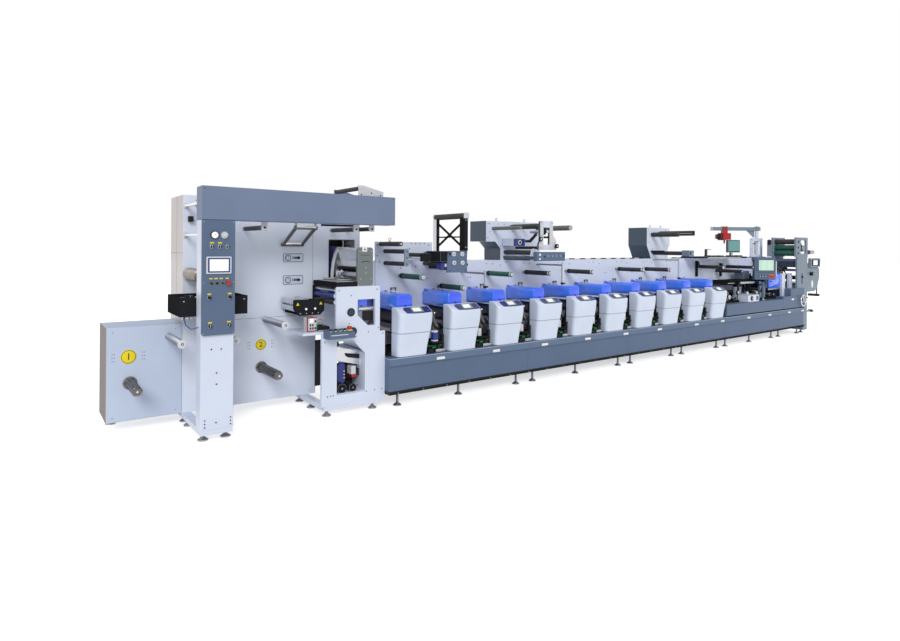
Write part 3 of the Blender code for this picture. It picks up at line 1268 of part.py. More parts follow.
def handwheel():
    """Chromed handwheel on the plinth block: rim, three spokes and a hub on its shaft."""
    rim_y = FRONT_Y - HANDWHEEL_OUT
    x = BED_RIGHT - HANDWHEEL_INSET
    z = BED_TOP + HANDWHEEL_UP
    centre = (x, rim_y, z)
    rim_r = HANDWHEEL_RIM_R
    hub = rod("Y", (x, z), rim_y - 1.6 * rim_r, PLINTH_FRONT_Y - GAP, HANDWHEEL_HUB_R, sides=16)
    bpy.ops.mesh.primitive_torus_add(major_radius=HANDWHEEL_R - rim_r, minor_radius=rim_r, major_segments=24,
                                     minor_segments=6, location=centre, rotation=(math.pi / 2, 0, 0))
    rim = bpy.context.object
    for group in rim.users_collection:
        group.objects.unlink(rim)
    CUTTERS.objects.link(rim)
    shapes = [rim]
    for index in range(HANDWHEEL_SPOKES):
        bar = rod("Z", (0, 0), rim_r, HANDWHEEL_R - rim_r, 0.8 * rim_r, sides=8)
        turn = Matrix.Rotation(2 * math.pi * index / HANDWHEEL_SPOKES, 4, "Y")
        bar.matrix_world = Matrix.Translation(centre) @ turn @ Matrix.Translation((0, 0, HANDWHEEL_R / 2))
        shapes.append(bar)
    keep("handwheel", fuse(hub, *shapes), "steel", origin=centre)


def end_frame():
    """Light grey end frame: slotted plate on a post, table, rollers, the unwinder's rear plate and a foot rail."""
    low = END_LOW
    left, right = END_FRAME_LEFT, END_FRAME_LEFT + END_FRAME_W
    outline = rounded([
        (END_POST_LEFT, low, 0), (right, low, 0), (right, END_FRAME_TOP, EASE), (left, END_FRAME_TOP, EASE),
        (left, END_PLATE_Z, 0), (END_POST_LEFT, END_PLATE_Z, 0),
    ])
    x0, x1, z0, z1 = END_SLOT
    slot = [(left + x0, z0), (left + x1, z0), (left + x1, z1), (left + x0, z1)]
    near, thick, far = END_FRONT_Y, END_FRAME_T, END_REAR_Y
    front = plate("XZ", outline, near, near + thick, holes=(slot,))
    rear = plate("XZ", outline, far, far + thick)
    inner = near + thick - SINK
    tie = box(END_POST_LEFT, END_POST_LEFT + LOOP_PLATE_W, inner, far + SINK, END_PLATE_Z,
              END_PLATE_Z + LOOP_PLATE_W)
    x0, x1, z0, z1 = END_TABLE
    table = box(left + x0, left + x1, inner, far + SINK, z0, z1)
    rail_back = REAR_Y - 2 * BRACKET_Y
    sill = box(END_POST_LEFT + EASE, right - EASE, near + EASE, rail_back, low, low + BASE_RAIL_H)
    middle = (END_POST_LEFT + right) / 2
    stand = feet([(middle, near + FOOT_INSET), (middle, rail_back - FOOT_INSET)], low)
    shapes = [rear, tie, table, sill, *stand]
    shapes += y_rods(END_ROLLERS, left, 0.0, inner, far + SINK)
    shapes += unwinder_tail(right, inner)
    keep("end_frame", fuse(front, *shapes), "grey")


def unwinder_tail(right, inner):
    """Rear plate of the unwinder with its screen box and two stub rollers, behind the end frame's plate."""
    back = inner + TAIL_T
    shapes = [plate("XZ", rounded(offset(TAIL, right, 0.0)), inner, back)]
    x0, x1, z0, z1 = END_SCREEN
    shapes.append(box(right + x0, right + x1, inner + SINK - END_SCREEN_T, inner + SINK, z0, z1, bevel=EASE))
    (high_x, high_z, high_l), (low_x, low_z, low_l) = END_STUBS
    for x, z, length in END_STUBS:
        shapes.append(rod("Y", (right + x, z), 0.0, length, END_STUB_R, sides=12))
    shapes.append(box(right + high_x - STUB_ARM, right + high_x + STUB_ARM, inner, back, high_z,
                      TAIL[3][1] + LOOP_PLATE_W))
    shapes.append(box(right - LOOP_PLATE_W, right + low_x, inner, back, low_z - STUB_ARM, low_z + STUB_ARM))
    return shapes


def unwind_head():
    """Head on the end frame: dark-green rubber rolls between two plates, the front one with a window."""
    low = END_FRAME_TOP + GAP
    left, right, top = HEAD_LEFT, HEAD_LEFT + HEAD_W, END_FRAME_TOP + HEAD_H
    outline = rounded([(left, low, 0), (right, low, 0), (right, top, EASE), (left, top, EASE)])
    near, far = END_FRONT_Y, END_REAR_Y - HEAD_FAR_IN
    x0, x1, z0, z1 = HEAD_WINDOW
    turn = HEAD_WINDOW_R
    window = rounded([(left + x0, low + z0, turn), (left + x1, low + z0, turn), (left + x1, low + z1, turn),
                      (left + x0, low + z1, turn)])
    front = plate("XZ", outline, near, near + END_FRAME_T, holes=(window,))
    rear = plate("XZ", outline, far, far + END_FRAME_T)
    shapes = [rear, *y_rods(HEAD_ROLLERS, left, END_FRAME_TOP, near + SINK, far + SINK, sides=16)]
    z, radius, length = HEAD_STUB
    stub_y = near + END_FRAME_T / 2
    shapes.append(rod("X", (stub_y, END_FRAME_TOP + z), right - SINK, right + length, radius, sides=12))
    keep("unwind_head", fuse(front, *shapes), "grey")


def on_jib(shape):
    """Turn a shape made along +X so that it points along the jib at its rest angle."""
    turn = Matrix.Translation((JIB_X, JIB_Y, 0.0)) @ Matrix.Rotation(JIB_ANGLE, 4, "Z")
    shape.data.transform(turn @ shape.matrix_world)
    shape.matrix_world = Matrix.Identity(4)
    return shape


def jib_arm():
    """Swinging jib on its post: hub, square arm and gusset, turned to the rest angle."""
    low = JIB_ARM_Z
    half = JIB_ARM_W / 2
    arm = box(-JIB_TAIL, JIB_REACH, -half, half, low, low + JIB_ARM_H)
    start = JIB_POST_R + EASE * 4
    gusset = plate("XZ", [(start, low + SINK), (start, low - JIB_GUSSET),
                          (start + FASCIA_T, low - JIB_GUSSET),
                          (start + 1.2 * JIB_GUSSET, low + SINK)], -EASE * 1.5, EASE * 1.5)
    hub = rod("Z", (0.0, 0.0), low, low + JIB_ARM_H + 2 * EASE, JIB_POST_R + 3 * EASE, sides=16)
    keep("jib_arm", on_jib(fuse(arm, gusset, hub)), "grey", origin=(JIB_X, JIB_Y, low))


def hoist():
    """Red chain hoist that runs on the jib: trolley cheeks, motor body, chain box and hook."""
    side = JIB_ARM_W / 2 + HOIST_PLAY
    outside = side + CHEEK_T
    run = HOIST_RUN
    low = JIB_ARM_Z
    half_l, half_w, half_c = HOIST_L / 2, HOIST_W / 2, CHEEK_L / 2
    top = low + JIB_ARM_H + GAP
    under = low - HOIST_DROP
    block = box(run - half_l, run + half_l, -half_w, half_w, under - HOIST_H, under, bevel=3 * EASE)
    shapes = []
    for y in (-outside, side):
        shapes.append(box(run - half_c, run + half_c, y, y + CHEEK_T, under - CHEEK_T, top + EASE))
    shapes.append(box(run - half_c, run + half_c, -outside, outside, under - CHEEK_T, low - HOIST_PLAY))
    shapes.append(box(run - half_c, run + half_c, -outside, outside, top, top + CHEEK_T))
    drum = rod("X", (0.0, under - HOIST_H / 2), run + half_l - SINK, run + half_l + HOIST_L / 4, HOIST_H / 3,
               sides=12)
    hook = rod("Z", (run, 0.0), under - HOIST_H - HOOK_L, under - HOIST_H + SINK, HOOK_R, sides=10)
    body = on_jib(fuse(block, *shapes, drum, hook))
    place = Vector((math.cos(JIB_ANGLE) * run, math.sin(JIB_ANGLE) * run, 0.0)) + Vector((JIB_X, JIB_Y, low))
    keep("hoist", body, "red", origin=place)


def operator_terminal():
    """Swivelling operator terminal on its post, with buttons under the screen and handles at both sides."""
    turn = Matrix.Translation((HMI_X, HMI_Y, 0.0)) @ Matrix.Rotation(HMI_TURN, 4, "Z")
    low = HMI_Z
    half = HMI_W / 2
    front = -0.62 * HMI_D
    case = box(-half, half, front, front + HMI_D, low, low + HMI_H, bevel=2 * EASE)
    edge = HMI_W / 9
    bezel = box(-half + edge, half - edge, front - 2 * EASE, front + EASE, low + HMI_H / 3,
                low + HMI_H - edge * 0.6, bevel=EASE * 0.75)
    shapes = [bezel]
    pitch = (HMI_W - 3 * edge) / HMI_BUTTONS
    first = -pitch * (HMI_BUTTONS - 1) / 2
    for index in range(HMI_BUTTONS):
        shapes.append(rod("Y", (first + pitch * index, low + HMI_H * 0.15), front - 4 * EASE, front + EASE,
                          HMI_BUTTON_R, sides=8))
    grip = HMI_HANDLE_R
    inset = HMI_H / 6
    grip_y = front + HMI_D * 0.38
    for side in (-1, 1):
        x = side * (half + HMI_HANDLE_OUT)
        shapes.append(rod("Z", (x, grip_y), low + inset, low + HMI_H - inset, grip, sides=8))
        inner = side * (half - grip)
        for z in (low + inset + grip, low + HMI_H - inset - grip):
            shapes.append(rod("X", (grip_y, z), min(x, inner), max(x, inner), grip * 0.8, sides=6))
    body = fuse(case, *shapes)
    body.data.transform(turn @ body.matrix_world)
    body.matrix_world = Matrix.Identity(4)
    keep("operator_terminal", body, "slate", origin=(HMI_X, HMI_Y, low))


def stand_on_origin():
    """Hang every part on one empty that puts the middle of the press's floor outline on the origin."""
    bpy.context.view_layer.update()
    shapes = [part for part in PARTS.objects if part.type == "MESH"]
    corners = [part.matrix_world @ vertex.co for part in shapes for vertex in part.data.vertices]
    middle_x = (min(c.x for c in corners) + max(c.x for c in corners)) / 2
    middle_y = (min(c.y for c in corners) + max(c.y for c in corners)) / 2
    root = bpy.data.objects.new("press", None)
    root.location = (-middle_x, -middle_y, 0.0)
    PARTS.objects.link(root)
    for part in shapes:
        part.parent = root
        part.data.shade_smooth()
        part.data.set_sharp_from_angle(angle=math.radians(35))


def main():
    rewinder_box()
    rewinder_cabinet()
    front_column()
    control_fascia()
    overhead_beam()
    winding_shaft("winding_shaft_1", WIND_1_X, WIND_1_Z, WIND_1_L)
    winding_shaft("winding_shaft_2", WIND_2_X, WIND_2_Z, WIND_2_L)
    web_roller("steel_roller_1", STEEL_1, STEEL_R, STEEL_L, "steel", STEEL_CAP_R)
    web_roller("steel_roller_2", STEEL_2, STEEL_R, STEEL_L, "steel", STEEL_CAP_R)
    web_roller("steel_roller_3", STEEL_3, STEEL_R, STEEL_SHORT_L, "steel", STEEL_CAP_R)
    web_roller("chill_roller", CHILL, CHILL_R, STEEL_SHORT_L, "steel", sides=24)
    slitting_tray()
    nip_unit()
    front_frame()
    die_head()
    operator_console()
    bed()
    main_panel()
    print_decks()
    unit_covers()
    unit_hoods()
    panel_rollers()
    web_guide_unit()
    lattice_carrier()
    overhead_unit_1()
    overhead_unit_2()
    end_plinth()
    converting_modules()
    end_guard()
    handwheel()
    end_frame()
    unwind_head()
    jib_arm()
    hoist()
    operator_terminal()
    stand_on_origin()


main()
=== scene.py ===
"""Looks of a flexographic label press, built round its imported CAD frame.

Places are in machine coordinates: X from the rewinder's left face, Y back from the front of the bed, Z up
from the floor, all in metres. Some groups of small parts measure from a place of their own, set by start_at.
Small parts are gathered by finish, so that each piece has one material.
"""

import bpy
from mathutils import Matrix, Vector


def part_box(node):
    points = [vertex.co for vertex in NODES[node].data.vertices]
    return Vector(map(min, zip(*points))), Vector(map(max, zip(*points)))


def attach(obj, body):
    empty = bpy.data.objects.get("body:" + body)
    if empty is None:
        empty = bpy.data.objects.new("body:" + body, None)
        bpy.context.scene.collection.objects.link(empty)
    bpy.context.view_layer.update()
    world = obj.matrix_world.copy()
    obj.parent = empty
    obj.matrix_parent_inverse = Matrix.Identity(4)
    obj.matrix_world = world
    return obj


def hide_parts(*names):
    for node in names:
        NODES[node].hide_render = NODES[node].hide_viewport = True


bl_info = {
    "name": "Flexographic label press looks",
    "version": (1, 0, 0),
    "blender": (4, 5, 0),
    "location": "3D View > Sidebar > Press",
    "description": "Finishes, small parts, camera and studio for a narrow-web label press",
    "category": "Object",
}

import math

import bpy
import numpy as np
from bpy.props import FloatProperty, PointerProperty

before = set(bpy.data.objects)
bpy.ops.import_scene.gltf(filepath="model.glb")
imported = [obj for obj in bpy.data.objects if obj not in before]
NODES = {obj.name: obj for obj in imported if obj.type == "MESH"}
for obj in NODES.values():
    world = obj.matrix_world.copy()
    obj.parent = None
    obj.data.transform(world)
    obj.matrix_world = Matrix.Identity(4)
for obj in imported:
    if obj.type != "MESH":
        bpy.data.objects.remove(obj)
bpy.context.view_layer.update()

ORIGIN = np.array((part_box("rewinder_box")[0][0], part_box("front_column")[0][1], 0.0))
UNITS = range(1, 11)


def low(name):
    """Lowest corner of a CAD node in machine coordinates."""
    return np.array(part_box(name)[0]) - ORIGIN


def high(name):
    """Highest corner of a CAD node in machine coordinates."""
    return np.array(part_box(name)[1]) - ORIGIN


# Main planes of the press, read from the frame
PANEL_Y = high("green_roller_1")[1] + 0.0003
BED_TOP = high("bed")[2]
BED_X = low("bed")[0]
PANEL_X = BED_X + 0.1957
BED_END = high("bed")[0]
FRAME_Y = 0.1
PLINTH_TOP = 0.69
FRAME_LEFT = 1.687      # left edge of the white front frame
DIE_LEFT, DIE_RIGHT = 2.055, 2.222
NEAR_PANEL = 0.649      # where what hangs on the main panel ends, just short of its face
UNIT_STEP = 0.645       # pitch of the small parts that repeat with the print units
FASCIA_Y = -0.022
UNIT_X = low("unit_cover_01")[0]
PITCH = low("unit_cover_02")[0] - UNIT_X
SKIN = 0.0006           # how far a dressing stands over the CAD surface it covers


# Materials

def node_group(name, inputs, outputs):
    """An empty shader group with float or colour sockets, given as (name, kind, default)."""
    group = bpy.data.node_groups.new(name, "ShaderNodeTree")
    kinds = {"colour": "NodeSocketColor", "value": "NodeSocketFloat"}
    for title, kind, default in inputs:
        socket = group.interface.new_socket(title, in_out="INPUT", socket_type=kinds[kind])
        socket.default_value = default
    for title, kind in outputs:
        group.interface.new_socket(title, in_out="OUTPUT", socket_type=kinds[kind])
    start = group.nodes.new("NodeGroupInput")
    end = group.nodes.new("NodeGroupOutput")
    return group, start.outputs, end.inputs


def shader_node(tree, kind, **settings):
    """A node of a kind, its settings given by name."""
    made = tree.nodes.new("ShaderNode" + kind)
    for key, value in settings.items():
        setattr(made, key, value)
    return made


def set_inputs(node, values):
    """Plain values of a node's sockets, by their names."""
    for name, value in values.items():
        node.inputs[name].default_value = value


def texture(tree, kind, scale, stretch=(1.0, 1.0, 1.0), detail=3.0):
    """A noise or voronoi texture in object coordinates, stretched along the axes."""
    place = shader_node(tree, "TexCoord")
    mapping = shader_node(tree, "Mapping")
    mapping.inputs["Scale"].default_value = stretch
    made = shader_node(tree, kind)
    made.inputs["Scale"].default_value = scale
    if "Detail" in made.inputs:
        made.inputs["Detail"].default_value = detail
    tree.links.new(place.outputs["Object"], mapping.inputs["Vector"])
    tree.links.new(mapping.outputs["Vector"], made.inputs["Vector"])
    return made


def remap(tree, value, low_in, high_in, low_out, high_out):
    """A value carried linearly from one range to another, clamped."""
    made = shader_node(tree, "MapRange")
    set_inputs(made, {"From Min": low_in, "From Max": high_in, "To Min": low_out, "To Max": high_out})
    tree.links.new(value, made.inputs["Value"])
    return made.outputs["Result"]


def mix(tree, mask, first, second):
    """Colour mix by a mask; each colour is a socket or a plain RGB."""
    made = shader_node(tree, "Mix", data_type="RGBA")
    tree.links.new(mask, made.inputs["Factor"])
    for socket, colour in ((made.inputs[6], first), (made.inputs[7], second)):
        if isinstance(colour, bpy.types.NodeSocket):
            tree.links.new(colour, socket)
        else:
            socket.default_value = (*colour, 1.0)
    return made.outputs[2]


def calc(tree, operation, *values, clamp=False):
    """Arithmetic on sockets and plain numbers."""
    made = shader_node(tree, "Math", operation=operation, use_clamp=clamp)
    for socket, value in zip(made.inputs, values):
        if isinstance(value, bpy.types.NodeSocket):
            tree.links.new(value, socket)
        else:
            socket.default_value = value
    return made.outputs[0]


def axis_value(tree, axis, normal=False):
    """X, Y or Z of the object coordinates, or of the surface normal."""
    place = shader_node(tree, "TexCoord")
    split = shader_node(tree, "SeparateXYZ")
    tree.links.new(place.outputs["Normal" if normal else "Object"], split.inputs["Vector"])
    return split.outputs[axis]


def between(tree, value, start, stop):
    """1 where a value lies between start and stop, otherwise 0."""
    above = calc(tree, "GREATER_THAN", value, start)
    return calc(tree, "MULTIPLY", above, calc(tree, "LESS_THAN", value, stop))


def satin_group():
    """Powder coat: cloudy tone, fine orange peel in the height and a roughness that follows the clouds."""
    group, given, result = node_group(
        "satin coat",
        (("Colour", "colour", (0.5, 0.5, 0.5, 1.0)), ("Roughness", "value", 0.4), ("Tone", "value", 0.04)),
        (("Colour", "colour"), ("Roughness", "value"), ("Height", "value")),
    )
    cloud = texture(group, "TexNoise", 2.4, detail=4.0)
    peel = texture(group, "TexNoise", 420.0, detail=2.0)
    swing = remap(group, cloud.outputs["Fac"], 0.3, 0.7, -1.0, 1.0)
    tone = shader_node(group, "HueSaturation")
    group.links.new(given["Colour"], tone.inputs["Color"])
    group.links.new(calc(group, "MULTIPLY_ADD", swing, given["Tone"], 1.0), tone.inputs["Value"])
    rough = calc(group, "MULTIPLY_ADD", swing, 0.05, given["Roughness"], clamp=True)
    group.links.new(tone.outputs["Color"], result["Colour"])
    group.links.new(rough, result["Roughness"])
    group.links.new(peel.outputs["Fac"], result["Height"])
    return group


def brushed_group(name, stretch):
    """Ground metal: fine lines drawn across one axis, in tone, roughness and height."""
    group, given, result = node_group(
        name,
        (("Colour", "colour", (0.6, 0.6, 0.62, 1.0)), ("Roughness", "value", 0.25)),
        (("Colour", "colour"), ("Roughness", "value"), ("Height", "value")),
    )
    lines = texture(group, "TexNoise", 1.0, stretch, detail=6.0)
    cloud = texture(group, "TexNoise", 9.0, detail=3.0)
    bright = remap(group, lines.outputs["Fac"], 0.3, 0.7, 0.86, 1.08)
    tone = shader_node(group, "HueSaturation")
    group.links.new(given["Colour"], tone.inputs["Color"])
    group.links.new(bright, tone.inputs["Value"])
    swing = remap(group, cloud.outputs["Fac"], 0.3, 0.7, -0.06, 0.08)
    group.links.new(tone.outputs["Color"], result["Colour"])
    group.links.new(calc(group, "ADD", swing, given["Roughness"], clamp=True), result["Roughness"])
    group.links.new(lines.outputs["Fac"], result["Height"])
    return group


def bare_material(name):
    """A material with its tree and its Principled node."""
    made = bpy.data.materials.new(name)
    made.use_nodes = True
    return made, made.node_tree, made.node_tree.nodes["Principled BSDF"]


def give_bump(tree, shader, height, strength, distance):
    """Carry a height into the surface normal."""
    bump = shader_node(tree, "Bump")
    set_inputs(bump, {"Strength": strength, "Distance": distance})
    tree.links.new(height, bump.inputs["Height"])
    tree.links.new(bump.outputs["Normal"], shader.inputs["Normal"])


def coated(name, colour, rough=0.4, tone=0.04, coat=0.0, feet_below=None, patches=(), shine=0.3):
    """Painted sheet metal, zinc below feet_below; shine is the strength of its reflections.

    Patches are (axis, start, stop, by normal, colour): the colour shows where that coordinate of the place, or
    of the surface normal, lies between start and stop.
    """
    made, tree, shader = bare_material(name)
    satin = shader_node(tree, "Group", node_tree=bpy.data.node_groups["satin coat"])
    set_inputs(satin, {"Colour": (*colour, 1.0), "Roughness": rough, "Tone": tone})
    shade = satin.outputs["Colour"]
    for axis, start, stop, normal, tint in patches:
        shade = mix(tree, between(tree, axis_value(tree, axis, normal), start, stop), shade, tint)
    if feet_below is not None:
        under = calc(tree, "LESS_THAN", axis_value(tree, "Z"), feet_below)
        shade = mix(tree, under, shade, (0.3, 0.31, 0.33))
        tree.links.new(under, shader.inputs["Metallic"])
    tree.links.new(shade, shader.inputs["Base Color"])
    tree.links.new(satin.outputs["Roughness"], shader.inputs["Roughness"])
    set_inputs(shader, {"Specular IOR Level": shine, "Coat Weight": coat, "Coat Roughness": 0.12})
    give_bump(tree, shader, satin.outputs["Height"], 0.06, 0.0006)
    return made


def metal(name, colour, rough, along="round", dark=None):
    """Ground or polished metal, its lines running round rollers or along the press.

    With a dark colour a studio reflection is painted from the slope of the surface, as on a polished roller:
    a painted dark band below, a painted bright band above the middle and a medium tone on top.
    """
    made, tree, shader = bare_material(name)
    group = shader_node(tree, "Group", node_tree=bpy.data.node_groups["ground " + along])
    set_inputs(group, {"Colour": (*colour, 1.0), "Roughness": rough})
    shade = group.outputs["Colour"]
    # Painted reflection: the shade is mixed from the slope of the normal, not lit.
    if dark:
        slope = axis_value(tree, "Z", True)
        shade = mix(tree, remap(tree, slope, -0.25, 0.6, 0.0, 1.0), dark, shade)
        shade = mix(tree, remap(tree, slope, 0.7, 1.0, 0.0, 0.65), shade, dark)
    tree.links.new(shade, shader.inputs["Base Color"])
    tree.links.new(group.outputs["Roughness"], shader.inputs["Roughness"])
    set_inputs(shader, {"Metallic": 1.0, "Anisotropic": 0.3})
    give_bump(tree, shader, group.outputs["Height"], 0.08, 0.0004)
    return made


def rubber(name, colour, rough=0.6):
    """Rubber covering: dusty, faintly mottled and matt."""
    made, tree, shader = bare_material(name)
    dust = texture(tree, "TexNoise", 60.0, (1.0, 0.3, 1.0), detail=5.0)
    mask = remap(tree, dust.outputs["Fac"], 0.45, 0.75, 0.0, 0.35)
    pale = tuple(min(1.0, c + 0.09) for c in colour)
    tree.links.new(mix(tree, mask, colour, pale), shader.inputs["Base Color"])
    tree.links.new(remap(tree, dust.outputs["Fac"], 0.3, 0.7, rough - 0.08, rough + 0.12),
        shader.inputs["Roughness"])
    grain = texture(tree, "TexNoise", 900.0, detail=2.0)
    give_bump(tree, shader, grain.outputs["Fac"], 0.15, 0.0005)
    return made


def moulded(name, colour, rough=0.32, seam=None):
    """Moulded housing plastic: glossy, faintly grained; seam is the height range of its dark groove."""
    made, tree, shader = bare_material(name)
    cloud = texture(tree, "TexNoise", 3.5, detail=3.0)
    grain = texture(tree, "TexNoise", 1300.0, detail=1.0)
    mask = remap(tree, cloud.outputs["Fac"], 0.35, 0.65, 0.0, 1.0)
    soft = tuple(c * 0.955 for c in colour)
    shade = mix(tree, mask, colour, soft)
    if seam:
        shade = mix(tree, between(tree, axis_value(tree, "Z"), *seam), shade, (0.27, 0.31, 0.39))
    tree.links.new(shade, shader.inputs["Base Color"])
    tree.links.new(remap(tree, cloud.outputs["Fac"], 0.3, 0.7, rough - 0.04, rough + 0.06),
        shader.inputs["Roughness"])
    set_inputs(shader, {"Coat Weight": 0.25, "Coat Roughness": 0.1, "Subsurface Weight": 0.03})
    give_bump(tree, shader, grain.outputs["Fac"], 0.05, 0.0004)
    return made


def acrylic(name, colour, edge, see_through):
    """Tinted acrylic sheet: deep in front, with painted light on its left side, a painted sheen at its rim,
    random streaks and a faint painted glow; slightly see-through.
    """
    made, tree, shader = bare_material(name)
    # The rim's facing value gives a painted sheen at grazing angles and the see-through falloff.
    rim = shader_node(tree, "LayerWeight")
    rim.inputs["Blend"].default_value = 0.35
    cloud = texture(tree, "TexNoise", 5.0, (1.0, 1.0, 2.5), detail=3.0)
    streak = remap(tree, cloud.outputs["Fac"], 0.35, 0.7, 0.0, 0.35)
    # Painted light: faces turned to the left are drawn lighter.
    side = remap(tree, axis_value(tree, "X", True), -0.2, -0.9, 0.0, 0.75)
    painted_light_and_streaks = calc(tree, "MAXIMUM", calc(tree, "MAXIMUM", rim.outputs["Facing"], streak), side)
    shade = mix(tree, painted_light_and_streaks, colour, edge)
    tree.links.new(shade, shader.inputs["Base Color"])
    # Painted glow: the acrylic is no lamp.
    tree.links.new(shade, shader.inputs["Emission Color"])
    shader.inputs["Emission Strength"].default_value = 0.22
    tree.links.new(remap(tree, rim.outputs["Facing"], 0.0, 1.0, see_through, 0.97), shader.inputs["Alpha"])
    set_inputs(shader, {"Roughness": 0.12, "Coat Weight": 0.6, "IOR": 1.49})
    return made


def lit_screen(name, ground, bar, accent):
    """Operating display: pale field with generic bars, faintly glowing."""
    made, tree, shader = bare_material(name)
    rows = texture(tree, "TexBrick", 22.0)
    set_inputs(rows, {"Color1": (*ground, 1.0), "Color2": (*bar, 1.0), "Mortar": (*accent, 1.0),
                      "Mortar Size": 0.03, "Bias": -0.35})
    tree.links.new(rows.outputs["Color"], shader.inputs["Base Color"])
    tree.links.new(rows.outputs["Color"], shader.inputs["Emission Color"])
    set_inputs(shader, {"Emission Strength": 0.25, "Roughness": 0.15, "Coat Weight": 0.5})
    return made


SLATE = (0.112, 0.158, 0.248)
WHITE = (0.66, 0.72, 0.855)
LOOKS = {}


def make_looks():
    """Every finish of the press, by a maker's name for it."""
    satin_group()
    brushed_group("ground round", (2.0, 700.0, 2.0))
    brushed_group("ground along", (3.0, 900.0, 900.0))
    brushed_group("ground upright", (160.0, 160.0, 3.0))
    LOOKS.update({
        "slate": coated("slate paint", SLATE, 0.4, shine=0.12),
        "pale slate": coated("pale slate paint", (0.16, 0.21, 0.29), 0.4, shine=0.12),
        "deep slate": coated("deep slate paint", (0.045, 0.06, 0.09), 0.45, shine=0.12),
        "white": coated("white paint", WHITE, 0.34, tone=0.03, coat=0.15),
        "grey": coated("light grey paint", (0.215, 0.268, 0.328), 0.4, shine=0.15),
        "plate grey": coated("grey-green plate", (0.155, 0.18, 0.185), 0.4, coat=0.2),
        "black": coated("black paint", (0.02, 0.021, 0.024), 0.45, shine=0.0),
        "soft black": coated("black plastic", (0.02, 0.02, 0.023), 0.55, shine=0.12),
        "navy": coated("navy film", (0.012, 0.025, 0.2), 0.28, coat=0.3),
        "yellow": coated("yellow film", (0.85, 0.68, 0.02), 0.35),
        "label": coated("bare label", (0.8, 0.8, 0.78), 0.4),
        "red": coated("red enamel", (0.45, 0.012, 0.015), 0.3, coat=0.3),
        "green": coated("green plastic", (0.004, 0.1, 0.03), 0.35),
        "blue": coated("blue enamel", (0.02, 0.07, 0.3), 0.35),
        "orange": coated("orange plastic", (0.75, 0.16, 0.02), 0.35),
        "lever": coated("grey lever", (0.085, 0.08, 0.078), 0.4),
        "bezel": coated("grey-green bezel", (0.16, 0.2, 0.16), 0.4),
        "steel": metal("ground steel", (0.58, 0.58, 0.6), 0.24),
        # Roller steel carries a painted reflection: dark below, bright above the middle.
        "roller steel": metal("polished roller steel with painted reflection", (0.8, 0.8, 0.83), 0.22, dark=(0.055, 0.055, 0.065)),
        "dull steel": metal("zinc-plated steel", (0.4, 0.41, 0.43), 0.38, "upright"),
        "chrome": metal("polished chrome", (0.75, 0.75, 0.77), 0.1),
        "alloy": metal("drawn alloy", (0.6, 0.61, 0.64), 0.3, "along"),
        "dark steel": metal("browned steel", (0.16, 0.15, 0.15), 0.32),
        "side steel": metal("brushed cover sheet", (0.86, 0.85, 0.86), 0.3, "upright"),
        # Warm steel carries a painted reflection: dark below, bright above the middle.
        "warm steel": metal("warm steel", (0.42, 0.33, 0.28), 0.34, dark=(0.07, 0.05, 0.04)),
        "black rubber": rubber("black rubber", (0.018, 0.018, 0.02)),
        "grey rubber": rubber("grey rubber", (0.13, 0.13, 0.12)),
        "green rubber": rubber("green rubber", (0.006, 0.085, 0.055), 0.5),
        "blue rubber": rubber("blue rubber", (0.02, 0.04, 0.22), 0.5),
        "cover": moulded("cover plastic", (0.65, 0.725, 0.865), seam=(BED_TOP + 0.2362, BED_TOP + 0.2438)),
        "cap": moulded("pale cap", (0.62, 0.63, 0.66), 0.4),
        # The hood's second colour is its painted light on left sides and rim.
        "hood": acrylic("blue acrylic with painted light", (0.018, 0.065, 0.74), (0.075, 0.235, 0.86), 0.88),
        "screen": lit_screen("pale display", (0.84, 0.86, 0.86), (0.7, 0.76, 0.8), (0.9, 0.92, 0.93)),
        "green screen": lit_screen("green display", (0.42, 0.62, 0.5), (0.3, 0.52, 0.42), (0.6, 0.72, 0.62)),
        "teal screen": lit_screen("teal display", (0.02, 0.17, 0.17), (0.03, 0.22, 0.22), (0.04, 0.25, 0.26)),
    })


# Shapes

AXES = {
    "X": np.array(((1, 0, 0), (0, 1, 0), (0, 0, 1)), float),
    "Y": np.array(((0, 1, 0), (0, 0, 1), (1, 0, 0)), float),
    "Z": np.array(((0, 0, 1), (1, 0, 0), (0, 1, 0)), float),
}


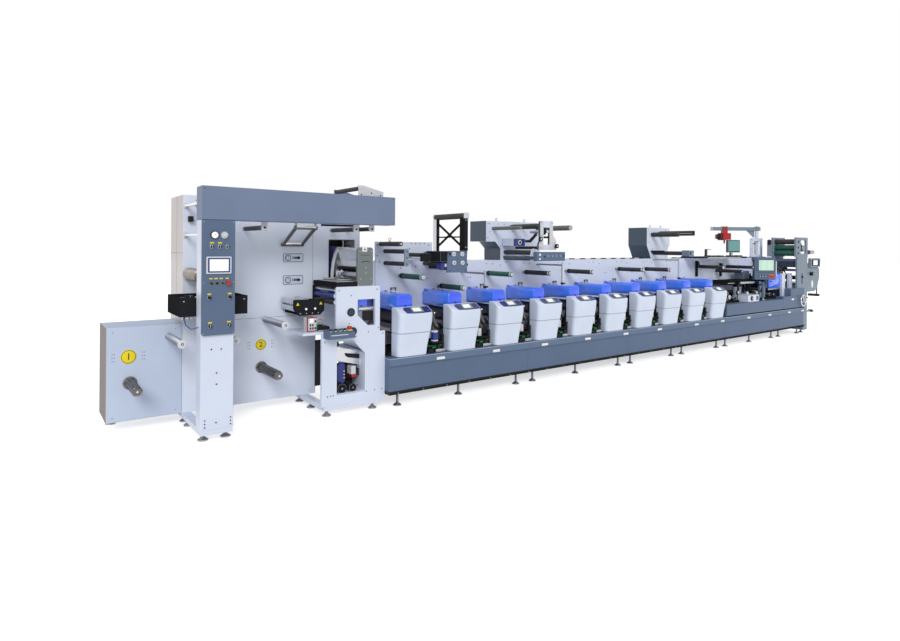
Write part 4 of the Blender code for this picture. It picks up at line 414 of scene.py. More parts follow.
class Form:
    """Points and faces of one piece, gathered shape by shape, each measured from the zero."""

    def __init__(self, zero=0.0):
        self.zero = zero
        self.points = []
        self.loops = []
        self.sizes = []
        self.count = 0

    def add(self, points, *faces):
        """Points with face arrays whose rows are point numbers."""
        for rows in faces:
            rows = np.atleast_2d(rows)
            self.loops.append(rows.ravel() + self.count)
            self.sizes.append(np.full(len(rows), rows.shape[1]))
        self.points.append(points + self.zero)
        self.count += len(points)

    def rings(self, grid, caps=True):
        """Closed rings one after another: grid[i, j] is point j of ring i, anticlockwise about their run."""
        rows, sides = grid.shape[:2]
        number = np.arange(rows * sides).reshape(rows, sides)
        beside = np.roll(number, -1, axis=1)
        quads = np.stack((number[:-1], beside[:-1], beside[1:], number[1:]), -1).reshape(-1, 4)
        ends = (number[0][::-1], number[-1]) if caps else ()
        self.add(grid.reshape(-1, 3), quads, *ends)

    def turned(self, axis, place, profile, sides=24):
        """Turned shape of (distance t, radius r) pairs: place + t*axis + r*(cos a, sin a) across it."""
        along, radius = np.array(profile, float).T
        run, first, second = AXES[axis]
        angle = np.linspace(0.0, 2 * np.pi, sides, endpoint=False)
        across = np.cos(angle)[:, None] * first + np.sin(angle)[:, None] * second
        grid = np.array(place, float) + along[:, None, None] * run + radius[:, None, None] * across
        self.rings(grid)

    def bar(self, axis, place, start, end, radius, edge=0.0015, sides=20):
        """Round bar between two distances along an axis, its ends broken by a small edge."""
        edge = min(edge, radius / 3, (end - start) / 3)
        self.turned(axis, place, ((start, radius - edge), (start + edge, radius), (end - edge, radius),
            (end, radius - edge)), sides)

    def block(self, x0, x1, y0, y1, z0, z1, edge=0.0015):
        """Block with broken edges: a chamfered square carried up through four levels."""
        edge = min(edge, (x1 - x0) / 3, (y1 - y0) / 3, (z1 - z0) / 3)
        rings = []
        for level, inset in ((z0, edge), (z0 + edge, 0.0), (z1 - edge, 0.0), (z1, edge)):
            a0, a1, b0, b1 = x0 + inset, x1 - inset, y0 + inset, y1 - inset
            rings.append((
                (a0 + edge, b0, level), (a1 - edge, b0, level), (a1, b0 + edge, level), (a1, b1 - edge, level),
                (a1 - edge, b1, level), (a0 + edge, b1, level), (a0, b1 - edge, level), (a0, b0 + edge, level),
            ))
        self.rings(np.array(rings, float))

    def slab(self, plane, outline, start, end, edge=0.0015):
        """Flat outline given a thickness: at both faces a ring is pulled in, which breaks the rim."""
        flat = np.array(outline, float)
        turn = np.roll(flat, -1, axis=0)
        area = np.sum(flat[:, 0] * turn[:, 1] - turn[:, 0] * flat[:, 1])
        if area < 0:
            flat = flat[::-1]
        before = np.roll(flat, 1, axis=0)
        after = np.roll(flat, -1, axis=0)
        along_in = (flat - before) / np.linalg.norm(flat - before, axis=1)[:, None]
        along_out = (after - flat) / np.linalg.norm(after - flat, axis=1)[:, None]
        inward = np.stack((-(along_in + along_out)[:, 1], (along_in + along_out)[:, 0]), -1)
        length = np.maximum(np.linalg.norm(inward, axis=1), 1e-6)[:, None]
        cosine = np.maximum(length / 2, 0.5)
        inward = inward / length / cosine
        edge = min(edge, (end - start) / 3)
        levels = ((start, edge), (start + edge, 0.0), (end - edge, 0.0), (end, edge))
        rings = []
        for level, inset in levels:
            shape = flat + inward * inset
            column = np.full(len(shape), level)
            if plane == "XZ":
                rings.append(np.stack((shape[:, 0], -column, shape[:, 1]), -1))
            elif plane == "YZ":
                rings.append(np.stack((column, shape[:, 0], shape[:, 1]), -1))
            else:
                rings.append(np.stack((shape[:, 0], shape[:, 1], column), -1))
        self.rings(np.array(rings))

    def face_plate(self, outline, front, back, edge=0.0015):
        """Plate in the XZ plane between two Y values."""
        self.slab("XZ", outline, -back, -front, edge)

    def round_plate(self, sizes, front, back, edge=0.0015):
        """Plate with round corners, its outline given by the values of rounded."""
        self.face_plate(rounded(*sizes), front, back, edge)

    def tube(self, path, radius, sides=12):
        """Round section carried along a path; at each point it stands square to the path's run."""
        path = np.array(path, float)
        run = np.gradient(path, axis=0)
        run /= np.linalg.norm(run, axis=1)[:, None]
        helper = np.array((0.0, 0.0, 1.0)) if np.abs(run[:, 2]).max() < 0.9 else np.array((0.31, 0.95, 0.05))
        first = np.cross(helper, run)
        first /= np.linalg.norm(first, axis=1)[:, None]
        second = np.cross(run, first)
        angle = np.linspace(0.0, 2 * np.pi, sides, endpoint=False)
        across = np.cos(angle)[None, :, None] * first[:, None] + np.sin(angle)[None, :, None] * second[:,
            None]
        self.rings(path[:, None] + radius * across)

    def hoop(self, axis, place, radius, section, steps=48, sides=12):
        """Ring about an axis: place + (R + r*cos b)*(cos a, sin a) across the axis + r*sin b along it."""
        run, first, second = AXES[axis]
        a = np.linspace(0.0, 2 * np.pi, steps, endpoint=False)[:, None, None]
        b = np.linspace(0.0, 2 * np.pi, sides, endpoint=False)[None, :, None]
        across = np.cos(a) * first + np.sin(a) * second
        grid = np.array(place, float) + (radius + section * np.cos(b)) * across + section * np.sin(b) * run
        number = np.arange(steps * sides).reshape(steps, sides)
        ahead = np.roll(number, -1, axis=0)
        quads = np.stack((number, ahead, np.roll(ahead, -1, axis=1), np.roll(number, -1, axis=1)),
            -1).reshape(-1, 4)
        self.add(grid.reshape(-1, 3), quads)

    def bolt(self, axis, place, radius, height):
        """Cap-head screw: a turned head with a round socket sunk in it; axis is a sign and a letter."""
        sign = -1.0 if axis[0] == "-" else 1.0
        run, first, second = AXES[axis[1]]
        first, second = (first, second) if sign > 0 else (second, first)
        profile = ((-0.2, 1.0), (0.85, 1.0), (1.0, 0.85), (1.0, 0.5), (0.45, 0.45))
        angle = np.linspace(0.0, 2 * np.pi, 12, endpoint=False)
        across = np.cos(angle)[:, None] * first + np.sin(angle)[:, None] * second
        shape = np.array(profile)
        grid = np.array(place, float) + sign * height * shape[:, :1, None] * run + radius * shape[:, 1:,
            None] * across
        self.rings(grid)

    def piece(self, name, look, body="press", slot=None, sharp=35.0, replaces=()):
        """Make the object, smooth its round faces, and hang it on its body."""
        mesh = bpy.data.meshes.new(name)
        points = np.concatenate(self.points) + ORIGIN
        loops = np.concatenate(self.loops).astype(np.int32)
        sizes = np.concatenate(self.sizes).astype(np.int32)
        mesh.vertices.add(len(points))
        mesh.vertices.foreach_set("co", points.ravel())
        mesh.loops.add(len(loops))
        mesh.loops.foreach_set("vertex_index", loops)
        mesh.polygons.add(len(sizes))
        mesh.polygons.foreach_set("loop_start",
            np.concatenate(((0,), np.cumsum(sizes)[:-1])).astype(np.int32))
        mesh.update(calc_edges=True)
        mesh.validate()
        mesh.shade_smooth()
        mesh.set_sharp_from_angle(angle=math.radians(sharp))
        mesh.materials.append(LOOKS[look])
        made = bpy.data.objects.new(name, mesh)
        bpy.context.scene.collection.objects.link(made)
        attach(made, body)
        slot or SLOT_OF[look]
        if replaces:
            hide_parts(*replaces)
        return made


SLOT_OF = {"slate": "slate_paint", "pale slate": "slate_paint", "deep slate": "slate_paint",
    "white": "white_paint", "grey": "grey_paint", "plate grey": "grey_paint", "black": "black_paint",
    "soft black": "black_paint", "navy": "slate_paint", "yellow": "white_paint", "label": "white_paint",
    "red": "hoist_red", "green": "green_rubber", "blue": "slate_paint", "orange": "hoist_red",
    "bezel": "grey_paint", "steel": "steel", "roller steel": "steel", "dull steel": "steel",
    "chrome": "steel", "alloy": "steel", "dark steel": "steel", "side steel": "steel", "warm steel": "steel",
    "black rubber": "black_rubber", "grey rubber": "black_rubber", "green rubber": "green_rubber",
    "blue rubber": "black_rubber", "cover": "cover_plastic", "cap": "cover_plastic", "lever": "grey_paint",
    "hood": "guard_acrylic", "screen": "white_paint", "green screen": "white_paint",
    "teal screen": "slate_paint",}


class Kit:
    """One form for each finish of a group of small parts, made into pieces together."""

    def __init__(self, title, body="press"):
        self.title = title
        self.body = body
        self.forms = {}
        self.zero = np.zeros(3)

    def __getitem__(self, look):
        return self.forms.setdefault(look, Form(self.zero))

    def start_at(self, x=0.0, y=0.0, z=0.0):
        """Measure the shapes that follow from this place."""
        self.zero[:] = x, y, z

    def make(self):
        """Turn each finish's form into one piece named for the group and the finish."""
        for look, form in self.forms.items():
            form.piece(f"{self.title}_{look}".replace(" ", "_"), look, self.body)


def rounded(x0, x1, z0, z1, radius, steps=5):
    """Rectangle with round corners, anticlockwise: quarter circles about the four inner corners."""
    quarter = np.linspace(0.0, np.pi / 2, steps + 1)
    points = []
    for cx, cz, start in ((x1 - radius, z1 - radius, 0.0), (x0 + radius, z1 - radius, np.pi / 2),
            (x0 + radius, z0 + radius, np.pi), (x1 - radius, z0 + radius, 1.5 * np.pi)):
        points += [(cx + radius * math.cos(a + start), cz + radius * math.sin(a + start)) for a in quarter]
    return points


# Rewinder and front frame

FOOT_PLACES = (
    (0.08, 1.02, 0.1), (0.674, 1.07, 0.1), (1.785, 1.07, 0.1), (0.6345, 0.08, 0.055), (0.815, 0.08, 0.055),
    (0.6345, 0.57, 0.055), (0.6345, 0.73, 0.055), (1.7545, 0.1375, 0.055), (2.242, 0.1375, 0.055),
    (1.7545, 0.5, 0.055), (1.7545, 0.7875, 0.055),
)
BED_FOOT_X = (0.135, 0.908, 1.758, 2.028, 2.788, 3.648, 3.918, 4.903, 5.173, 6.163, 6.433, 7.218, 8.018,
    8.288, 9.0427)


def levelling_feet():
    """Cone pad, lock nut and threaded stem under every carrier."""
    places = list(FOOT_PLACES)
    places += [(BED_X + x, y, low("bed")[2] + 0.13) for x in BED_FOOT_X for y in (0.08, 1.07)]
    end = BED_END + 0.08
    places += [(end, 0.1, 0.06), (end, 0.87, 0.06)]
    form = Form()
    ridge = 0.0118
    for x, y, top in places:
        pad = [(0.0, 0.0425), (0.005, 0.044), (0.01, 0.0425), (0.026, 0.0195), (0.031, 0.017), (0.034, 0.013)]
        turns = np.linspace(0.034, top + 0.001, max(3, int((top - 0.034) / 0.002)) * 2)
        pad += [(t, ridge + (0.001 if i % 2 else 0.0)) for i, t in enumerate(turns)]
        form.turned("Z", (x, y, 0.0), pad, 20)
        if top > 0.08:
            form.turned("Z", (x, y, top - 0.016), ((0.0, 0.018), (0.002, 0.02), (0.0125, 0.02),
                (0.0145, 0.018)), 6)
    form.piece("levelling_feet", "dull steel")


def numeral_disc(kit, text, x, z, radius):
    """Yellow disc with a dark ring and a plain numeral, on the panel's face."""
    kit["yellow"].turned("Y", (x, PANEL_Y, z), ((-0.003, radius - 0.002), (-0.002, radius),
        (-0.0002, radius)), 48)
    kit["soft black"].turned("Y", (x, PANEL_Y, z), ((-0.0034, radius * 0.92), (-0.0031, radius * 0.93),
        (-0.002, radius * 0.93)), 48)
    kit["yellow"].turned("Y", (x, PANEL_Y, z), ((-0.004, radius * 0.85), (-0.0038, radius * 0.86),
        (-0.0022, radius * 0.86)), 48)
    curve = bpy.data.curves.new("numeral", "FONT")
    curve.body = text
    curve.size = radius * 1.35
    curve.extrude = 0.0008
    curve.align_x = "CENTER"
    curve.align_y = "CENTER"
    holder = bpy.data.objects.new("numeral", curve)
    bpy.context.scene.collection.objects.link(holder)
    bpy.context.view_layer.update()
    mesh = bpy.data.meshes.new_from_object(holder.evaluated_get(bpy.context.evaluated_depsgraph_get()))
    bpy.data.objects.remove(holder)
    count = len(mesh.vertices)
    flat = np.empty(count * 3)
    mesh.vertices.foreach_get("co", flat)
    flat = flat.reshape(-1, 3)
    place = np.stack((flat[:, 0] + x, PANEL_Y - 0.0042 - flat[:, 2], flat[:, 1] + z), -1) + ORIGIN
    mesh.vertices.foreach_set("co", place.ravel())
    mesh.update()
    mesh.materials.clear()
    mesh.materials.append(LOOKS["soft black"])
    made = bpy.data.objects.new("numeral_" + text, mesh)
    bpy.context.scene.collection.objects.link(made)
    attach(made, "press")


def dial_plate(kit, x0, x1, z0, z1):
    """Outlined plate with a round tension dial at its left and a slider with a knob at its right."""
    y = PANEL_Y
    kit["slate"].round_plate((x0, x1, z0, z1, 0.012), y - 0.003, y - 0.0003)
    kit["white"].round_plate((x0 + 0.006, x1 - 0.006, z0 + 0.006, z1 - 0.006, 0.008), y - 0.0042, y - 0.0028)
    middle = (z0 + z1) / 2
    dial = x0 + 0.05
    kit["slate"].turned("Y", (dial, y, middle), ((-0.01, 0.029), (-0.011, 0.031), (-0.003, 0.031)), 32)
    kit["cap"].turned("Y", (dial, y, middle), ((-0.012, 0.023), (-0.0095, 0.024)), 32)
    kit["soft black"].block(dial - 0.0015, dial + 0.0015, y - 0.0135, y - 0.0115, middle, middle + 0.018,
        0.0003)
    kit["slate"].block(x0 + 0.108, x1 - 0.04, y - 0.005, y - 0.0035, middle - 0.012, middle + 0.012)
    kit["soft black"].bar("Y", (x1 - 0.052, y, middle), -0.022, -0.003, 0.013)
    kit["soft black"].block(x0 + 0.098, x0 + 0.104, y - 0.0052, y - 0.0035, middle - 0.016, middle + 0.016,
        0.0005)


def rim_strips(x0, x1, z0, z1, rim):
    """Left, right, lower and upper strip round an opening, as X and Z limits."""
    return ((x0 - rim, x0, z0 - rim, z1 + rim), (x1, x1 + rim, z0 - rim, z1 + rim),
            (x0, x1, z0 - rim, z0), (x0, x1, z1, z1 + rim))


def screw_rows(form, places, radius=0.0055, height=0.003):
    """Small screws or holes on surfaces that face the operator, as (X, Y of the face, Z)."""
    for x, y, z in places:
        form.bolt("-Y", (x, y, z), radius, height)


def shaft_piece(name, look):
    """Air shaft: grooved barrel with a tapered end, a flange with screws at its root and an air valve."""
    lo, hi = low(name), high(name)
    x, z = (lo[0] + hi[0]) / 2, (lo[2] + hi[2]) / 2
    form = Form()
    start, root = lo[1], hi[1]
    length = root - start
    angle = np.linspace(0.0, 2 * np.pi, 96, endpoint=False)
    groove = np.where((angle * 6 / (2 * np.pi)) % 1.0 < 0.16, 0.005, 0.0)
    levels = ((0.01, 0.03, 0.0), (0.016, 0.038, 0.6), (0.02, 0.0388, 1.0), (length - 0.016, 0.0388, 1.0))
    rings = []
    for along, radius, depth in levels:
        reach = radius - groove * depth
        rings.append(np.stack((x + reach * np.sin(angle), np.full(96, start + along),
            z + reach * np.cos(angle)), -1))
    form.rings(np.array(rings))
    form.turned("Y", (x, start, z), ((-0.0005, 0.02), (0.0, 0.0268), (0.014, 0.0268), (0.014, 0.031)), 32)
    form.turned("Y", (x, root, z), ((-0.0135, 0.052), (-0.012, 0.0552), (0.0, 0.0552)), 48)
    form.piece(name + "_shaft", look, name, replaces=(name,))
    detail = Kit(name + "_trim", name)
    for k in range(6):
        turn = math.pi * (k / 3 + 1 / 6)
        detail["soft black"].bolt("-Y", (x + 0.0455 * math.sin(turn), root - 0.0135,
            z + 0.0455 * math.cos(turn)), 0.0042, 0.004)
        bar = 0.0398
        detail["black rubber"].tube([(x + bar * math.sin(turn), start + 0.03, z + bar * math.cos(turn)),
            (x + bar * math.sin(turn), start + length / 2, z + bar * math.cos(turn)),
            (x + bar * math.sin(turn), root - 0.03, z + bar * math.cos(turn))], 0.0032, 8)
    detail["chrome"].bar("Y", (x, start, z), -0.0015, 0.002, 0.008)
    detail.make()


def roller_piece(name, look, cap, cap_radius=None, ring=None):
    """Idler roller: barrel with broken ends, bearing cap with a dark centre, and its pin into the panel."""
    lo, hi = low(name), high(name)
    x, z = (lo[0] + hi[0]) / 2, (lo[2] + hi[2]) / 2
    big = max(hi[0] - lo[0], hi[2] - lo[2]) / 2
    barrel = big if cap_radius is None else big - 0.0045
    start, root = lo[1], hi[1]
    form = Form()
    form.turned("Y", (x, start, z), ((0.0115, barrel - 0.003), (0.0135, barrel), (root - start - 0.047,
        barrel), (root - start - 0.045, barrel - 0.003)), 40)
    form.piece(name + "_barrel", look, name, replaces=(name,))
    detail = Kit(name + "_trim", name)
    cap_r = cap_radius or barrel * 0.72
    detail[cap].turned("Y", (x, start, z), ((0.0, cap_r - 0.003), (0.002, cap_r), (0.011, cap_r),
        (0.012, cap_r * 0.9)), 32)
    detail["soft black"].turned("Y", (x, start, z), ((-0.0002, cap_r * 0.3), (0.003, cap_r * 0.34)), 20)
    detail["chrome"].turned("Y", (x, start, z), ((-0.0004, cap_r * 0.12), (0.002, cap_r * 0.12)), 12)
    if ring:
        detail[ring].turned("Y", (x, start, z), ((0.016, barrel + 0.0005), (0.018, barrel + 0.0012),
            (0.03, barrel + 0.0012), (0.032, barrel + 0.0005)), 40)
        detail["soft black"].turned("Y", (x, root, z), ((-0.095, barrel + 0.0002), (-0.093, barrel + 0.001),
            (-0.05, barrel + 0.001), (-0.048, barrel + 0.0002)), 40)
    detail["dull steel"].bar("Y", (x, root, z), -0.047, 0.0, barrel * 0.52)
    detail["dull steel"].turned("Y", (x, root, z), ((-0.008, barrel * 0.62), (-0.006, barrel * 0.75),
        (0.0, barrel * 0.75)), 24)
    detail.make()


def rewinder_detail():
    """Number discs, dial plates, screws, seams, window lining, shafts and rollers of the rewinder."""
    kit = Kit("rewinder")
    numeral_disc(kit, "1", 0.169, 0.646, 0.06)
    numeral_disc(kit, "2", 1.301, 0.646, 0.052)
    dial_plate(kit, 1.516, 1.725, 1.44, 1.526)
    dial_plate(kit, 1.516, 1.725, 1.218, 1.308)
    dots = []
    for disc_x in (0.169, 1.301):
        for side in (-0.115, 0.115):
            dots += [(disc_x + side + dx, PANEL_Y, 0.646 + dz) for dx in (-0.008, 0.008)
                for dz in (-0.03, 0.0, 0.03)]
    dots += [(x, PANEL_Y, z) for x, z in ((0.05, 0.86), (0.54, 0.86), (0.05, 0.14), (0.54, 0.14),
        (0.98, 0.14), (1.8, 0.14), (1.9, 0.95), (1.9, 1.98), (2.3, 1.98), (2.3, 0.95), (0.9, 1.98),
        (1.78, 1.98))]
    screw_rows(kit["soft black"], dots, 0.0035, 0.0015)
    seam = 0.0012
    kit["deep slate"].block(1.828 - seam, 1.828 + seam, PANEL_Y - 0.0007, PANEL_Y + 0.002, 0.905, 2.05,
        0.0002)
    kit["deep slate"].block(0.86, 1.864, PANEL_Y - 0.0007, PANEL_Y + 0.002, 0.905 - seam, 0.905 + seam,
        0.0002)
    side = low("rewinder_cabinet")[0]
    kit["deep slate"].block(side - 0.0007, side + 0.002, 0.66, 1.145, 1.531 - seam, 1.531 + seam, 0.0002)
    kit["deep slate"].block(side - 0.0007, side + 0.002, 0.9 - seam, 0.9 + seam, 0.905, 2.05, 0.0002)
    kit["soft black"].block(2.0085, 2.2925, PANEL_Y + 0.215, PANEL_Y + 0.2195, 1.0205, 1.6645, 0.0005)
    for x in (2.06, 2.24):
        kit["dull steel"].bar("Z", (x, PANEL_Y + 0.15, 0.0), 1.021, 1.664, 0.012)
    kit["navy"].block(2.075, 2.225, PANEL_Y + 0.16, PANEL_Y + 0.2, 1.3, 1.6)
    kit["dark steel"].bar("Y", (2.15, 0.0, 1.22), PANEL_Y + 0.02, PANEL_Y + 0.214, 0.05)
    kit["white"].block(1.868, 2.288, PANEL_Y + 0.002, PANEL_Y + 0.04, 0.735, 0.9045)
    rim = 0.006
    for x0, x1, z0, z1 in rim_strips(2.008, 2.293, 1.02, 1.665, rim):
        kit["black"].block(x0, x1, PANEL_Y - 0.002, PANEL_Y - 0.0002, z0, z1, 0.0005)
    for z, radius in ((1.957, 0.015), (1.693, 0.012)):
        kit["chrome"].bar("Y", (0.614, 0.0, z), 0.16, NEAR_PANEL, radius)
        kit["cap"].block(0.598, 0.634, 0.63, NEAR_PANEL, z - 0.022, z + 0.022)
    kit["soft black"].block(0.632, 0.672, 0.6, NEAR_PANEL, 1.812, 1.862, 0.003)
    kit.make()
    shaft_piece("winding_shaft_1", "dark steel")
    shaft_piece("winding_shaft_2", "dark steel")
    for name in ("steel_roller_1", "steel_roller_2", "steel_roller_3"):
        roller_piece(name, "roller steel", "cap", 0.0355)
    roller_piece("chill_roller", "warm steel", "dull steel")


def fascia_detail():
    """Instruments of the column's fascia: gauge, regulator, selectors, screen, buttons, stop and knobs."""
    kit = Kit("fascia")
    y = FASCIA_Y

    def cap_of(x, z, radius, depth, look, sides=28):
        kit[look].turned("Y", (x, y, z), ((-depth - SKIN, radius - 0.002), (-depth + 0.0015, radius + SKIN),
            (-0.0002, radius + SKIN)), sides)

    cap_of(0.691, 1.686, 0.032, 0.012, "soft black", 40)
    # The gauge face takes the display finish; its faint glow is painted light.
    kit["screen"].turned("Y", (0.691, y, 1.686), ((-0.0135, 0.0255), (-0.0125, 0.0265), (-0.011, 0.0265)), 40)
    kit["soft black"].slab("XZ", ((0.69, 1.684), (0.6935, 1.686), (0.704, 1.702), (0.69, 1.69)), -y + 0.0136,
        -y + 0.0146, 0.0002)
    for k in range(11):
        turn = math.radians(-135 + 27 * k)
        px, pz = 0.691 + 0.0215 * math.sin(turn), 1.686 + 0.0215 * math.cos(turn)
        kit["soft black"].block(px - 0.0011, px + 0.0011, y - 0.0143, y - 0.0133, pz - 0.0011, pz + 0.0011,
            0.0002)
    cap_of(0.767, 1.686, 0.026, 0.02, "cap", 40)
    kit["cap"].turned("Y", (0.767, y, 1.686), ((-0.036, 0.011), (-0.034, 0.014), (-0.02, 0.016)), 24)
    kit["dull steel"].turned("Y", (0.767, y, 1.686), ((-0.0045, 0.0285), (-0.003, 0.03), (-0.0002, 0.03)), 40)
    for x in (0.67, 0.733, 0.794):
        cap_of(x, 1.592, 0.013, 0.016, "soft black")
        kit["label"].block(x - 0.0015, x + 0.0015, y - 0.0182, y - 0.016, 1.592 - 0.009, 1.592 + 0.01, 0.0003)
        kit["dull steel"].turned("Y", (x, y, 1.592), ((-0.0035, 0.0155), (-0.0025, 0.017), (-0.0002, 0.017)),
            28)
    for x in (0.67, 0.733):
        kit["yellow"].round_plate((x - 0.016, x + 0.016, 1.617, 1.628, 0.002), y - 0.0014, y - 0.0002, 0.0003)
    kit["cap"].round_plate((0.6255, 0.8235, 1.3695, 1.5105, 0.006), y - 0.0125, y - 0.0002)
    kit["navy"].round_plate((0.6375, 0.8115, 1.381, 1.499, 0.004), y - 0.014, y - 0.0122, 0.0004)
    kit["screen"].round_plate((0.65, 0.799, 1.392, 1.488, 0.002), y - 0.015, y - 0.0138, 0.0003)
    for x, look in ((0.668, "soft black"), (0.711, "soft black"), (0.754, "green")):
        kit["dull steel"].turned("Y", (x, y, 1.292), ((-0.005, 0.0155), (-0.0035, 0.0165), (-0.0002, 0.0165)),
            28)
        cap_of(x, 1.292, 0.013, 0.01, look)
    kit["soft black"].turned("Y", (0.754, y, 1.292), ((-0.0115, 0.006), (-0.01, 0.007)), 20)
    kit["dull steel"].turned("Y", (0.8, y, 1.292), ((-0.003, 0.0215), (-0.0002, 0.0225)), 40)
    kit["red"].turned("Y", (0.8, y, 1.292), ((-0.0265, 0.014), (-0.0262, 0.0185), (-0.021, 0.0206),
        (-0.011, 0.0206), (-0.009, 0.014), (-0.0002, 0.013)), 36)
    for x in (0.664, 0.704, 0.744, 0.792):
        kit["yellow"].round_plate((x - 0.013, x + 0.013, 1.326, 1.336, 0.002), y - 0.0014, y - 0.0002, 0.0003)
    for x, z in ((0.652, 1.178), (0.813, 1.178), (0.659, 0.946), (0.808, 0.946)):
        cap_of(x, z, 0.014, 0.018, "soft black")
        kit["dull steel"].turned("Y", (x, y, z), ((-0.004, 0.0165), (-0.003, 0.0178), (-0.0002, 0.0178)), 28)
        kit["yellow"].round_plate((x - 0.015, x + 0.015, z + 0.022, z + 0.033, 0.002), y - 0.0014, y - 0.0002,
            0.0003)
    for x, z in ((0.659, 0.946), (0.808, 0.946)):
        kit["label"].block(x - 0.0015, x + 0.0015, y - 0.0205, y - 0.018, z - 0.009, z + 0.01, 0.0003)
    screw_rows(kit["dull steel"], [(x, y, z) for x in (0.607, 0.842) for z in (0.885, 1.3, 1.795)], 0.004,
        0.0022)
    screw_rows(kit["soft black"], [(x, 0.0, z) for x, z in ((0.677, 0.753), (0.754, 0.75), (0.718, 0.557),
        (0.718, 0.465), (0.717, 0.15))], 0.006, 0.0035)
    screw_rows(kit["soft black"], [(x, 0.0, z) for x in (0.628, 0.832) for z in (0.178, 0.15, 0.122)], 0.0055,
        0.0035)
    kit.make()


def beam_detail():
    """Web rollers over and under the beam, their white brackets and the polished turning frame."""
    kit = Kit("beam")
    left = low("overhead_beam")[0]
    kit.start_at(left)
    bottom, top = 1.81, 2.085
    for x, z in ((1.489, 0.081), (1.709, 0.032)):
        kit["black rubber"].bar("Y", (x, 0.0, top + z), 0.103, 0.635, 0.0212)
        kit["cap"].bar("Y", (x, 0.0, top + z), 0.084, 0.092, 0.012)
    for x, z in ((0.547, -0.05), (1.439, -0.045), (1.609, -0.037)):
        kit["black rubber"].bar("Y", (x, 0.0, bottom + z), 0.13, 0.612, 0.0212)
        kit["dull steel"].bar("Y", (x, 0.0, bottom + z), 0.1035, 0.649, 0.0206)
        kit["cap"].block(x - 0.026, x + 0.026, 0.0855, 0.1035, bottom + z - 0.026, bottom + 0.0005)
        kit["soft black"].bolt("-Y", (x, 0.0855, bottom + z), 0.009, 0.004)
    kit["cap"].face_plate(((1.463, top), (1.735, top), (1.735, top + 0.058), (1.515, top + 0.108),
        (1.463, top + 0.108)), 0.087, 0.1035)
    screw_rows(kit["soft black"], [(1.49, 0.0865, top + 0.02), (1.7, 0.0865, top + 0.02),
        (1.6, 0.0865, top + 0.04)], 0.006, 0.004)
    x0, x1 = 0.918, 1.111
    for y, z in ((PANEL_Y - 0.02, 1.615), (0.3, 1.775)):
        kit["dark steel"].bar("X", (0.0, y, z), x0 - 0.018, x1 + 0.018, 0.0185)
        kit["chrome"].bar("X", (0.0, y - 0.012, z + 0.01), x0, x1, 0.0105)
    for x in (x0, x1):
        kit["dark steel"].tube([(x, PANEL_Y - 0.02, 1.615), (x, 0.465, 1.695), (x, 0.3, 1.775)], 0.0175, 20)
        kit["chrome"].tube([(x - 0.008, PANEL_Y - 0.03, 1.624), (x - 0.008, 0.465, 1.704),
            (x - 0.008, 0.3, 1.784)], 0.011, 16)
        kit["dull steel"].bar("Z", (x, 0.3, 0.0), 1.785, 1.952, 0.0105)
    kit.start_at()
    kit["black"].bar("X", (0.0, 0.165, 1.8), 1.7, 2.04, 0.009)
    kit["deep slate"].block(0.5935, 0.855, -0.0226, -0.0218, 1.809, 1.8105, 0.0002)
    end = high("overhead_beam")[0]
    screw_rows(kit["deep slate"], [(end - 0.02, -0.022, 1.83), (end - 0.02, -0.022, 2.065),
        (left + 0.02, -0.022, 2.065)], 0.004, 0.002)
    kit.make()


def cross_knives():
    """Slitting tray: three chromed shafts, circular knives on black hubs, and small clamp blocks."""
    kit = Kit("slitting")
    left, right = low("slitting_tray")[0], high("slitting_tray")[0]
    top = high("slitting_tray")[2]
    for y in (0.28, 0.4, 0.52):
        kit["chrome"].bar("X", (0.0, y, top - 0.034), left + 0.02, right - 0.02, 0.0128)
    for x in (0.128, 0.248, 0.368, 0.468):
        kit["chrome"].bar("X", (0.0, 0.4, top - 0.034), left + x - 0.0006, left + x + 0.0206, 0.0346, 0.0012,
            40)
        kit["soft black"].bar("X", (0.0, 0.4, top - 0.034), left + x - 0.018, left + x + 0.038, 0.023)
        for y in (0.28, 0.52):
            kit["soft black"].block(left + x - 0.014, left + x + 0.034, y - 0.02, y + 0.02, top - 0.062,
                top - 0.01)
    screw_rows(kit["dull steel"], [(left + x, low("slitting_tray")[1], top - 0.03) for x in (0.03, 0.18, 0.36,
        0.518)], 0.006, 0.004)
    for path in (((0.512, 0.2, 1.01), (0.505, 0.17, 0.985), (0.512, 0.14, 0.945), (0.545, 0.1, 0.915),
            (0.58, 0.085, 0.925), (0.592, 0.075, 0.93)), ((0.862, 0.06, 1.0), (0.875, 0.08, 1.0),
            (0.89, 0.11, 1.015), (0.905, 0.15, 1.04), (0.905, 0.19, 1.06))):
        kit["blue"].tube(path, 0.0042, 10)
    for x in (0.5, 0.54, 0.88):
        kit["dull steel"].bar("Z", (x, 0.2, 0.0), 0.985, 1.06, 0.012)
        kit["cap"].block(x + 0.016, x + 0.036, 0.19, 0.23, 0.99, 1.058)
    kit.make()
    nip = Kit("nip")
    left, near, base = low("nip_unit")
    nip.start_at(left, 0.0, base)
    for x, z, radius in ((0.035, 0.123, 0.026), (0.035, 0.065, 0.028), (0.175, 0.127, 0.03)):
        nip["steel"].bar("Y", (x, 0.0, z), 0.2915, 0.6165, radius + SKIN, 0.002, 40)
    for x in (0.115, 0.205):
        nip["chrome"].bolt("-Y", (x, near, 0.062), 0.012, 0.01)
    for x in (0.035, 0.265):
        nip["yellow"].face_plate(((x - 0.016, 0.098), (x + 0.016, 0.098), (x, 0.126)), near - 0.0014,
            near - 0.0002, 0.0003)
    screw_rows(nip["dull steel"], [(x, near, 0.02) for x in (0.06, 0.12, 0.18, 0.24)], 0.006, 0.004)
    nip.make()


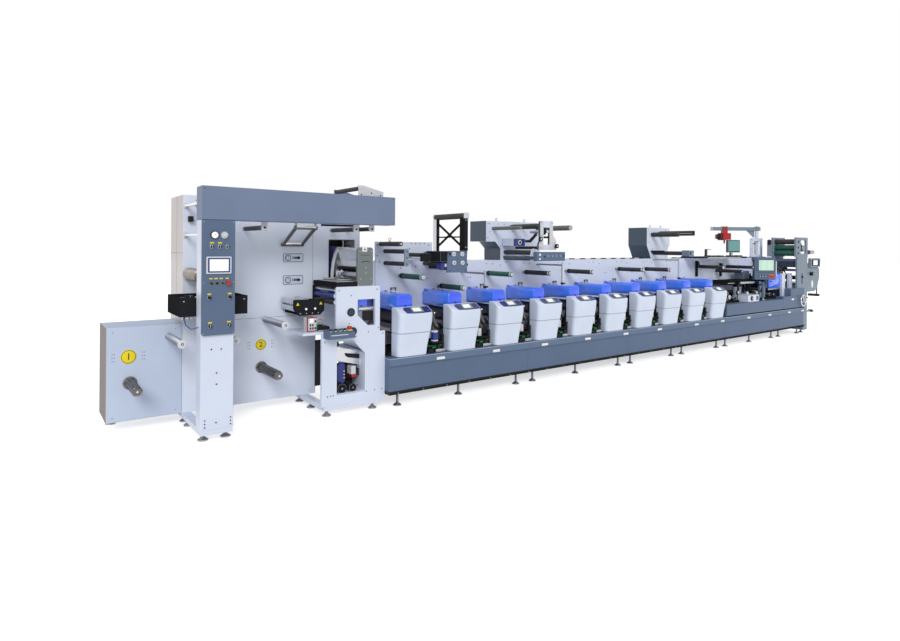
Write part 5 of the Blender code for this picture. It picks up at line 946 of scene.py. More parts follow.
def frame_detail():
    """Screws, discs, web drive, rollers, inverter and console buttons of the white front frame."""
    kit = Kit("frame")
    kit.start_at(FRAME_LEFT)
    dots = ((0.048, 1.119), (0.3, 1.128), (0.278, 0.858), (0.352, 0.733), (0.352, 0.57), (0.42, 0.467),
        (0.487, 0.765), (0.372, 0.262), (0.06, 0.188), (0.09, 0.19), (0.115, 0.192), (0.47, 0.185),
        (0.56, 0.188), (0.64, 0.19), (0.58, 1.18), (0.172, 1.18), (0.6, 0.8), (0.65, 0.74), (0.03, 0.7))
    screw_rows(kit["soft black"], [(x, FRAME_Y, z) for x, z in dots], 0.0055, 0.0025)
    for x, z in ((0.297, 0.968), (0.32, 0.783)):
        kit["soft black"].turned("Y", (x, FRAME_Y, z), ((-0.0052, 0.038), (-0.0046, 0.0405),
            (-0.0002, 0.0405)), 40)
        kit["deep slate"].turned("Y", (x, FRAME_Y, z), ((-0.0056, 0.03), (-0.0048, 0.031)), 40)
    outline = ((0.165, 0.64), (0.47, 0.56), (0.47, 0.425), (0.165, 0.5))
    kit["alloy"].face_plate(outline, 0.2188, 0.3612, 0.004)
    slot = ((0.29, 0.56), (0.452, 0.535), (0.452, 0.49), (0.33, 0.512), (0.3, 0.53))
    kit["soft black"].face_plate(slot, 0.217, 0.2192, 0.0005)
    for x, radius in ((0.23, 0.045), (0.345, 0.04)):
        z = 0.19 + radius
        kit["black"].bar("Y", (x, 0.0, z), 0.1415, 0.361, radius + 0.001, 0.003, 32)
        for k in range(6):
            kit["soft black"].turned("Y", (x, 0.155 + 0.032 * k, z), ((0.0, radius + 0.0012),
                (0.002, radius + 0.003), (0.008, radius + 0.003), (0.01, radius + 0.0012)), 32)
        kit["dull steel"].bolt("-Y", (x, 0.1415, z), radius * 0.18, 0.004)
    kit["navy"].round_plate((0.215, 0.285, 0.27, 0.47, 0.03), 0.195, 0.215)
    for z in (0.32, 0.352, 0.384):
        kit["yellow"].face_plate(((0.268, z), (0.284, z), (0.276, z + 0.016)), 0.1936, 0.195, 0.0003)
    kit["cap"].block(0.355, 0.405, 0.2, 0.29, 0.345, 0.425)
    kit["red"].block(0.362, 0.412, 0.197, 0.26, 0.318, 0.344)
    kit["soft black"].block(0.406, 0.44, 0.205, 0.3, 0.33, 0.4)
    kit["hood"].block(0.405, 0.5, 0.15, 0.16, 1.02, 1.08, 0.003)
    kit["navy"].block(0.502, 0.57, 0.15, 0.16, 1.01, 1.08, 0.003)
    kit["alloy"].bar("X", (0.0, 0.155, 0.99), 0.4, 0.575, 0.016)
    kit["soft black"].block(0.45, 0.57, 0.15, 0.165, 0.87, 0.968, 0.004)
    kit["black"].block(0.26, 0.45, 0.3, 0.361, 0.29, 0.44)
    kit["soft black"].block(0.15, 0.3, 0.364, 0.374, 0.47, 0.7)
    kit["soft black"].block(0.152, 0.258, 0.364, 0.374, 0.2, 0.468)
    kit["soft black"].block(0.262, 0.452, 0.364, 0.374, 0.2, 0.3)
    for z, radius, look in ((1.18, 0.018, "alloy"), (1.125, 0.027, "blue rubber"),
            (1.066, 0.026, "black rubber")):
        kit[look].bar("Y", (0.16, 0.0, z), 0.1415, 0.59, radius + SKIN, 0.002, 32)
    kit["black"].block(0.122, 0.199, 0.592, 0.6062, 1.027, 1.209)
    kit["black"].block(0.12, 0.143, 0.108, 0.592, 1.206, 1.216)
    kit.start_at()
    kit["soft black"].block(1.706, 1.773, 0.296, 0.306, 0.258, 0.7)
    table = 0.8
    kit["cap"].block(1.59, 1.672, 0.19, 0.3, table, table + 0.13)
    kit["screen"].round_plate((1.604, 1.64, table + 0.082, table + 0.12, 0.003), 0.188, 0.1902, 0.0004)
    kit["red"].block(1.589, 1.673, 0.1885, 0.21, table, table + 0.01)
    kit["red"].block(1.589, 1.673, 0.1885, 0.21, table + 0.124, table + 0.133)
    kit["red"].block(1.584, 1.59, 0.1885, 0.212, table, table + 0.133)
    kit["green"].block(1.673, 1.69, 0.195, 0.28, table, table + 0.06)
    for x, z in ((1.604, 0.02), (1.628, 0.02), (1.652, 0.02), (1.604, 0.05), (1.628, 0.05), (1.652, 0.084)):
        kit["soft black"].block(x, x + 0.015, 0.188, 0.1902, table + z, table + z + 0.02, 0.0005)
    kit["soft black"].block(1.7, 1.83, 0.24, 0.42, table, table + 0.03, 0.004)
    for k, height in enumerate((0.09, 0.105, 0.12)):
        kit["orange" if k == 1 else "label"].tube([(1.672, 0.23 + 0.01 * k, table + 0.06),
            (1.715, 0.235, table + height), (1.765, 0.26, table + height - 0.012),
            (1.79, 0.3, table + 0.028)], 0.0028, 8)
    kit.make()
    console = Kit("console")
    x0 = low("operator_console")[0]
    front, back = low("operator_console")[1], high("operator_console")[1]
    face_top = high("operator_console")[2]
    middle = (front + back - 0.03) / 2
    first = x0 + (0.265 - 4 * 0.048) / 2
    height = face_top - 0.016
    for k, (look, radius) in enumerate((("soft black", 0.012), ("soft black", 0.012), ("green", 0.012),
            ("soft black", 0.012), ("red", 0.019))):
        x = first + 0.048 * k
        console["dull steel"].turned("Z", (x, middle, height), ((-0.004, radius + 0.004),
            (0.004, radius + 0.004), (0.006, radius + 0.0025)), 28)
        console[look].turned("Z", (x, middle, height), ((0.0, radius + SKIN), (0.0195, radius + SKIN),
            (0.0212, radius - 0.002)), 28)
    console["red"].turned("Z", (first + 4 * 0.048, middle, height + 0.0205), ((0.0, 0.0225), (0.004, 0.024),
        (0.012, 0.0235), (0.018, 0.019), (0.02, 0.012)), 36)
    console["yellow"].turned("Z", (first + 4 * 0.048, middle, height), ((0.0, 0.0275), (0.0062, 0.0275),
        (0.0072, 0.0265)), 36)
    console["label"].block(first - 0.015, first + 0.155, front - 0.0008, front + 0.002,
        low("operator_console")[2] + 0.034, low("operator_console")[2] + 0.04, 0.0003)
    console.make()


def die_detail():
    """Die station: polished cylinders, grey-green front plate with its screws, scale and white block."""
    kit = Kit("die")
    x = FRAME_LEFT + 0.368 + 0.167 / 2
    kit.start_at(z=low("die_head")[2])
    kit["chrome"].bar("Y", (x, 0.0, 0.255), 0.1355, 0.5845, 0.0806, 0.002, 64)
    kit["steel"].bar("Y", (x, 0.0, 0.105), 0.1355, 0.5845, 0.0566, 0.002, 48)
    for z, radius in ((0.255, 0.0815), (0.105, 0.0575)):
        kit["dull steel"].bar("Y", (x, 0.0, z), 0.1352, 0.15, radius, 0.002, 64)
        kit["dull steel"].bar("Y", (x, 0.0, z), 0.565, 0.5848, radius, 0.002, 64)
    left, right = DIE_LEFT, DIE_RIGHT
    kit["plate grey"].round_plate((left - SKIN, right + SKIN, 0.001, 0.3776, 0.028, 6), FRAME_Y - 0.001,
        FRAME_Y + 0.0356, 0.003)
    kit["alloy"].round_plate((left - SKIN, right + SKIN, 0.001, 0.3776, 0.028, 6), 0.5843, 0.6156, 0.003)
    kit["black"].block(1.8345, 2.0545, FRAME_Y - SKIN, 0.65, 0.0005, 0.0408)
    sheet = rounded(left + 0.004, right - 0.004, 0.172, 0.373, 0.03, 8)
    kit["side steel"].face_plate(sheet, 0.1362, 0.56, 0.003)
    kit["soft black"].block(left + 0.0006, right - 0.0006, 0.1362, 0.56, 0.163, 0.1715)
    bow = [(left - 0.062 + 0.085 * (1 - math.cos(a)), 0.045 + 0.325 * math.sin(a)) for a in np.linspace(0.0,
        math.pi / 2, 12)]
    bow += [(px + 0.016, pz - 0.01) for px, pz in reversed(bow)]
    kit["cap"].face_plate(bow, 0.545, 0.583, 0.002)
    kit["label"].block(left + 0.045, left + 0.1, FRAME_Y - 0.003, FRAME_Y + 0.03, 0.335, 0.385, 0.002)
    kit["soft black"].slab("XZ", ((left + 0.062, 0.35), (left + 0.084, 0.35), (left + 0.073, 0.37)),
        -FRAME_Y + 0.003, -FRAME_Y + 0.004, 0.0003)
    arc = [(left + 0.085 + 0.062 * math.sin(a), 0.215 + 0.03 * math.cos(a)) for a in np.linspace(-0.9, 0.9,
        12)]
    arc += [(px, pz - 0.006) for px, pz in reversed(arc)]
    kit["soft black"].slab("XZ", arc, -FRAME_Y + 0.0008, -FRAME_Y + 0.0018, 0.0002)
    kit["soft black"].block(left + 0.03, left + 0.13, FRAME_Y - 0.0018, FRAME_Y - 0.0008, 0.3, 0.304, 0.0002)
    screw_rows(kit["dull steel"], [(left + dx, FRAME_Y - 0.001, dz) for dx,
        dz in ((0.085, 0.18), (0.03, 0.07), (0.14, 0.07), (0.02, 0.34), (0.148, 0.34), (0.085, 0.13))], 0.007,
        0.005)
    kit["alloy"].block(1.86, 2.04, 0.15, 0.56, 0.041, 0.05, 0.002)
    for y in (0.2, 0.5):
        kit["dull steel"].bar("X", (0.0, y, 0.06), 1.88, 2.04, 0.01)
    kit.make()


# Print units, bed and main panel

def cover_form():
    """Housing of a print unit at its own zero.

    Each level is a rectangle with two round front corners; its front and right edge follow cubics of the
    height, and above the shoulder the level tilts until it lies in the sloping top, where it pulls in round
    the rim.
    """
    heights = (0.0, 0.238, 0.35, 0.405)
    front_of = np.polyfit(heights, (0.006, -0.02, -0.032, -0.0345), 3)
    right_of = np.polyfit(heights, (0.355, 0.384, 0.398, 0.4005), 3)
    quarter = np.linspace(0.0, np.pi / 2, 9)
    slope_y, back, shoulder, top = 0.058, 0.1352, 0.435, 0.495

    def ring(z, inset, tilt):
        flat_z = min(z, 0.405)
        near = np.polyval(front_of, flat_z) + inset
        right = np.polyval(right_of, flat_z) - inset
        left = -0.0005 + inset
        wide, narrow = 0.052 - inset * 0.5, 0.034 - inset * 0.5
        outline = [(left + wide * (1 - math.sin(q)), near + wide * (1 - math.cos(q))) for q in quarter[::-1]]
        outline += [(left + wide + (right - narrow - left - wide) * t, near) for t in (0.25, 0.5, 0.75)]
        outline += [(right - narrow * (1 - math.sin(q)), near + narrow * (1 - math.cos(q))) for q in quarter]
        outline += [(right, slope_y), (right, back), (left, back), (left, slope_y)]
        flat = np.array(outline)
        rise = np.clip((flat[:, 1] + 0.0345) / (slope_y + 0.0345), 0.0, 1.0)
        roof = shoulder + (top - shoulder) * rise
        level = z + tilt * (roof - shoulder)
        return np.column_stack((flat, level + BED_TOP))

    rings = [ring(0.001, 0.006, 0.0), ring(0.008, 0.0, 0.0)]
    rings += [ring(z, 0.0, 0.0) for z in np.linspace(0.02, 0.2355, 10)]
    rings += [ring(0.2375, 0.0022, 0.0), ring(0.2425, 0.0022, 0.0), ring(0.2445, 0.0, 0.0)]
    rings += [ring(z, 0.0, 0.0) for z in np.linspace(0.255, 0.33, 5)]
    rim = 0.013
    for step in np.linspace(0.0, 1.0, 6)[1:]:
        rings.append(ring(0.33 + (shoulder - rim - 0.33) * step, 0.0, step))
    for turn in np.linspace(0.0, np.pi / 2, 7)[1:]:
        rings.append(ring(shoulder - rim * (1 - math.sin(turn)), rim * (1 - math.cos(turn)), 1.0))
    grid = np.array(rings)
    form = Form()
    form.rings(grid, caps=False)
    sides = grid.shape[1]
    last = (len(grid) - 1) * sides
    number = last + np.arange(sides)
    front_count = sides - 4
    form.loops.append(np.arange(sides)[::-1])
    form.sizes.append(np.array((sides,)))
    slope = np.concatenate((number[:front_count], (number[front_count], number[-1])))
    form.loops.append(slope)
    form.sizes.append(np.array((len(slope),)))
    form.loops.append(number[front_count:])
    form.sizes.append(np.array((4,)))
    return form


def repeat(form, pattern, x, y=0.0, z=0.0):
    """Add another form's shapes to a form, shifted by a step."""
    start = form.count
    form.loops += [loops + start for loops in pattern.loops]
    form.sizes += pattern.sizes
    form.points += [points + np.array((x, y, z)) for points in pattern.points]
    form.count += pattern.count


def tilted(form, centre, angle):
    """Turn a form about the X direction through a point."""
    c, s = math.cos(angle), math.sin(angle)
    turn = np.array(((1, 0, 0), (0, c, s), (0, -s, c)))
    centre = np.array(centre)
    form.points = [(points - centre) @ turn + centre for points in form.points]


def cover_panel(kit):
    """Operating panel on the sloping top of a housing: navy field, bezel, display and two soft keys."""
    angle = math.atan2(0.06, 0.0925)
    y, z = 0.014, BED_TOP + 0.4665
    reach = 0.051
    skin = 0.0012
    bow = np.linspace(-1.0, 1.0, 9)
    field = [(0.235 + 0.15 * t, y - reach + 0.006 * t * t) for t in bow]
    field += [(0.388, y - reach + 0.03), (0.384, y + reach - 0.012), (0.372, y + reach)]
    field += [(0.092, y + reach), (0.074, y + reach - 0.016), (0.07, y + reach - 0.04)]
    kit["navy"].slab("XY", field, z - 0.006, z + skin, 0.0005)
    # The pale slanted strip on the navy field is a painted highlight.
    kit["pale slate"].slab("XY", [(0.33, y - 0.03), (0.366, y - 0.012), (0.366, y - 0.006),
        (0.33, y - 0.022)], z, z + 0.0018, 0.0003)
    kit["bezel"].slab("XY", [(px, py + y) for px, py in rounded(0.155, 0.3, -reach + 0.01, reach - 0.004,
        0.008)], z, z + 0.004, 0.0012)
    kit["screen"].slab("XY", [(px, py + y) for px, py in rounded(0.175, 0.272, -reach + 0.026, reach - 0.016,
        0.002)], z + 0.003, z + 0.0046, 0.0003)
    for dy in (-0.016, 0.016):
        kit["cap"].turned("Z", (0.286, y + dy, z), ((0.003, 0.0055), (0.0056, 0.0048)), 12)
        kit["deep slate"].turned("Z", (0.34, y + dy, z), ((0.0008, 0.0085), (0.0026, 0.0075)), 16)
    for dx in (0.098, 0.12):
        kit["deep slate"].turned("Z", (dx, y + 0.006, z), ((0.0008, 0.0075), (0.0026, 0.0065)), 16)
    for form in kit.forms.values():
        tilted(form, (0.0, y, z), angle)


def unit_pieces():
    """Ten housings with their operating panels."""
    cover = cover_form()
    pattern = Kit("unit_panel")
    cover_panel(pattern)
    panels = Kit("unit_panel")
    for unit in UNITS:
        x = UNIT_X + PITCH * (unit - 1)
        form = Form()
        repeat(form, cover, x)
        form.piece(f"housing_{unit:02d}", "cover", replaces=(f"unit_cover_{unit:02d}",), sharp=40.0)
        for look, shapes in pattern.forms.items():
            repeat(panels[look], shapes, x)
    panels.make()


def hood_form(x, width, height, base, front, back, corner):
    """Arched guard: an arch section carried from front to back, with a domed rim and an open underside."""
    form = Form()
    quarter = np.linspace(0.0, np.pi / 2, 9)
    levels = []
    for depth, inset in ((0.0, 0.016), (0.002, 0.008), (0.006, 0.003), (0.013, 0.0), (back - front, 0.0)):
        left, right, roof = x + inset, x + width - inset, base + height - inset
        r = corner - inset * 0.5
        arch = [(left, base), (left, base + height * 0.35)]
        arch += [(left + r * (1 - math.cos(q)), roof - r * (1 - math.sin(q))) for q in quarter]
        arch += [(right - r * (1 - math.sin(q)), roof - r * (1 - math.cos(q))) for q in quarter]
        arch += [(right, base + height * 0.35), (right, base)]
        flat = np.array(arch)
        levels.append(np.column_stack((flat[:, 0], np.full(len(flat), front + depth), flat[:, 1])))
    grid = np.array(levels)
    rows, across = grid.shape[:2]
    number = np.arange(rows * across).reshape(rows, across)
    quads = np.stack((number[:-1, :-1], number[:-1, 1:], number[1:, 1:], number[1:, :-1]), -1).reshape(-1, 4)
    form.add(grid.reshape(-1, 3), quads, number[0][::-1])
    return form


def give_wall(guard):
    """Thickness of the acrylic, inwards from the modelled face."""
    wall = guard.modifiers.new("wall", "SOLIDIFY")
    wall.thickness = 0.0045
    wall.offset = -1.0


def hood_pieces():
    """Blue acrylic guards over the units and over the last module, with their catches, hinges and grips."""
    kit = Kit("guard")
    for unit in UNITS:
        name = f"unit_hood_{unit:02d}"
        lo, hi = low(name), high(name)
        form = hood_form(lo[0], hi[0] - lo[0], hi[2] - lo[2], lo[2], lo[1], hi[1], 0.05)
        guard = form.piece(f"guard_{unit:02d}", "hood", replaces=(name,), sharp=50.0)
        give_wall(guard)
        for y in (lo[1] + 0.06, lo[1] + 0.255):
            kit["soft black"].block(hi[0] - 0.001, hi[0] + 0.003, y - 0.012, y + 0.012, lo[2] + 0.02,
                lo[2] + 0.028, 0.0008)
        kit["soft black"].bar("Y", ((lo[0] + hi[0]) / 2, lo[1], lo[2] + 0.035), -0.0165, 0.0005, 0.008)
        for x in (lo[0] + 0.03, hi[0] - 0.03):
            kit["dull steel"].block(x - 0.012, x + 0.012, hi[1] - 0.03, hi[1] - 0.002, hi[2] - 0.0005,
                hi[2] + 0.004, 0.001)
            kit["dull steel"].bar("X", (0.0, hi[1] - 0.006, hi[2] + 0.0035), x - 0.014, x + 0.014, 0.004)
    lo, hi = low("end_guard"), high("end_guard")
    form = hood_form(lo[0], hi[0] - lo[0], hi[2] - lo[2], lo[2], lo[1], hi[1], 0.022)
    guard = form.piece("guard_end", "hood", replaces=("end_guard",), sharp=50.0)
    give_wall(guard)
    kit["soft black"].bar("Y", (lo[0] + 0.05, lo[1], (lo[2] + hi[2]) / 2), -0.0185, 0.0005, 0.01)
    kit.make()


def deck_detail():
    """Works that show between the housings: cylinders, levers, ink cans, trays, knobs and drive blocks."""
    kit = Kit("decks")
    y0 = low("print_decks")[1]
    for unit in UNITS:
        kit.start_at(UNIT_X + PITCH * (unit - 1), 0.0, BED_TOP)
        for dx, dz, radius, look in ((0.16, 0.36, 0.075, "black rubber"), (0.055, 0.27, 0.05, "dark steel"),
                (0.33, 0.27, 0.09, "dark steel"), (0.5, 0.11, 0.045, "black rubber")):
            kit[look].bar("Y", (dx, 0.0, dz), y0 + 0.026, PANEL_Y - 0.001, radius + SKIN, 0.002, 36)
        for dx, dz, radius in ((0.16, 0.36, 0.042), (0.33, 0.27, 0.052), (0.5, 0.11, 0.026),
                (0.47, 0.3, 0.018), (0.52, 0.2, 0.014)):
            kit["dark steel"].turned("Y", (dx, y0, dz), ((-0.01, radius * 0.6), (-0.008, radius * 0.85),
                (-0.006, radius), (0.001, radius)), 28)
            kit["chrome"].turned("Y", (dx, y0, dz), ((-0.013, radius * 0.22), (-0.01, radius * 0.28)), 16)
        lever = ((0.425, 0.455), (0.455, 0.462), (0.492, 0.42), (0.5, 0.36), (0.53, 0.3), (0.56, 0.262),
            (0.545, 0.245), (0.505, 0.275), (0.47, 0.335), (0.455, 0.4))
        kit["lever"].face_plate(lever, 0.082, 0.104, 0.004)
        kit["lever"].face_plate([(px - 0.015, pz - 0.05) for px, pz in lever[3:8]], 0.112, 0.13, 0.003)
        kit["black"].bar("Y", (0.47, 0.0, 0.42), 0.06, 0.144, 0.014)
        kit["black"].bar("Y", (0.545, 0.0, 0.262), 0.066, 0.144, 0.01)
        kit["chrome"].bar("Y", (0.47, 0.0, 0.42), 0.05, 0.062, 0.009)
        kit["soft black"].block(0.41, 0.6, 0.11, 0.143, 0.365, 0.4, 0.004)
        kit["dull steel"].block(0.415, 0.455, 0.085, 0.143, 0.15, 0.33, 0.004)
        if unit == 1:
            kit["cap"].bar("Z", (0.488, 0.075, 0.0), 0.118, 0.232, 0.038, 0.004, 28)
            kit["navy"].bar("Z", (0.488, 0.075, 0.0), 0.135, 0.215, 0.0387, 0.001, 28)
        else:
            kit["cap"].bar("Z", (0.47, 0.1, 0.0), 0.118, 0.205, 0.028, 0.004, 28)
            kit["soft black"].bar("Z", (0.47, 0.1, 0.0), 0.205, 0.228, 0.018, 0.003, 24)
        kit["black"].block(0.435, 0.56, 0.03, 0.143, 0.1, 0.118, 0.003)
        kit["black"].block(0.47, 0.506, 0.1, 0.143, 0.0305, 0.102, 0.003)
        kit["soft black"].block(0.4, 0.47, 0.05, 0.11, 0.0005, 0.045, 0.004)
        kit["green"].block(0.44, 0.49, 0.044, 0.06, 0.046, 0.072, 0.004)
        kit["green"].bar("X", (0.0, 0.08, 0.07), 0.41, 0.58, 0.012)
        kit["dull steel"].block(0.49, 0.56, 0.045, 0.12, 0.0005, 0.04, 0.004)
        kit["soft black"].bar("Y", (0.525, 0.0, 0.062), 0.04, 0.143, 0.02, 0.003, 24)
        kit["alloy"].block(0.57, 0.63, 0.07, 0.143, 0.0005, 0.028, 0.003)
        kit["soft black"].block(0.6, 0.625, 0.09, 0.143, 0.03, 0.18, 0.003)
    kit.make()


def bed_detail():
    """Bare label plates, joint seams, screws and the dark foot strip of the bed."""
    kit = Kit("bed")
    for x in (2.98, 3.75, 4.52, 5.3, 6.08, 6.86, 7.82, 8.579, 9.421, 10.167, 10.916, 11.467):
        kit["label"].round_plate((x - 0.052, x + 0.052, 0.4245, 0.4525, 0.002), -0.0016, -0.0002, 0.0003)
    for joint in (1.893, 3.783, 5.038, 6.298, 8.153):
        x = BED_X + joint
        kit["deep slate"].block(x - 0.0012, x + 0.0012, -0.0007, 0.004, 0.42, 0.489, 0.0002)
        kit["deep slate"].block(x - 0.0012, x + 0.0012, 0.0172, 0.022, 0.175, 0.395, 0.0002)
    kit["black"].block(BED_X + 0.002, BED_END - 0.002, 0.003, 0.0045, 0.1305, 0.157, 0.0004)
    dots = [(BED_X + 0.1 + 0.3 * k, 0.003, 0.142) for k in range(30)]
    screw_rows(kit["dull steel"], dots, 0.006, 0.003)
    kit.make()


def eye_bolt(kit, x, y, z):
    """Lifting eye: a ring standing on a collar."""
    kit["dull steel"].turned("Z", (x, y, z), ((0.0, 0.016), (0.004, 0.016), (0.006, 0.009), (0.013, 0.008)),
        20)
    kit["dull steel"].hoop("Y", (x, y, z + 0.027), 0.015, 0.0042, 24, 10)


def panel_detail():
    """Bars, loops, rods, brackets, screws, seams and the top rail of the main panel."""
    kit = Kit("panel")
    left = PANEL_X
    kit.start_at(left)
    bars = ((0.048, 1.63, 0.024, 0.45, "black rubber"), (0.108, 1.551, 0.023, 0.45, "black rubber"),
        (0.108, 1.42, 0.023, 0.45, "black rubber"), (0.412, 1.512, 0.022, 0.43, "black rubber"),
        (0.412, 1.462, 0.016, 0.43, "chrome"), (6.938, 1.214, 0.028, 0.49, "black rubber"),
        (7.297, 1.281, 0.028, 0.5, "black rubber"))
    for x, z, radius, length, look in bars:
        kit[look].bar("Y", (x, 0.0, z), PANEL_Y - length - 0.0006, PANEL_Y - 0.02, radius + SKIN, 0.002, 32)
        kit["dull steel"].bar("Y", (x, 0.0, z), PANEL_Y - 0.022, PANEL_Y - 0.0002, radius * 0.9, 0.001, 32)
        kit["cap"].bar("Y", (x, 0.0, z), PANEL_Y - length - 0.0045, PANEL_Y - length, radius * 0.45)
    loop = PANEL_Y - 0.45
    kit["grey"].round_plate((0.0845, 0.1355, 1.3945, 1.5805, 0.01), loop - 0.0135, loop + 0.0036)
    screw_rows(kit["soft black"], [(0.11, loop - 0.0135, z) for z in (1.42, 1.551, 1.486)], 0.007, 0.004)
    kit["black"].block(0.3, 0.43, 0.19, 0.225, 1.445, 1.53, 0.004)
    for x, top in ((1.182, 1.33), (2.472, 1.41), (5.082, 1.455)):
        px = x
        kit["dull steel"].bar("Z", (px, 0.2, 0.0), 1.128, top + 0.0005, 0.0108)
        kit["black"].bar("Y", (px, 0.0, 1.145), 0.186, 0.214, 0.016)
        kit["soft black"].bar("X", (0.0, 0.185, 1.145), px - 0.035, px + 0.035, 0.009)
        kit["dull steel"].block(px - 0.0112, px + 0.0112, 0.2, PANEL_Y, top - 0.0412, top - 0.0188, 0.001)
    kit.start_at()
    for k in range(9):
        x = 2.781 + UNIT_STEP * k
        kit["soft black"].block(x - 0.04, x + 0.04, PANEL_Y - 0.012, PANEL_Y - 0.0002, 1.14, 1.146, 0.001)
        for side in (-0.034, 0.026):
            kit["soft black"].block(x + side, x + side + 0.008, PANEL_Y - 0.012, PANEL_Y - 0.0002, 1.112,
                1.142, 0.001)
        kit["dull steel"].block(x - 0.03, x + 0.03, PANEL_Y - 0.006, PANEL_Y - 0.0002, 1.118, 1.134, 0.001)
    dots = []
    for k in range(13):
        x = 2.9 + UNIT_STEP * k
        if x < high("main_panel")[0] - 0.05:
            dots += [(x + dx, PANEL_Y, 1.395) for dx in (-0.05, 0.05)] + [(x + 0.3, PANEL_Y, 1.235),
                (x + 0.34, PANEL_Y, 1.235), (x + 0.18, PANEL_Y, 1.375)]
    dots += [(left + dx, PANEL_Y, z) for dx, z in ((0.02, 1.62), (0.02, 1.5), (0.05, 1.44), (0.2, 1.4),
        (0.26, 1.4), (0.32, 1.36), (0.46, 1.64), (0.52, 1.64), (0.58, 1.64), (0.64, 1.64), (0.7, 1.62),
        (0.44, 1.58), (0.62, 1.52))]
    screw_rows(kit["soft black"], dots, 0.0065, 0.0025)
    for x in (5.038 + BED_X, 8.0):
        kit["deep slate"].block(x - 0.001, x + 0.001, PANEL_Y - 0.0007, PANEL_Y + 0.002, 0.52, 1.4398, 0.0002)
    rear = high("main_panel")[1]
    for k in range(1, 7):
        kit["deep slate"].block(left + 1.29 * k - 0.001, left + 1.29 * k + 0.001, rear - 0.002, rear + 0.0007,
            0.52, 1.43, 0.0002)
    start, stop = high("overhead_unit_1")[0] + 0.02, high("main_panel")[0] - 0.02
    count = int((stop - start) / 0.115)
    for k in range(count):
        x = start + 0.115 * k
        look = "black" if k % 2 else "alloy"
        if not low("overhead_unit_2")[0] - 0.12 < x < high("overhead_unit_2")[0]:
            kit[look].block(x, x + 0.11, PANEL_Y + 0.006, PANEL_Y + 0.034, 1.4402, 1.456, 0.0015)
    eye_bolt(kit, left + 0.185, PANEL_Y + 0.0125, 1.655)
    kit.make()
    for k in range(1, 4):
        roller_piece(f"green_roller_{k}", "green rubber", "cap", ring="cap")
    for k in range(1, 6):
        roller_piece(f"black_roller_{k}", "black rubber", "cap", ring="cap" if k != 5 else None)


BRACKET = 0.1          # plane of the outboard plates and brackets


def guide_detail():
    """Web guide: white discs and screws on its slate plate, its black motor block, sensor and rollers."""
    kit = Kit("guide")
    kit.start_at(PANEL_X + 0.572)
    plate_low = 1.325
    for dx, dz in ((0.08, 0.2), (0.085, 0.105), (0.195, 0.2), (0.2, 0.105)):
        kit["cap"].turned("Y", (dx, BRACKET, plate_low + dz), ((-0.014, 0.022), (-0.0125, 0.0246),
            (-0.0002, 0.0246)), 32)
        kit["slate"].turned("Y", (dx, BRACKET, plate_low + dz), ((-0.0165, 0.008), (-0.013, 0.009)), 20)
    screw_rows(kit["soft black"], [(dx, BRACKET, plate_low + dz) for dx, dz in ((0.03, 0.18), (0.03, 0.02),
        (0.25, 0.02), (0.25, 0.22), (0.14, 0.22), (0.14, 0.15))], 0.006, 0.003)
    kit["black"].block(-0.091, 0.151, 0.1025, 0.376, 1.4425, 1.5565, 0.004)
    for k in range(4):
        kit["soft black"].turned("Y", (-0.06 + 0.045 * k, 0.1, 1.53), ((-0.01, 0.012), (0.004, 0.014)), 20)
    kit["navy"].block(-0.08, -0.03, 0.105, 0.2, 1.36, 1.43, 0.004)
    kit["alloy"].block(-0.03, 0.04, 0.11, 0.24, 1.385, 1.425, 0.004)
    kit["black"].block(-0.08, 0.06, 0.11, 0.3, 1.43, 1.444, 0.002)
    kit["soft black"].block(0.272, 0.31, 0.13, 0.64, 1.395, 1.42, 0.004)
    kit["dull steel"].block(0.272, 0.33, 0.2, 0.645, 1.33, 1.392, 0.004)
    for dx, dz in ((0.07, 0.085), (0.15, 0.045)):
        kit["black rubber"].bar("Y", (dx, 0.0, plate_low + dz), 0.126, NEAR_PANEL, 0.0227, 0.002, 28)
    kit.make()
    frame = Kit("lattice")
    lo, hi = low("lattice_carrier"), high("lattice_carrier")
    x0, x1 = lo[0], hi[0]
    middle = (x0 + x1) / 2
    frame["black rubber"].bar("Y", (middle, 0.0, 1.93 + 0.0192), 0.102, 0.713, 0.0327, 0.003, 32)
    frame["alloy"].block(x0 - 0.002, x1 + 0.002, 0.1, 0.118, 1.918, 1.984, 0.003)
    frame["alloy"].block(x0 - 0.002, x1 + 0.002, 0.688, 0.706, 1.918, 1.984, 0.003)
    for y in (0.109, 0.127, 0.172, 0.19):
        frame["alloy"].block(x0 + 0.008, x0 + 0.014, y - 0.0035, y + 0.0035, 1.565, 1.912, 0.0012)
    frame["alloy"].block(x0 - 0.0012, x0 + 0.0008, 0.64, 0.706, 1.445, 1.925, 0.0004)
    screw_rows(frame["dull steel"], [(middle - 0.014, 0.105, z) for z in (1.6, 1.9)] + [(middle + 0.01, 0.105,
        z) for z in (1.6, 1.9)], 0.006, 0.004)
    frame.make()


def web_roller(kit, look, x, z, radius, length):
    """Fixed web roller of an overhead unit, with its dull end at the panel."""
    kit[look].bar("Y", (x, 0.0, z), PANEL_Y - length - 0.0006, PANEL_Y - 0.018, radius + SKIN, 0.002, 32)
    kit["dull steel"].bar("Y", (x, 0.0, z), PANEL_Y - 0.02, PANEL_Y - 0.0002, radius * 0.8, 0.001, 24)


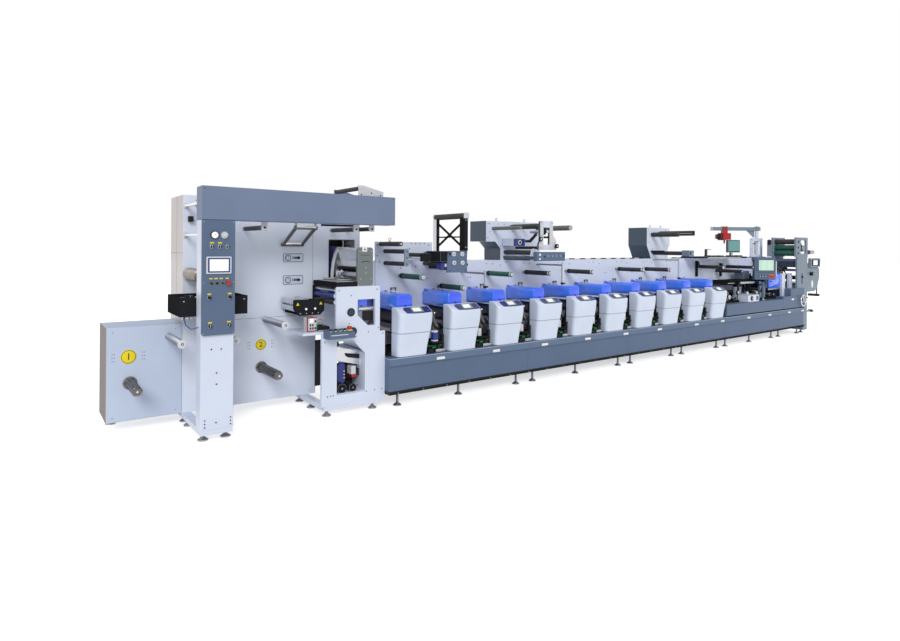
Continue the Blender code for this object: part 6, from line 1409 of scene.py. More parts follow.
def overhead_detail():
    """Rollers, bracket, motor, switch strip, knobs, screws and lifting eyes of the two overhead units."""
    kit = Kit("overhead")
    kit.start_at(low("overhead_unit_1")[0])
    for x, z, radius, length, look in ((0.115, 1.84, 0.022, 0.51, "grey rubber"), (0.43, 1.866, 0.032, 0.52,
            "black rubber"), (0.51, 1.6, 0.018, 0.52, "black rubber"), (0.59, 1.88, 0.014, 0.52, "black"),
            (0.32, 1.54, 0.028, 0.48, "black rubber"), (0.32, 1.463, 0.02, 0.48, "black rubber"),
            (0.9, 1.855, 0.032, 0.59, "grey rubber")):
        web_roller(kit, look, x, z, radius, length)
    near = PANEL_Y - 0.59
    kit["dull steel"].turned("Y", (0.9, near, 1.855), ((-0.004, 0.018), (-0.003, 0.03), (0.003, 0.0334)), 32)
    plate = ((0.3, 1.44), (0.375, 1.44), (0.375, 1.585), (0.345, 1.59), (0.31, 1.56), (0.295, 1.5))
    kit["cap"].face_plate(plate, 0.158, 0.174, 0.003)
    cut_rim = ((0.376, 1.573), (0.376, 1.64), (0.4, 1.69), (0.4, 1.93), (0.455, 1.93), (0.455, 1.573))
    kit["cap"].face_plate(cut_rim, BRACKET - 0.0012, BRACKET - 0.0002, 0.0004)
    cut_rim = ((0.56, 1.573), (0.56, 1.93), (0.62, 1.93), (0.62, 1.76), (0.68, 1.69), (0.68, 1.573))
    kit["cap"].face_plate(cut_rim, BRACKET - 0.0012, BRACKET - 0.0002, 0.0004)
    kit["black"].block(0.456, 0.5, BRACKET + 0.002, BRACKET + 0.08, 1.76, 1.848, 0.003)
    kit["black"].block(0.456, 0.559, BRACKET + 0.004, BRACKET + 0.04, 1.718, 1.742, 0.003)
    kit["alloy"].bar("Y", (0.53, 0.0, 1.8), BRACKET - 0.002, BRACKET + 0.3, 0.018)
    for x, z in ((0.386, 1.706), (0.668, 1.622)):
        kit["soft black"].turned("Y", (x, BRACKET, z), ((-0.034, 0.022), (-0.032, 0.027), (-0.012, 0.027),
            (-0.01, 0.016), (0.0, 0.016)), 28)
        kit["cap"].turned("Y", (x, BRACKET, z), ((-0.0365, 0.01), (-0.034, 0.012)), 20)
    kit["navy"].block(0.268, 0.412, (BRACKET + PANEL_Y) / 2 - 0.0008, 0.43, 1.6185, 1.7135, 0.006)
    kit["white"].block(0.268, 0.412, 0.431, PANEL_Y - 0.001, 1.6185, 1.7135, 0.006)
    kit["cap"].turned("Y", (0.32, (BRACKET + PANEL_Y) / 2, 1.666), ((-0.006, 0.026), (-0.004, 0.03),
        (0.0, 0.03)), 28)
    kit["soft black"].turned("Y", (0.32, (BRACKET + PANEL_Y) / 2, 1.666), ((-0.0075, 0.016), (-0.005, 0.018)),
        24)
    kit["soft black"].slab("XZ", ((0.415, 1.7), (0.52, 1.7), (0.64, 1.8), (0.64, 1.76), (0.53, 1.665),
        (0.415, 1.665)), -0.42, -0.39, 0.003)
    x0, x1, z0, z1 = 0.245, 0.73, 1.44, 1.55
    kit["slate"].round_plate((x0 - 0.001, x1 + 0.001, z0 + 0.001, z1 + 0.001, 0.004), -0.0022, 0.0605, 0.0015)
    kit["label"].turned("Y", (x0 + 0.045, 0.0, z1 - 0.034), ((-0.012, 0.013), (-0.01, 0.015),
        (-0.002, 0.015)), 28)
    kit["label"].turned("Y", (x0 + 0.045, 0.0, z0 + 0.026), ((-0.012, 0.01), (-0.01, 0.012), (-0.002, 0.012)),
        28)
    kit["soft black"].turned("Y", (x0 + 0.125, 0.0, z0 + 0.055), ((-0.01, 0.008), (-0.002, 0.009)), 20)
    for dx in (0.185, 0.255, 0.325, 0.4):
        kit["grey"].turned("Y", (x0 + dx, 0.0, z0 + 0.06), ((-0.014, 0.014), (-0.012, 0.0165),
            (-0.004, 0.0165), (-0.004, 0.02), (-0.002, 0.02)), 28)
    kit["soft black"].block(x1 - 0.03, x1 - 0.01, -0.004, -0.002, z0 + 0.045, z0 + 0.075, 0.0006)
    for x in (0.22, 0.71):
        eye_bolt(kit, x, PANEL_Y + 0.06, 1.935)
    screw_rows(kit["soft black"], [(dx, PANEL_Y, z) for dx, z in ((0.03, 1.9), (0.03, 1.72), (0.06, 1.9),
        (0.2, 1.9), (0.24, 1.62), (0.3, 1.9), (0.9, 1.9), (0.9, 1.48), (0.8, 1.48), (0.06, 1.8))], 0.006,
        0.003)
    screw_rows(kit["soft black"], [(dx, BRACKET - 0.001, z) for dx, z in ((0.42, 1.91), (0.6, 1.91),
        (0.4, 1.6), (0.65, 1.6), (0.43, 1.75))], 0.006, 0.003)
    kit.start_at(low("overhead_unit_2")[0])
    for x, z, radius, length, look in ((0.136, 1.822, 0.036, 0.47, "black rubber"), (0.33, 1.862, 0.018, 0.6,
            "black rubber"), (0.33, 1.822, 0.018, 0.6, "black rubber"), (0.18, 1.53, 0.03, 0.52,
            "black rubber")):
        web_roller(kit, look, x, z, radius, length)
    kit["black"].round_plate((0.3105, 0.3495, 1.802, 1.882, 0.018), 0.037, 0.0535)
    kit["pale slate"].round_plate((0.149, 0.271, 1.484, 1.576, 0.012), 0.003, 0.1305, 0.003)
    kit["soft black"].turned("Y", (0.18, 0.0035, 1.53), ((-0.003, 0.018), (0.0, 0.02)), 24)
    kit["cap"].turned("Y", (0.24, 0.0035, 1.53), ((-0.003, 0.009), (0.0, 0.01)), 20)
    kit["soft black"].bar("Y", (0.12, 0.0, 1.555), 0.42, NEAR_PANEL, 0.016)
    for x in (0.17, 0.45):
        eye_bolt(kit, x, PANEL_Y + 0.06, 1.935)
    screw_rows(kit["soft black"], [(dx, PANEL_Y, z) for dx, z in ((0.04, 1.9), (0.04, 1.7), (0.15, 1.6),
        (0.5, 1.9), (0.55, 1.64), (0.14, 1.46), (0.5, 1.46))], 0.006, 0.003)
    kit.make()


# Right end

def spun(kit, place, angle):
    """Turn every form of a kit about the upright through a place."""
    c, s = math.cos(angle), math.sin(angle)
    turn = np.array(((c, s, 0), (-s, c, 0), (0, 0, 1)))
    centre = np.array((*place, 0.0))
    for form in kit.forms.values():
        form.points = [(points - centre) @ turn + centre for points in form.points]


def plinth_detail():
    """White pillars, riser, seams, screws and post foot of the end plinth."""
    kit = Kit("plinth")
    for inset in (0.648, 0.358):
        x = BED_END - inset
        kit["white"].block(x - SKIN, x + 0.13 + SKIN, 0.125 - SKIN, 0.165 + SKIN, PLINTH_TOP + 0.0005, 1.1518,
            0.004)
        screw_rows(kit["soft black"], [(x + 0.065, 0.124, z) for z in (0.78, 0.95, 1.12)], 0.007, 0.004)
    kit["slate"].block(BED_END - 0.551, BED_END - 0.0004, 0.006, 0.1996, BED_TOP + 0.2425, 0.8678, 0.003)
    kit["slate"].block(BED_END - 0.551, BED_END - 0.0004, 0.199, 0.6005, PLINTH_TOP + 0.0005, 0.8684, 0.003)
    # Black strip where the plinth meets the bed: a painted shadow.
    kit["black"].block(low("end_plinth")[0] + 0.002, BED_END - 0.002, 0.0042, 0.0062, BED_TOP + 0.0005,
        BED_TOP + 0.019, 0.0004)
    block = BED_END - 0.85
    kit["deep slate"].block(block - 0.0012, block + 0.0012, 0.005, 0.009, BED_TOP + 0.002, PLINTH_TOP - 0.002,
        0.0002)
    screw_rows(kit["deep slate"], [(x, 0.006, z) for x in (block + 0.04, BED_END - 0.3) for z in (0.53, 0.7)],
        0.006, 0.003)
    kit["label"].round_plate((11.02, 11.115, 0.655, 0.688, 0.003), 0.0045, 0.0058, 0.0003)
    kit["dull steel"].block(11.06, 11.3, 0.3, 0.44, 0.8685, 0.875, 0.002)
    kit["red"].block(11.29, 11.42, 0.23, 0.3, 0.8685, 0.899, 0.006)
    kit["label"].block(11.31, 11.4, 0.2285, 0.23, 0.875, 0.893, 0.0004)
    post = 10.143
    kit["dull steel"].turned("Z", (post, 0.115, PLINTH_TOP), ((0.0005, 0.0465), (0.01, 0.0465),
        (0.018, 0.026), (0.026, 0.0228)), 32)
    kit["black"].turned("Z", (post, 0.115, 0.0), ((1.02, 0.0235), (1.024, 0.027), (1.052, 0.027),
        (1.059, 0.024)), 32)
    kit.make()


def module_detail():
    """Rollers, slotted plates, boxes, knobs and bars of the modules on the plinth."""
    kit = Kit("modules")
    left, _, base = low("converting_modules")
    kit.start_at(left, 0.0, base)
    back = PANEL_Y - 0.001
    for x, z, radius, look in ((0.22, 0.095, 0.035, "chrome"), (0.5, 0.165, 0.035, "black rubber"),
            (0.82, 0.135, 0.035, "steel"), (1.15, 0.135, 0.035, "chrome"),
            (1.36, 0.165, 0.035, "black rubber")):
        kit[look].bar("Y", (x, 0.0, z), 0.1735, back, radius + SKIN, 0.002, 32)
        kit["cap"].bar("Y", (x, 0.0, z), 0.17, 0.174, radius * 0.7)
    for x in (0.438, 1.3):
        for y in (0.2, 0.55):
            right = x + 0.21
            rim = 0.0008
            kit["grey"].round_plate((x - rim, x + 0.067, 0.036, 0.2558, 0.004), y - 0.0012, y + 0.0312)
            kit["grey"].round_plate((right - 0.067, right + rim, 0.036, 0.2558, 0.004), y - 0.0012,
                y + 0.0312)
            kit["soft black"].round_plate((x + 0.078, right - 0.078, 0.06, 0.15, 0.012), y - 0.0022,
                y - 0.0002, 0.0006)
            kit["dull steel"].turned("Y", (x + 0.105, y, 0.175), ((-0.012, 0.018), (-0.01, 0.022),
                (0.0, 0.022)), 28)
            screw_rows(kit["soft black"], [(x + dx, y - 0.0012, dz) for dx in (0.018, 0.192)
                for dz in (0.06, 0.14, 0.23)], 0.006, 0.004)
    x0, x1 = 0.53, 0.94
    kit["white"].block(x0 - SKIN, x1 + SKIN, 0.03 - SKIN, 0.3, 0.0004, 0.1257, 0.005)
    middle = (x0 + x1) / 2 - 0.06
    kit["soft black"].turned("Y", (middle, 0.03, 0.066), ((-0.0085, 0.036), (-0.007, 0.0405),
        (-0.0002, 0.0405)), 40)
    kit["dull steel"].turned("Y", (middle, 0.03, 0.066), ((-0.014, 0.012), (-0.012, 0.015), (-0.008, 0.015)),
        28)
    kit["navy"].round_plate((x1 - 0.11, x1 - 0.03, 0.03, 0.1, 0.004), 0.0276, 0.0292, 0.0004)
    screw_rows(kit["soft black"], [(x, 0.0293, z) for x in (x0 + 0.02, x1 - 0.015) for z in (0.018, 0.108)],
        0.005, 0.003)
    kit["black"].block(0.33 - SKIN, 1.22 + SKIN, 0.3 - SKIN, 0.586, 0.2848, 0.3506, 0.003)
    kit["chrome"].bar("X", (0.0, 0.292, 0.318), 0.36, 1.19, 0.01)
    kit["black"].block(0.33, 1.215, 0.23, 0.586, 0.3508, 0.364, 0.003)
    kit["cap"].bar("X", (0.0, 0.262, 0.316), 0.7, 1.215, 0.02)
    kit["soft black"].bar("X", (0.0, 0.262, 0.316), 0.64, 0.699, 0.024)
    kit["navy"].block(1.262, 1.52, 0.195, 0.25, 0.275, 0.335, 0.004)
    kit["pale slate"].block(1.09, 1.33, 0.4, 0.56, 0.3645, 0.515, 0.005)
    screw_rows(kit["soft black"], [(x, 0.4, z) for x in (1.11, 1.31) for z in (0.385, 0.495)], 0.006, 0.003)
    for dx, dz, radius in ((0.08, 0.115, 0.024), (0.33, 0.075, 0.03), (1.05, 0.09, 0.028), (1.58, 0.09, 0.03),
            (1.76, 0.07, 0.026)):
        kit["dull steel"].bar("Y", (dx, 0.0, dz), 0.15, back, radius, 0.002, 28)
        kit["soft black"].turned("Y", (dx, 0.15, dz), ((-0.022, radius * 0.5), (-0.02, radius * 0.7),
            (0.0, radius * 0.7)), 24)
        kit["black"].block(dx - 0.018, dx + 0.018, 0.19, 0.23, 0.0345, dz, 0.003)
    kit["lever"].round_plate((0.1, 0.19, 0.036, 0.185, 0.01), 0.175, 0.19, 0.002)
    kit["slate"].block(0.015, 0.09, 0.18, 0.32, 0.036, 0.2, 0.006)
    kit.start_at()
    guard = low("end_guard")
    kit["dull steel"].block(guard[0] + 0.01, guard[0] + 0.43, 0.168, 0.172, guard[2] - 0.028,
        guard[2] - 0.003, 0.001)
    kit["black"].block(guard[0] - 0.008, guard[0] - 0.001, guard[1] + 0.02, high("end_guard")[1] - 0.01,
        guard[2] + 0.004, high("end_guard")[2] - 0.004, 0.002)
    kit["grey"].block(guard[0] - 0.02, guard[0] - 0.0085, guard[1] + 0.03, guard[1] + 0.08, guard[2] + 0.01,
        guard[2] + 0.15, 0.003)
    kit.make()


def handwheel_piece():
    """Chromed handwheel: round rim, three tapered spokes, stepped hub and a turned crank grip."""
    lo, hi = low("handwheel"), high("handwheel")
    x, z = (lo[0] + hi[0]) / 2, (lo[2] + hi[2]) / 2
    rim = (hi[2] - lo[2]) / 2
    y = -0.03
    form = Form()
    form.hoop("Y", (x, y, z), rim - 0.01, 0.0098, 64, 14)
    form.turned("Y", (x, y, z), ((-0.0155, 0.015), (-0.014, 0.0195), (0.012, 0.0195), (0.014, 0.0165),
        (0.0357, 0.0165)), 32)
    for k in range(3):
        turn = 2 * math.pi * k / 3
        reach = np.array((0.014, 0.5 * rim, rim - 0.012))
        path = [(x + r * math.sin(turn), y, z + r * math.cos(turn)) for r in reach]
        form.tube(path, 0.0072, 14)
    form.piece("handwheel_rim", "chrome", "handwheel", replaces=("handwheel",))
    trim = Kit("handwheel_trim", "handwheel")
    trim["soft black"].turned("Y", (x, y, z), ((-0.017, 0.008), (-0.015, 0.0115), (-0.0145, 0.0115)), 24)
    grip = math.radians(60)
    at = (x + (rim - 0.01) * math.sin(grip), y, z + (rim - 0.01) * math.cos(grip))
    trim["soft black"].turned("Y", at, ((-0.04, 0.005), (-0.038, 0.0085), (-0.03, 0.01), (-0.018, 0.008),
        (-0.0105, 0.0068)), 24)
    trim.make()


def end_detail():
    """Screws, rims, screen, knobs, table and rollers of the end frame and the unwind head."""
    kit = Kit("end")
    kit.start_at(BED_END - 0.27)
    right = 0.43
    front = 0.02
    for x, z, radius, look in ((0.3, 1.2, 0.03, "chrome"), (0.24, 1.06, 0.04, "black rubber"),
            (0.3, 0.95, 0.035, "chrome")):
        kit[look].bar("Y", (x, 0.0, z), 0.0505, 0.4595, radius + SKIN, 0.002, 32)
    kit["deep slate"].block(0.0294, 0.2506, 0.0505, 0.4595, 1.2594, 1.38, 0.002)
    kit["slate"].block(0.0294, 0.2506, 0.0505, 0.4595, 1.3805, 1.4206, 0.002)
    kit["black"].tube([(-0.3, 0.3, 1.335), (-0.12, 0.24, 1.25), (-0.03, 0.2, 1.12), (-0.03, 0.19, 0.9)],
        0.011, 12)
    kit["black"].bar("Y", (-0.03, 0.0, 1.24), 0.19, 0.26, 0.022)
    x0, x1, z0, z1 = 0.18, 0.24, 0.945, 1.145
    rim = 0.007
    for a0, a1, b0, b1 in rim_strips(x0, x1, z0, z1, rim):
        kit["dull steel"].block(a0, a1, front - 0.0015, front - 0.0002, b0, b1, 0.0004)
    kit["soft black"].bar("Y", ((x0 + x1) / 2, 0.0, 1.08), front - 0.02, front + 0.06, 0.016)
    dots = [(dx, front, z) for dx in (0.025, 0.4) for z in (0.9, 1.05, 1.22, 1.43)]
    dots += [(right - 0.08, front, z) for z in (0.16, 0.4, 0.66)]
    screw_rows(kit["soft black"], dots, 0.0065, 0.003)
    kit["grey"].round_plate((right + 0.1085, right + 0.5315, 1.2605, 1.4315, 0.006), -0.0005 - SKIN, 0.0475,
        0.003)
    kit["soft black"].round_plate((right + 0.15, right + 0.5, 1.285, 1.407, 0.004), -0.003, -0.0005, 0.0006)
    kit["screen"].round_plate((right + 0.215, right + 0.405, 1.3, 1.392, 0.002), -0.0042, -0.0028, 0.0004)
    kit["soft black"].bar("Y", (right + 0.2, 0.0, 1.13), -0.01, 0.0465, 0.034, 0.004, 32)
    kit["dull steel"].bar("Y", (right + 0.2, 0.0, 1.13), -0.016, -0.009, 0.016, 0.002, 24)
    hole = [(right + 0.29 + 0.045 * math.cos(a), 0.925 + 0.075 * math.sin(a)) for a in np.linspace(0.0,
        2 * np.pi, 24, endpoint=False)]
    kit["label"].face_plate(hole, 0.045, 0.0468, 0.0004)
    for dx, dz in ((0.44, 1.18), (0.52, 1.09), (0.5, 0.96), (0.42, 0.86), (0.12, 0.86), (0.06, 1.0)):
        kit["dull steel"].turned("Y", (right + dx, 0.047, dz), ((-0.0022, 0.014), (-0.0015, 0.017),
            (0.0002, 0.017)), 24)
    for x, z, length in ((0.52, 0.7, 0.21), (0.23, 0.406, 0.09)):
        kit["black rubber"].bar("Y", (right + x, 0.0, z), 0.0075, length + 0.0008, 0.0258, 0.002, 32)
        kit["cap"].bar("Y", (right + x, 0.0, z), -0.0012, 0.007, 0.0225, 0.002, 28)
    kit.make()
    head = Kit("unwinder")
    left, base = low("unwind_head")[0], 1.459
    head.start_at(left, 0.0, base)
    wide = high("unwind_head")[0] - left
    for x, z, radius, look in ((0.09, 0.071, 0.054, "green rubber"), (0.1, 0.178, 0.048, "green rubber"),
            (0.11, 0.289, 0.05, "black rubber"), (0.34, 0.161, 0.06, "dull steel")):
        near = 0.052 if x < 0.2 else 0.024
        head[look].bar("Y", (x, 0.0, z), near, 0.438, radius + SKIN, 0.003, 40)
    for x, z, radius in ((0.09, 0.071, 0.02), (0.1, 0.178, 0.018), (0.11, 0.289, 0.022)):
        head["soft black"].turned("Y", (x, front, z), ((-0.0075, radius * 0.8), (-0.006, radius),
            (-0.0002, radius)), 28)
    head["green rubber"].bar("Y", (0.255, 0.0, 0.1), 0.056, 0.436, 0.03, 0.002, 28)
    head["soft black"].slab("XZ", ((0.205, 0.285), (0.235, 0.325), (0.425, 0.13), (0.395, 0.095)), -0.075,
        -0.052, 0.004)
    head["alloy"].block(0.24, 0.3, 0.054, 0.43, 0.3, 0.335, 0.004)
    head["grey"].block(-0.156, -0.001, 0.45, 0.478, 0.0008, 0.321, 0.004)
    head["soft black"].bar("Y", (-0.15, 0.0, 0.279), 0.42, 0.4495, 0.052, 0.004, 32)
    z, radius = 0.091, 0.036
    head["soft black"].bar("X", (0.0, 0.035, z), wide - 0.25, wide - 0.19, radius + 0.006, 0.003, 32)
    head["dull steel"].bar("X", (0.0, 0.035, z), wide - 0.188, wide + 0.001, radius + SKIN, 0.003, 32)
    screw_rows(head["soft black"], [(dx, front, dz) for dx, dz in ((0.025, 0.025), (0.025, 0.345),
        (0.475, 0.025), (0.475, 0.345), (0.025, 0.185), (0.16, 0.345), (0.34, 0.345))], 0.0065, 0.003)
    head.make()


def shelf_detail():
    """Black shelf, its stop, the monitor with its screen and the lifting cylinder by the jib's post."""
    kit = Kit("shelf")
    left, right = BED_END - 3.03, BED_END - 1.64
    top = 1.47
    kit["black"].block(left - SKIN, right + SKIN, 0.28 - SKIN, 0.7106, 1.4404, top + SKIN, 0.002)
    stop = BED_END - 2.98
    kit["black"].block(stop - SKIN, stop + 0.0406, 0.282, 0.3106, top, top + 0.1286, 0.003)
    kit["dull steel"].block(stop + 0.041, stop + 0.1556, 0.2854, 0.3076, top + 0.1124, top + 0.1286, 0.002)
    kit["alloy"].block(left + 0.1, right - 0.2, 0.276, 0.2795, 1.45, 1.462, 0.001)
    for dx in (0.22, 0.34, 0.52, 0.6, 0.92, 1.1, 1.22):
        kit["soft black"].block(left + dx, left + dx + 0.045, 0.3, 0.42, top + 0.0007, top + 0.022, 0.004)
        kit["dull steel"].bar("Y", (left + dx + 0.022, 0.0, top + 0.012), 0.286, 0.301, 0.007)
    x0, x1, z0, z1 = BED_END - 2.25, BED_END - 1.85, 1.54, 1.763
    middle = (x0 + x1) / 2
    kit["soft black"].block(x0 - 0.001, x1 + 0.001, 0.299, 0.341, z0 - 0.001, z1 + 0.001, 0.007)
    kit["teal screen"].round_plate((x0 + 0.022, x1 - 0.022, z0 + 0.024, z1 - 0.018, 0.003), 0.2972, 0.2992,
        0.0005)
    kit["soft black"].block(middle - 0.0306, middle + 0.0306, 0.3405, 0.3706, top, 1.6516, 0.003)
    kit["soft black"].block(middle - 0.055, middle + 0.055, 0.3, 0.42, top + 0.0007, top + 0.016, 0.004)
    cylinder = BED_END - 0.54
    kit["alloy"].bar("Z", (cylinder, 0.72, 0.0), 1.4405, 1.7, 0.0428, 0.002, 36)
    kit["chrome"].bar("Z", (cylinder, 0.72, 0.0), 1.7005, 1.7906, 0.0426, 0.002, 36)
    kit["soft black"].bar("Z", (cylinder, 0.72, 0.0), 1.7, 1.716, 0.0445, 0.002, 36)
    x0, x1 = BED_END - 0.74, BED_END - 0.29
    screw_rows(kit["soft black"], [(x, 0.656, z) for x in (x0 + 0.03, x1 - 0.03) for z in (1.47, 1.6, 1.79)],
        0.006, 0.003)
    for x, z0, z1 in ((8.866, 1.12, 1.39), (9.65, 1.11, 1.345)):
        kit["black"].block(x - 0.014, x + 0.014, 0.61, 0.6493, z0, z1, 0.003)
        kit["soft black"].turned("Y", (x, 0.61, z1 - 0.05), ((-0.03, 0.014), (-0.027, 0.018), (0.0, 0.018)),
            24)
        kit["soft black"].turned("Y", (x + 0.055, 0.6493, z1 - 0.02), ((-0.026, 0.011), (-0.023, 0.014),
            (0.0, 0.014)), 24)
    kit.make()


def jib_detail():
    """End plate, cap and bolts of the jib, and the hoist with its ribs, wheels, chain and hook."""
    centre = np.array((BED_END - 0.39, PANEL_Y + 0.07))
    rest = math.radians(143.5)
    arm = Kit("jib", "jib_arm")
    arm_z = 1.965
    arm.start_at(*centre, arm_z)
    arm["dull steel"].block(0.88, 0.9035, -0.032, 0.032, -0.004, 0.074, 0.003)
    arm["dull steel"].turned("Z", (0.0, 0.0, 0.0), ((0.0775, 0.03), (0.084, 0.03), (0.088, 0.02)), 24)
    for turn in range(6):
        a = math.pi * turn / 3
        arm["dull steel"].bolt("+Z", (0.037 * math.cos(a), 0.037 * math.sin(a), 0.078), 0.0045, 0.004)
    arm["deep slate"].block(0.1, 0.86, -0.0286, -0.0278, 0.01, 0.014, 0.0002)
    spun(arm, centre, rest)
    arm.make()
    kit = Kit("hoist", "hoist")
    kit.start_at(centre[0] + 0.64, centre[1], arm_z)
    half, low_z = 0.11, -0.05
    kit["red"].block(-half - SKIN, half - 0.075, -0.0656, 0.0656, low_z - 0.1406, low_z + SKIN, 0.013)
    kit["soft black"].block(half - 0.08, half + SKIN, -0.0656, 0.0656, low_z - 0.1406, low_z + SKIN, 0.013)
    for k in range(6):
        at = -0.085 + 0.034 * k
        kit["red"].block(at - 0.004, at + 0.004, -0.069, 0.069, low_z - 0.12, low_z - 0.02, 0.002)
    kit["soft black"].bar("X", (0.0, 0.0, low_z - 0.07), half, half + 0.0556, 0.0474, 0.004, 32)
    kit["dull steel"].bar("X", (0.0, 0.0, low_z - 0.07), half + 0.056, half + 0.06, 0.02, 0.001, 24)
    kit["red"].block(-0.0506, 0.0506, -0.0424, -0.032, low_z - 0.0104, 0.075, 0.003)
    kit["red"].block(-0.0506, 0.0506, 0.032, 0.0424, low_z - 0.0104, 0.075, 0.003)
    for side in (-1.0, 1.0):
        for dx in (-0.028, 0.028):
            kit["soft black"].turned("Y", (dx, side * 0.0425, 0.03), ((-0.006, 0.017), (-0.004, 0.02),
                (0.004, 0.02), (0.006, 0.017)), 24)
            kit["chrome"].turned("Y", (dx, side * 0.049, 0.03), ((-0.003, 0.007), (0.003, 0.007)), 16)
    for k in range(5):
        link = low_z - 0.14 - 0.0095 * k
        axis = "X" if k % 2 else "Y"
        kit["chrome"].hoop(axis, (0.0, 0.0, link - 0.004), 0.0065, 0.002, 20, 8)
    hook = low_z - 0.14 - 0.052
    turn = np.linspace(math.radians(90), math.radians(-150), 16)
    curve = [(0.0, 0.0, hook + 0.014), (0.0, 0.0, hook + 0.01)]
    curve += [(0.0105 * math.cos(a), 0.0, hook - 0.0105 + 0.0105 * math.sin(a) + 0.009) for a in turn]
    kit["soft black"].tube(curve, 0.0034, 10)
    kit["label"].block(-0.06, 0.02, -0.0702, -0.0688, low_z - 0.085, low_z - 0.055, 0.0003)
    spun(kit, centre, rest)
    kit.make()


def terminal_detail():
    """Operator terminal: bezel, pale green display, knobs, red and orange buttons and side handles."""
    centre = (BED_END - 1.397, 0.115)
    x, y = centre
    base, half = 1.06, 0.1875
    front = y - 0.62 * 0.12
    kit = Kit("terminal", "operator_terminal")
    kit.start_at(x, 0.0, base)
    kit["slate"].round_plate((-0.15, 0.166, 0.13, 0.378, 0.008), front - 0.01, front + 0.001, 0.003)
    kit["soft black"].round_plate((-0.13, 0.154, 0.156, 0.358, 0.004), front - 0.0112, front - 0.0095, 0.0005)
    kit["green screen"].round_plate((-0.12, 0.146, 0.166, 0.35, 0.003), front - 0.0122, front - 0.0108,
        0.0004)
    for dx in (-0.1, -0.05, 0.0):
        kit["soft black"].turned("Y", (dx, front, 0.06), ((-0.015, 0.016), (-0.0135, 0.0175),
            (-0.0005, 0.0175)), 28)
        kit["dull steel"].turned("Y", (dx, front, 0.06), ((-0.0185, 0.011), (-0.017, 0.0125),
            (-0.0145, 0.0125)), 28)
    kit["orange"].round_plate((0.07, 0.16, 0.03, 0.092, 0.006), front - 0.003, front - 0.0004, 0.001)
    for dx in (0.092, 0.136):
        kit["red"].turned("Y", (dx, front, 0.06), ((-0.019, 0.0165), (-0.0172, 0.0185), (-0.0028, 0.0185)),
            32)
    grip_y = front + 0.12 * 0.38
    for side in (-1, 1):
        at = side * (half + 0.03)
        kit["cap"].bar("Z", (at, grip_y, 0.0), 0.0664, 0.3336, 0.0118, 0.003, 24)
        for z in (0.0777, 0.3223):
            lo_x, hi_x = sorted((at, side * (half + 0.001)))
            kit["soft black"].bar("X", (0.0, grip_y, z), lo_x, hi_x, 0.0098)
    screw_rows(kit["soft black"], [(dx, front, dz) for dx in (-half + 0.014, half - 0.014)
        for dz in (0.016, 0.384)], 0.005, 0.003)
    kit["deep slate"].block(-half - 0.0005, half + 0.0005, y - 0.002, y - 0.0005, 0.006, 0.394, 0.0002)
    spun(kit, centre, math.radians(-36.5))
    kit.make()


# Finishes of the frame's own solids

NODE_LOOKS = {
    "rewinder_box": "box white with painted shade", "rewinder_cabinet": "cabinet white with painted light", "front_column": "white on feet",
    "control_fascia": "slate", "overhead_beam": "beam slate", "slitting_tray": "black", "nip_unit": "black",
    "front_frame": "white on feet", "die_head": "dull steel", "operator_console": "slate", "bed": "bed slate with painted light and shade",
    "main_panel": "white", "print_decks": "black", "web_guide_unit": "slate", "lattice_carrier": "black",
    "overhead_unit_1": "unit white", "overhead_unit_2": "unit white", "end_plinth": "slate",
    "converting_modules": "black", "end_frame": "grey on feet", "unwind_head": "grey", "jib_arm": "grey",
    "hoist": "red", "operator_terminal": "slate",
}


def make_node_looks():
    """Finishes that follow a solid's own bands: feet below a height and darker left sides; the bed's strips
    are painted light, painted highlight and painted shade, and the box and cabinet whites carry painted shade
    and painted light in their colour.
    """
    # The box white is the white paint darkened by painted shade; its left sides are brown steel.
    LOOKS["box white with painted shade"] = coated("box white with painted shade", (0.55, 0.625, 0.775), 0.34, tone=0.03, feet_below=0.1,
        patches=(("X", -2.0, -0.5, True, (0.36, 0.33, 0.315)),), shine=0.0)
    # The cabinet white is the white paint lightened by painted light against the shade of its recess.
    LOOKS["cabinet white with painted light"] = coated("cabinet white with painted light", (0.74, 0.8, 0.93), 0.34, tone=0.03, coat=0.05,
        feet_below=0.1, patches=(("X", -2.0, -0.5, True, (0.55, 0.505, 0.49)),))
    LOOKS["white on feet"] = coated("white on feet", WHITE, 0.34, tone=0.03, coat=0.15, feet_below=0.055)
    LOOKS["grey on feet"] = coated("grey on feet", (0.215, 0.268, 0.328), 0.4, feet_below=0.06, shine=0.15)
    LOOKS["beam slate"] = coated("beam slate", (0.18, 0.226, 0.336), 0.4, shine=0.12)
    LOOKS["unit white"] = coated("unit white", WHITE, 0.34, tone=0.03, coat=0.15,
        patches=(("X", -2.0, -0.35, True, (0.05, 0.076, 0.112)),))
    # Bed: a lighter upper band of painted light, a pale line of painted highlight along the top edge and a
    # dark foot strip of painted shade.
    LOOKS["bed slate with painted light and shade"] = coated("bed slate with painted light and shade", SLATE, 0.4, shine=0.12, feet_below=0.13,
        patches=(("Z", 0.418, 0.483, False, (0.128, 0.18, 0.275)), ("Z", 0.483, 0.4897, False,
        (0.36, 0.43, 0.53)), ("Z", 0.13, 0.165, False, (0.03, 0.035, 0.045)),))


# Studio

CAMERA_PLACE = (-0.61, -5.0)      # X and Y in machine coordinates
VIEW_TURN = -36.49                # degrees about the upright
VIEW_ROLL = -0.398
PICTURE_W = 900.0                 # pixels across the picture
PICTURE_MIDDLE = 320.5            # row of the picture's middle
HORIZON = 247.18                  # row of the horizon in the picture
FOCAL = 587.2                     # focal length in pixels


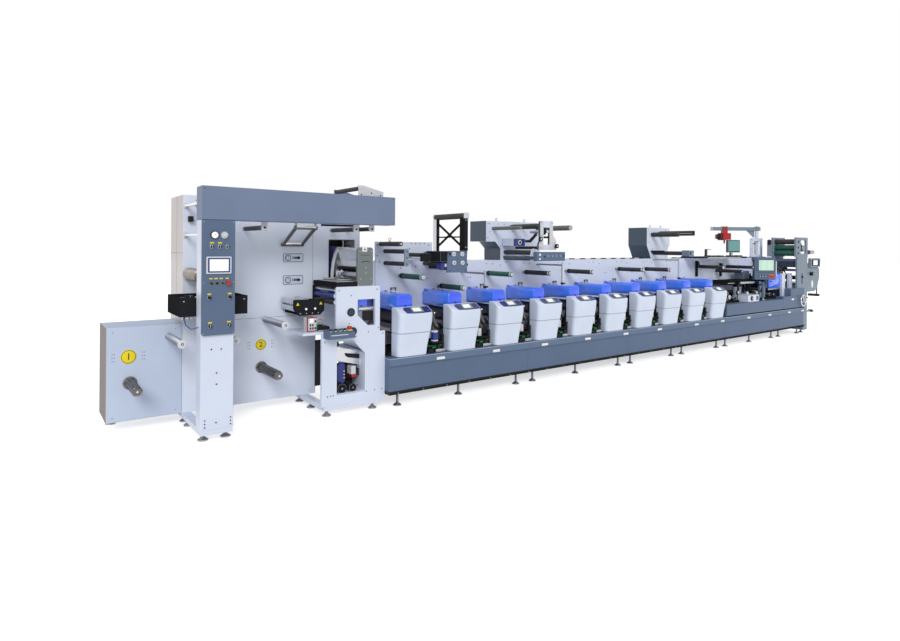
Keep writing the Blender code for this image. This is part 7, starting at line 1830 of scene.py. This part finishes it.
def add_camera(scene, height):
    """Camera at the photograph's place: level, with the horizon brought to its row by a vertical shift."""
    data = bpy.data.cameras.new("camera")
    data.sensor_fit = "HORIZONTAL"
    data.sensor_width = 36.0
    data.lens = 36.0 * FOCAL / PICTURE_W
    data.shift_y = (HORIZON - PICTURE_MIDDLE) / PICTURE_W
    data.clip_end = 200.0
    camera = bpy.data.objects.new("camera", data)
    camera.location = (ORIGIN[0] + CAMERA_PLACE[0], ORIGIN[1] + CAMERA_PLACE[1], height)
    camera.rotation_euler = (math.pi / 2, math.radians(VIEW_ROLL), math.radians(VIEW_TURN))
    scene.collection.objects.link(camera)
    scene.camera = camera


def seen_directly(tree):
    """1 for camera, mirror and see-through rays, 0 for the rays that carry light."""
    ray = shader_node(tree, "LightPath").outputs
    direct = calc(tree, "MAXIMUM", ray["Is Camera Ray"], ray["Is Glossy Ray"])
    return calc(tree, "MAXIMUM", direct, ray["Is Transmission Ray"])


def add_floor(scene):
    """White floor that glows a little to the camera, so that only the press's shadow shows on it."""
    half = 70.0
    mesh = bpy.data.meshes.new("floor")
    corners = [(-half, -half, -0.001), (half, -half, -0.001), (half, half, -0.001), (-half, half, -0.001)]
    mesh.from_pydata(corners, [], [(0, 1, 2, 3)])
    floor = bpy.data.objects.new("floor", mesh)
    scene.collection.objects.link(floor)
    made, tree, shader = bare_material("studio floor")
    set_inputs(shader, {"Base Color": (0.85, 0.85, 0.85, 1.0), "Roughness": 0.9,
                        "Emission Color": (1.0, 1.0, 1.0, 1.0)})
    glow = calc(tree, "MULTIPLY", seen_directly(tree), 0.6)
    tree.links.new(glow, shader.inputs["Emission Strength"])
    mesh.materials.append(made)


def add_light(scene, sun_strength, sky_strength):
    """Even studio light: a pale sky that is white to the camera, and one broad lamp from the front left."""
    world = bpy.data.worlds.new("studio")
    world.use_nodes = True
    tree = world.node_tree
    sky = tree.nodes["Background"]
    sky.inputs["Color"].default_value = (1.0, 1.0, 1.0, 1.0)
    level = shader_node(tree, "MapRange")
    tree.links.new(seen_directly(tree), level.inputs["Value"])
    level.inputs["To Min"].default_value = sky_strength
    level.inputs["To Max"].default_value = 1.0
    tree.links.new(level.outputs["Result"], sky.inputs["Strength"])
    scene.world = world
    lamp = bpy.data.lights.new("key", "SUN")
    lamp.energy = sun_strength
    lamp.angle = math.radians(22)
    key = bpy.data.objects.new("key", lamp)
    key.rotation_euler = (math.radians(60), 0.0, math.radians(-28))
    scene.collection.objects.link(key)
    scene.view_settings.view_transform = "Standard"


# Add-on

class PressSettings(bpy.types.PropertyGroup):
    eye_height: FloatProperty(name="Eye height", description="Height of the camera above the floor",
                              default=1.6, unit="LENGTH")
    sun_strength: FloatProperty(name="Lamp", description="Strength of the broad lamp", default=1.4)
    sky_strength: FloatProperty(name="Sky", description="Strength of the even light all round", default=0.62)


class PRESS_OT_finishes(bpy.types.Operator):
    """Make the finishes and give the frame's solids theirs"""
    bl_idname = "press.finishes"
    bl_label = "Finishes"

    def execute(self, context):
        make_looks()
        make_node_looks()
        for name, node in NODES.items():
            node.data.materials.clear()
            node.data.materials.append(LOOKS[NODE_LOOKS.get(name, "white")])
        return {"FINISHED"}


class PRESS_OT_rewinder(bpy.types.Operator):
    """Rewinder, its shafts and rollers, the column's instruments and the overhead beam"""
    bl_idname = "press.rewinder"
    bl_label = "Rewinder"

    def execute(self, context):
        levelling_feet()
        rewinder_detail()
        fascia_detail()
        beam_detail()
        cross_knives()
        return {"FINISHED"}


class PRESS_OT_front_frame(bpy.types.Operator):
    """White front frame with the die station, web drive and console"""
    bl_idname = "press.front_frame"
    bl_label = "Front frame"

    def execute(self, context):
        frame_detail()
        die_detail()
        return {"FINISHED"}


class PRESS_OT_print_units(bpy.types.Operator):
    """Housings, guards and works of the ten print units, and the bed under them"""
    bl_idname = "press.print_units"
    bl_label = "Print units"

    def execute(self, context):
        unit_pieces()
        hood_pieces()
        deck_detail()
        bed_detail()
        return {"FINISHED"}


class PRESS_OT_panel(bpy.types.Operator):
    """Main panel with its rollers, web guide, lattice carrier and overhead units"""
    bl_idname = "press.panel"
    bl_label = "Main panel"

    def execute(self, context):
        panel_detail()
        guide_detail()
        overhead_detail()
        return {"FINISHED"}


class PRESS_OT_right_end(bpy.types.Operator):
    """Plinth, modules, handwheel, end frame, unwinder, jib, hoist and operator terminal"""
    bl_idname = "press.right_end"
    bl_label = "Right end"

    def execute(self, context):
        plinth_detail()
        module_detail()
        handwheel_piece()
        end_detail()
        shelf_detail()
        jib_detail()
        terminal_detail()
        return {"FINISHED"}


class PRESS_OT_stage(bpy.types.Operator):
    """Camera at the photograph's place, white floor and even studio light"""
    bl_idname = "press.stage"
    bl_label = "Stage"

    def execute(self, context):
        settings = context.scene.press_settings
        add_camera(context.scene, settings.eye_height)
        add_floor(context.scene)
        add_light(context.scene, settings.sun_strength, settings.sky_strength)
        return {"FINISHED"}


STEPS = (PRESS_OT_finishes, PRESS_OT_rewinder, PRESS_OT_front_frame, PRESS_OT_print_units, PRESS_OT_panel,
         PRESS_OT_right_end, PRESS_OT_stage)


class PRESS_PT_sidebar(bpy.types.Panel):
    """The steps that dress the press, in order"""
    bl_idname = "PRESS_PT_sidebar"
    bl_label = "Press"
    bl_space_type = "VIEW_3D"
    bl_region_type = "UI"
    bl_category = "Press"

    def draw(self, context):
        settings = context.scene.press_settings
        for name in ("eye_height", "sun_strength", "sky_strength"):
            self.layout.prop(settings, name)
        for step in STEPS:
            self.layout.operator(step.bl_idname)


CLASSES = (PressSettings, *STEPS, PRESS_PT_sidebar)


def register():
    for cls in CLASSES:
        bpy.utils.register_class(cls)
    bpy.types.Scene.press_settings = PointerProperty(type=PressSettings)


def unregister():
    del bpy.types.Scene.press_settings
    for cls in reversed(CLASSES):
        bpy.utils.unregister_class(cls)


def main():
    register()
    bpy.ops.press.finishes()
    bpy.ops.press.rewinder()
    bpy.ops.press.front_frame()
    bpy.ops.press.print_units()
    bpy.ops.press.panel()
    bpy.ops.press.right_end()
    bpy.ops.press.stage()


if __name__ == "__main__":
    main()
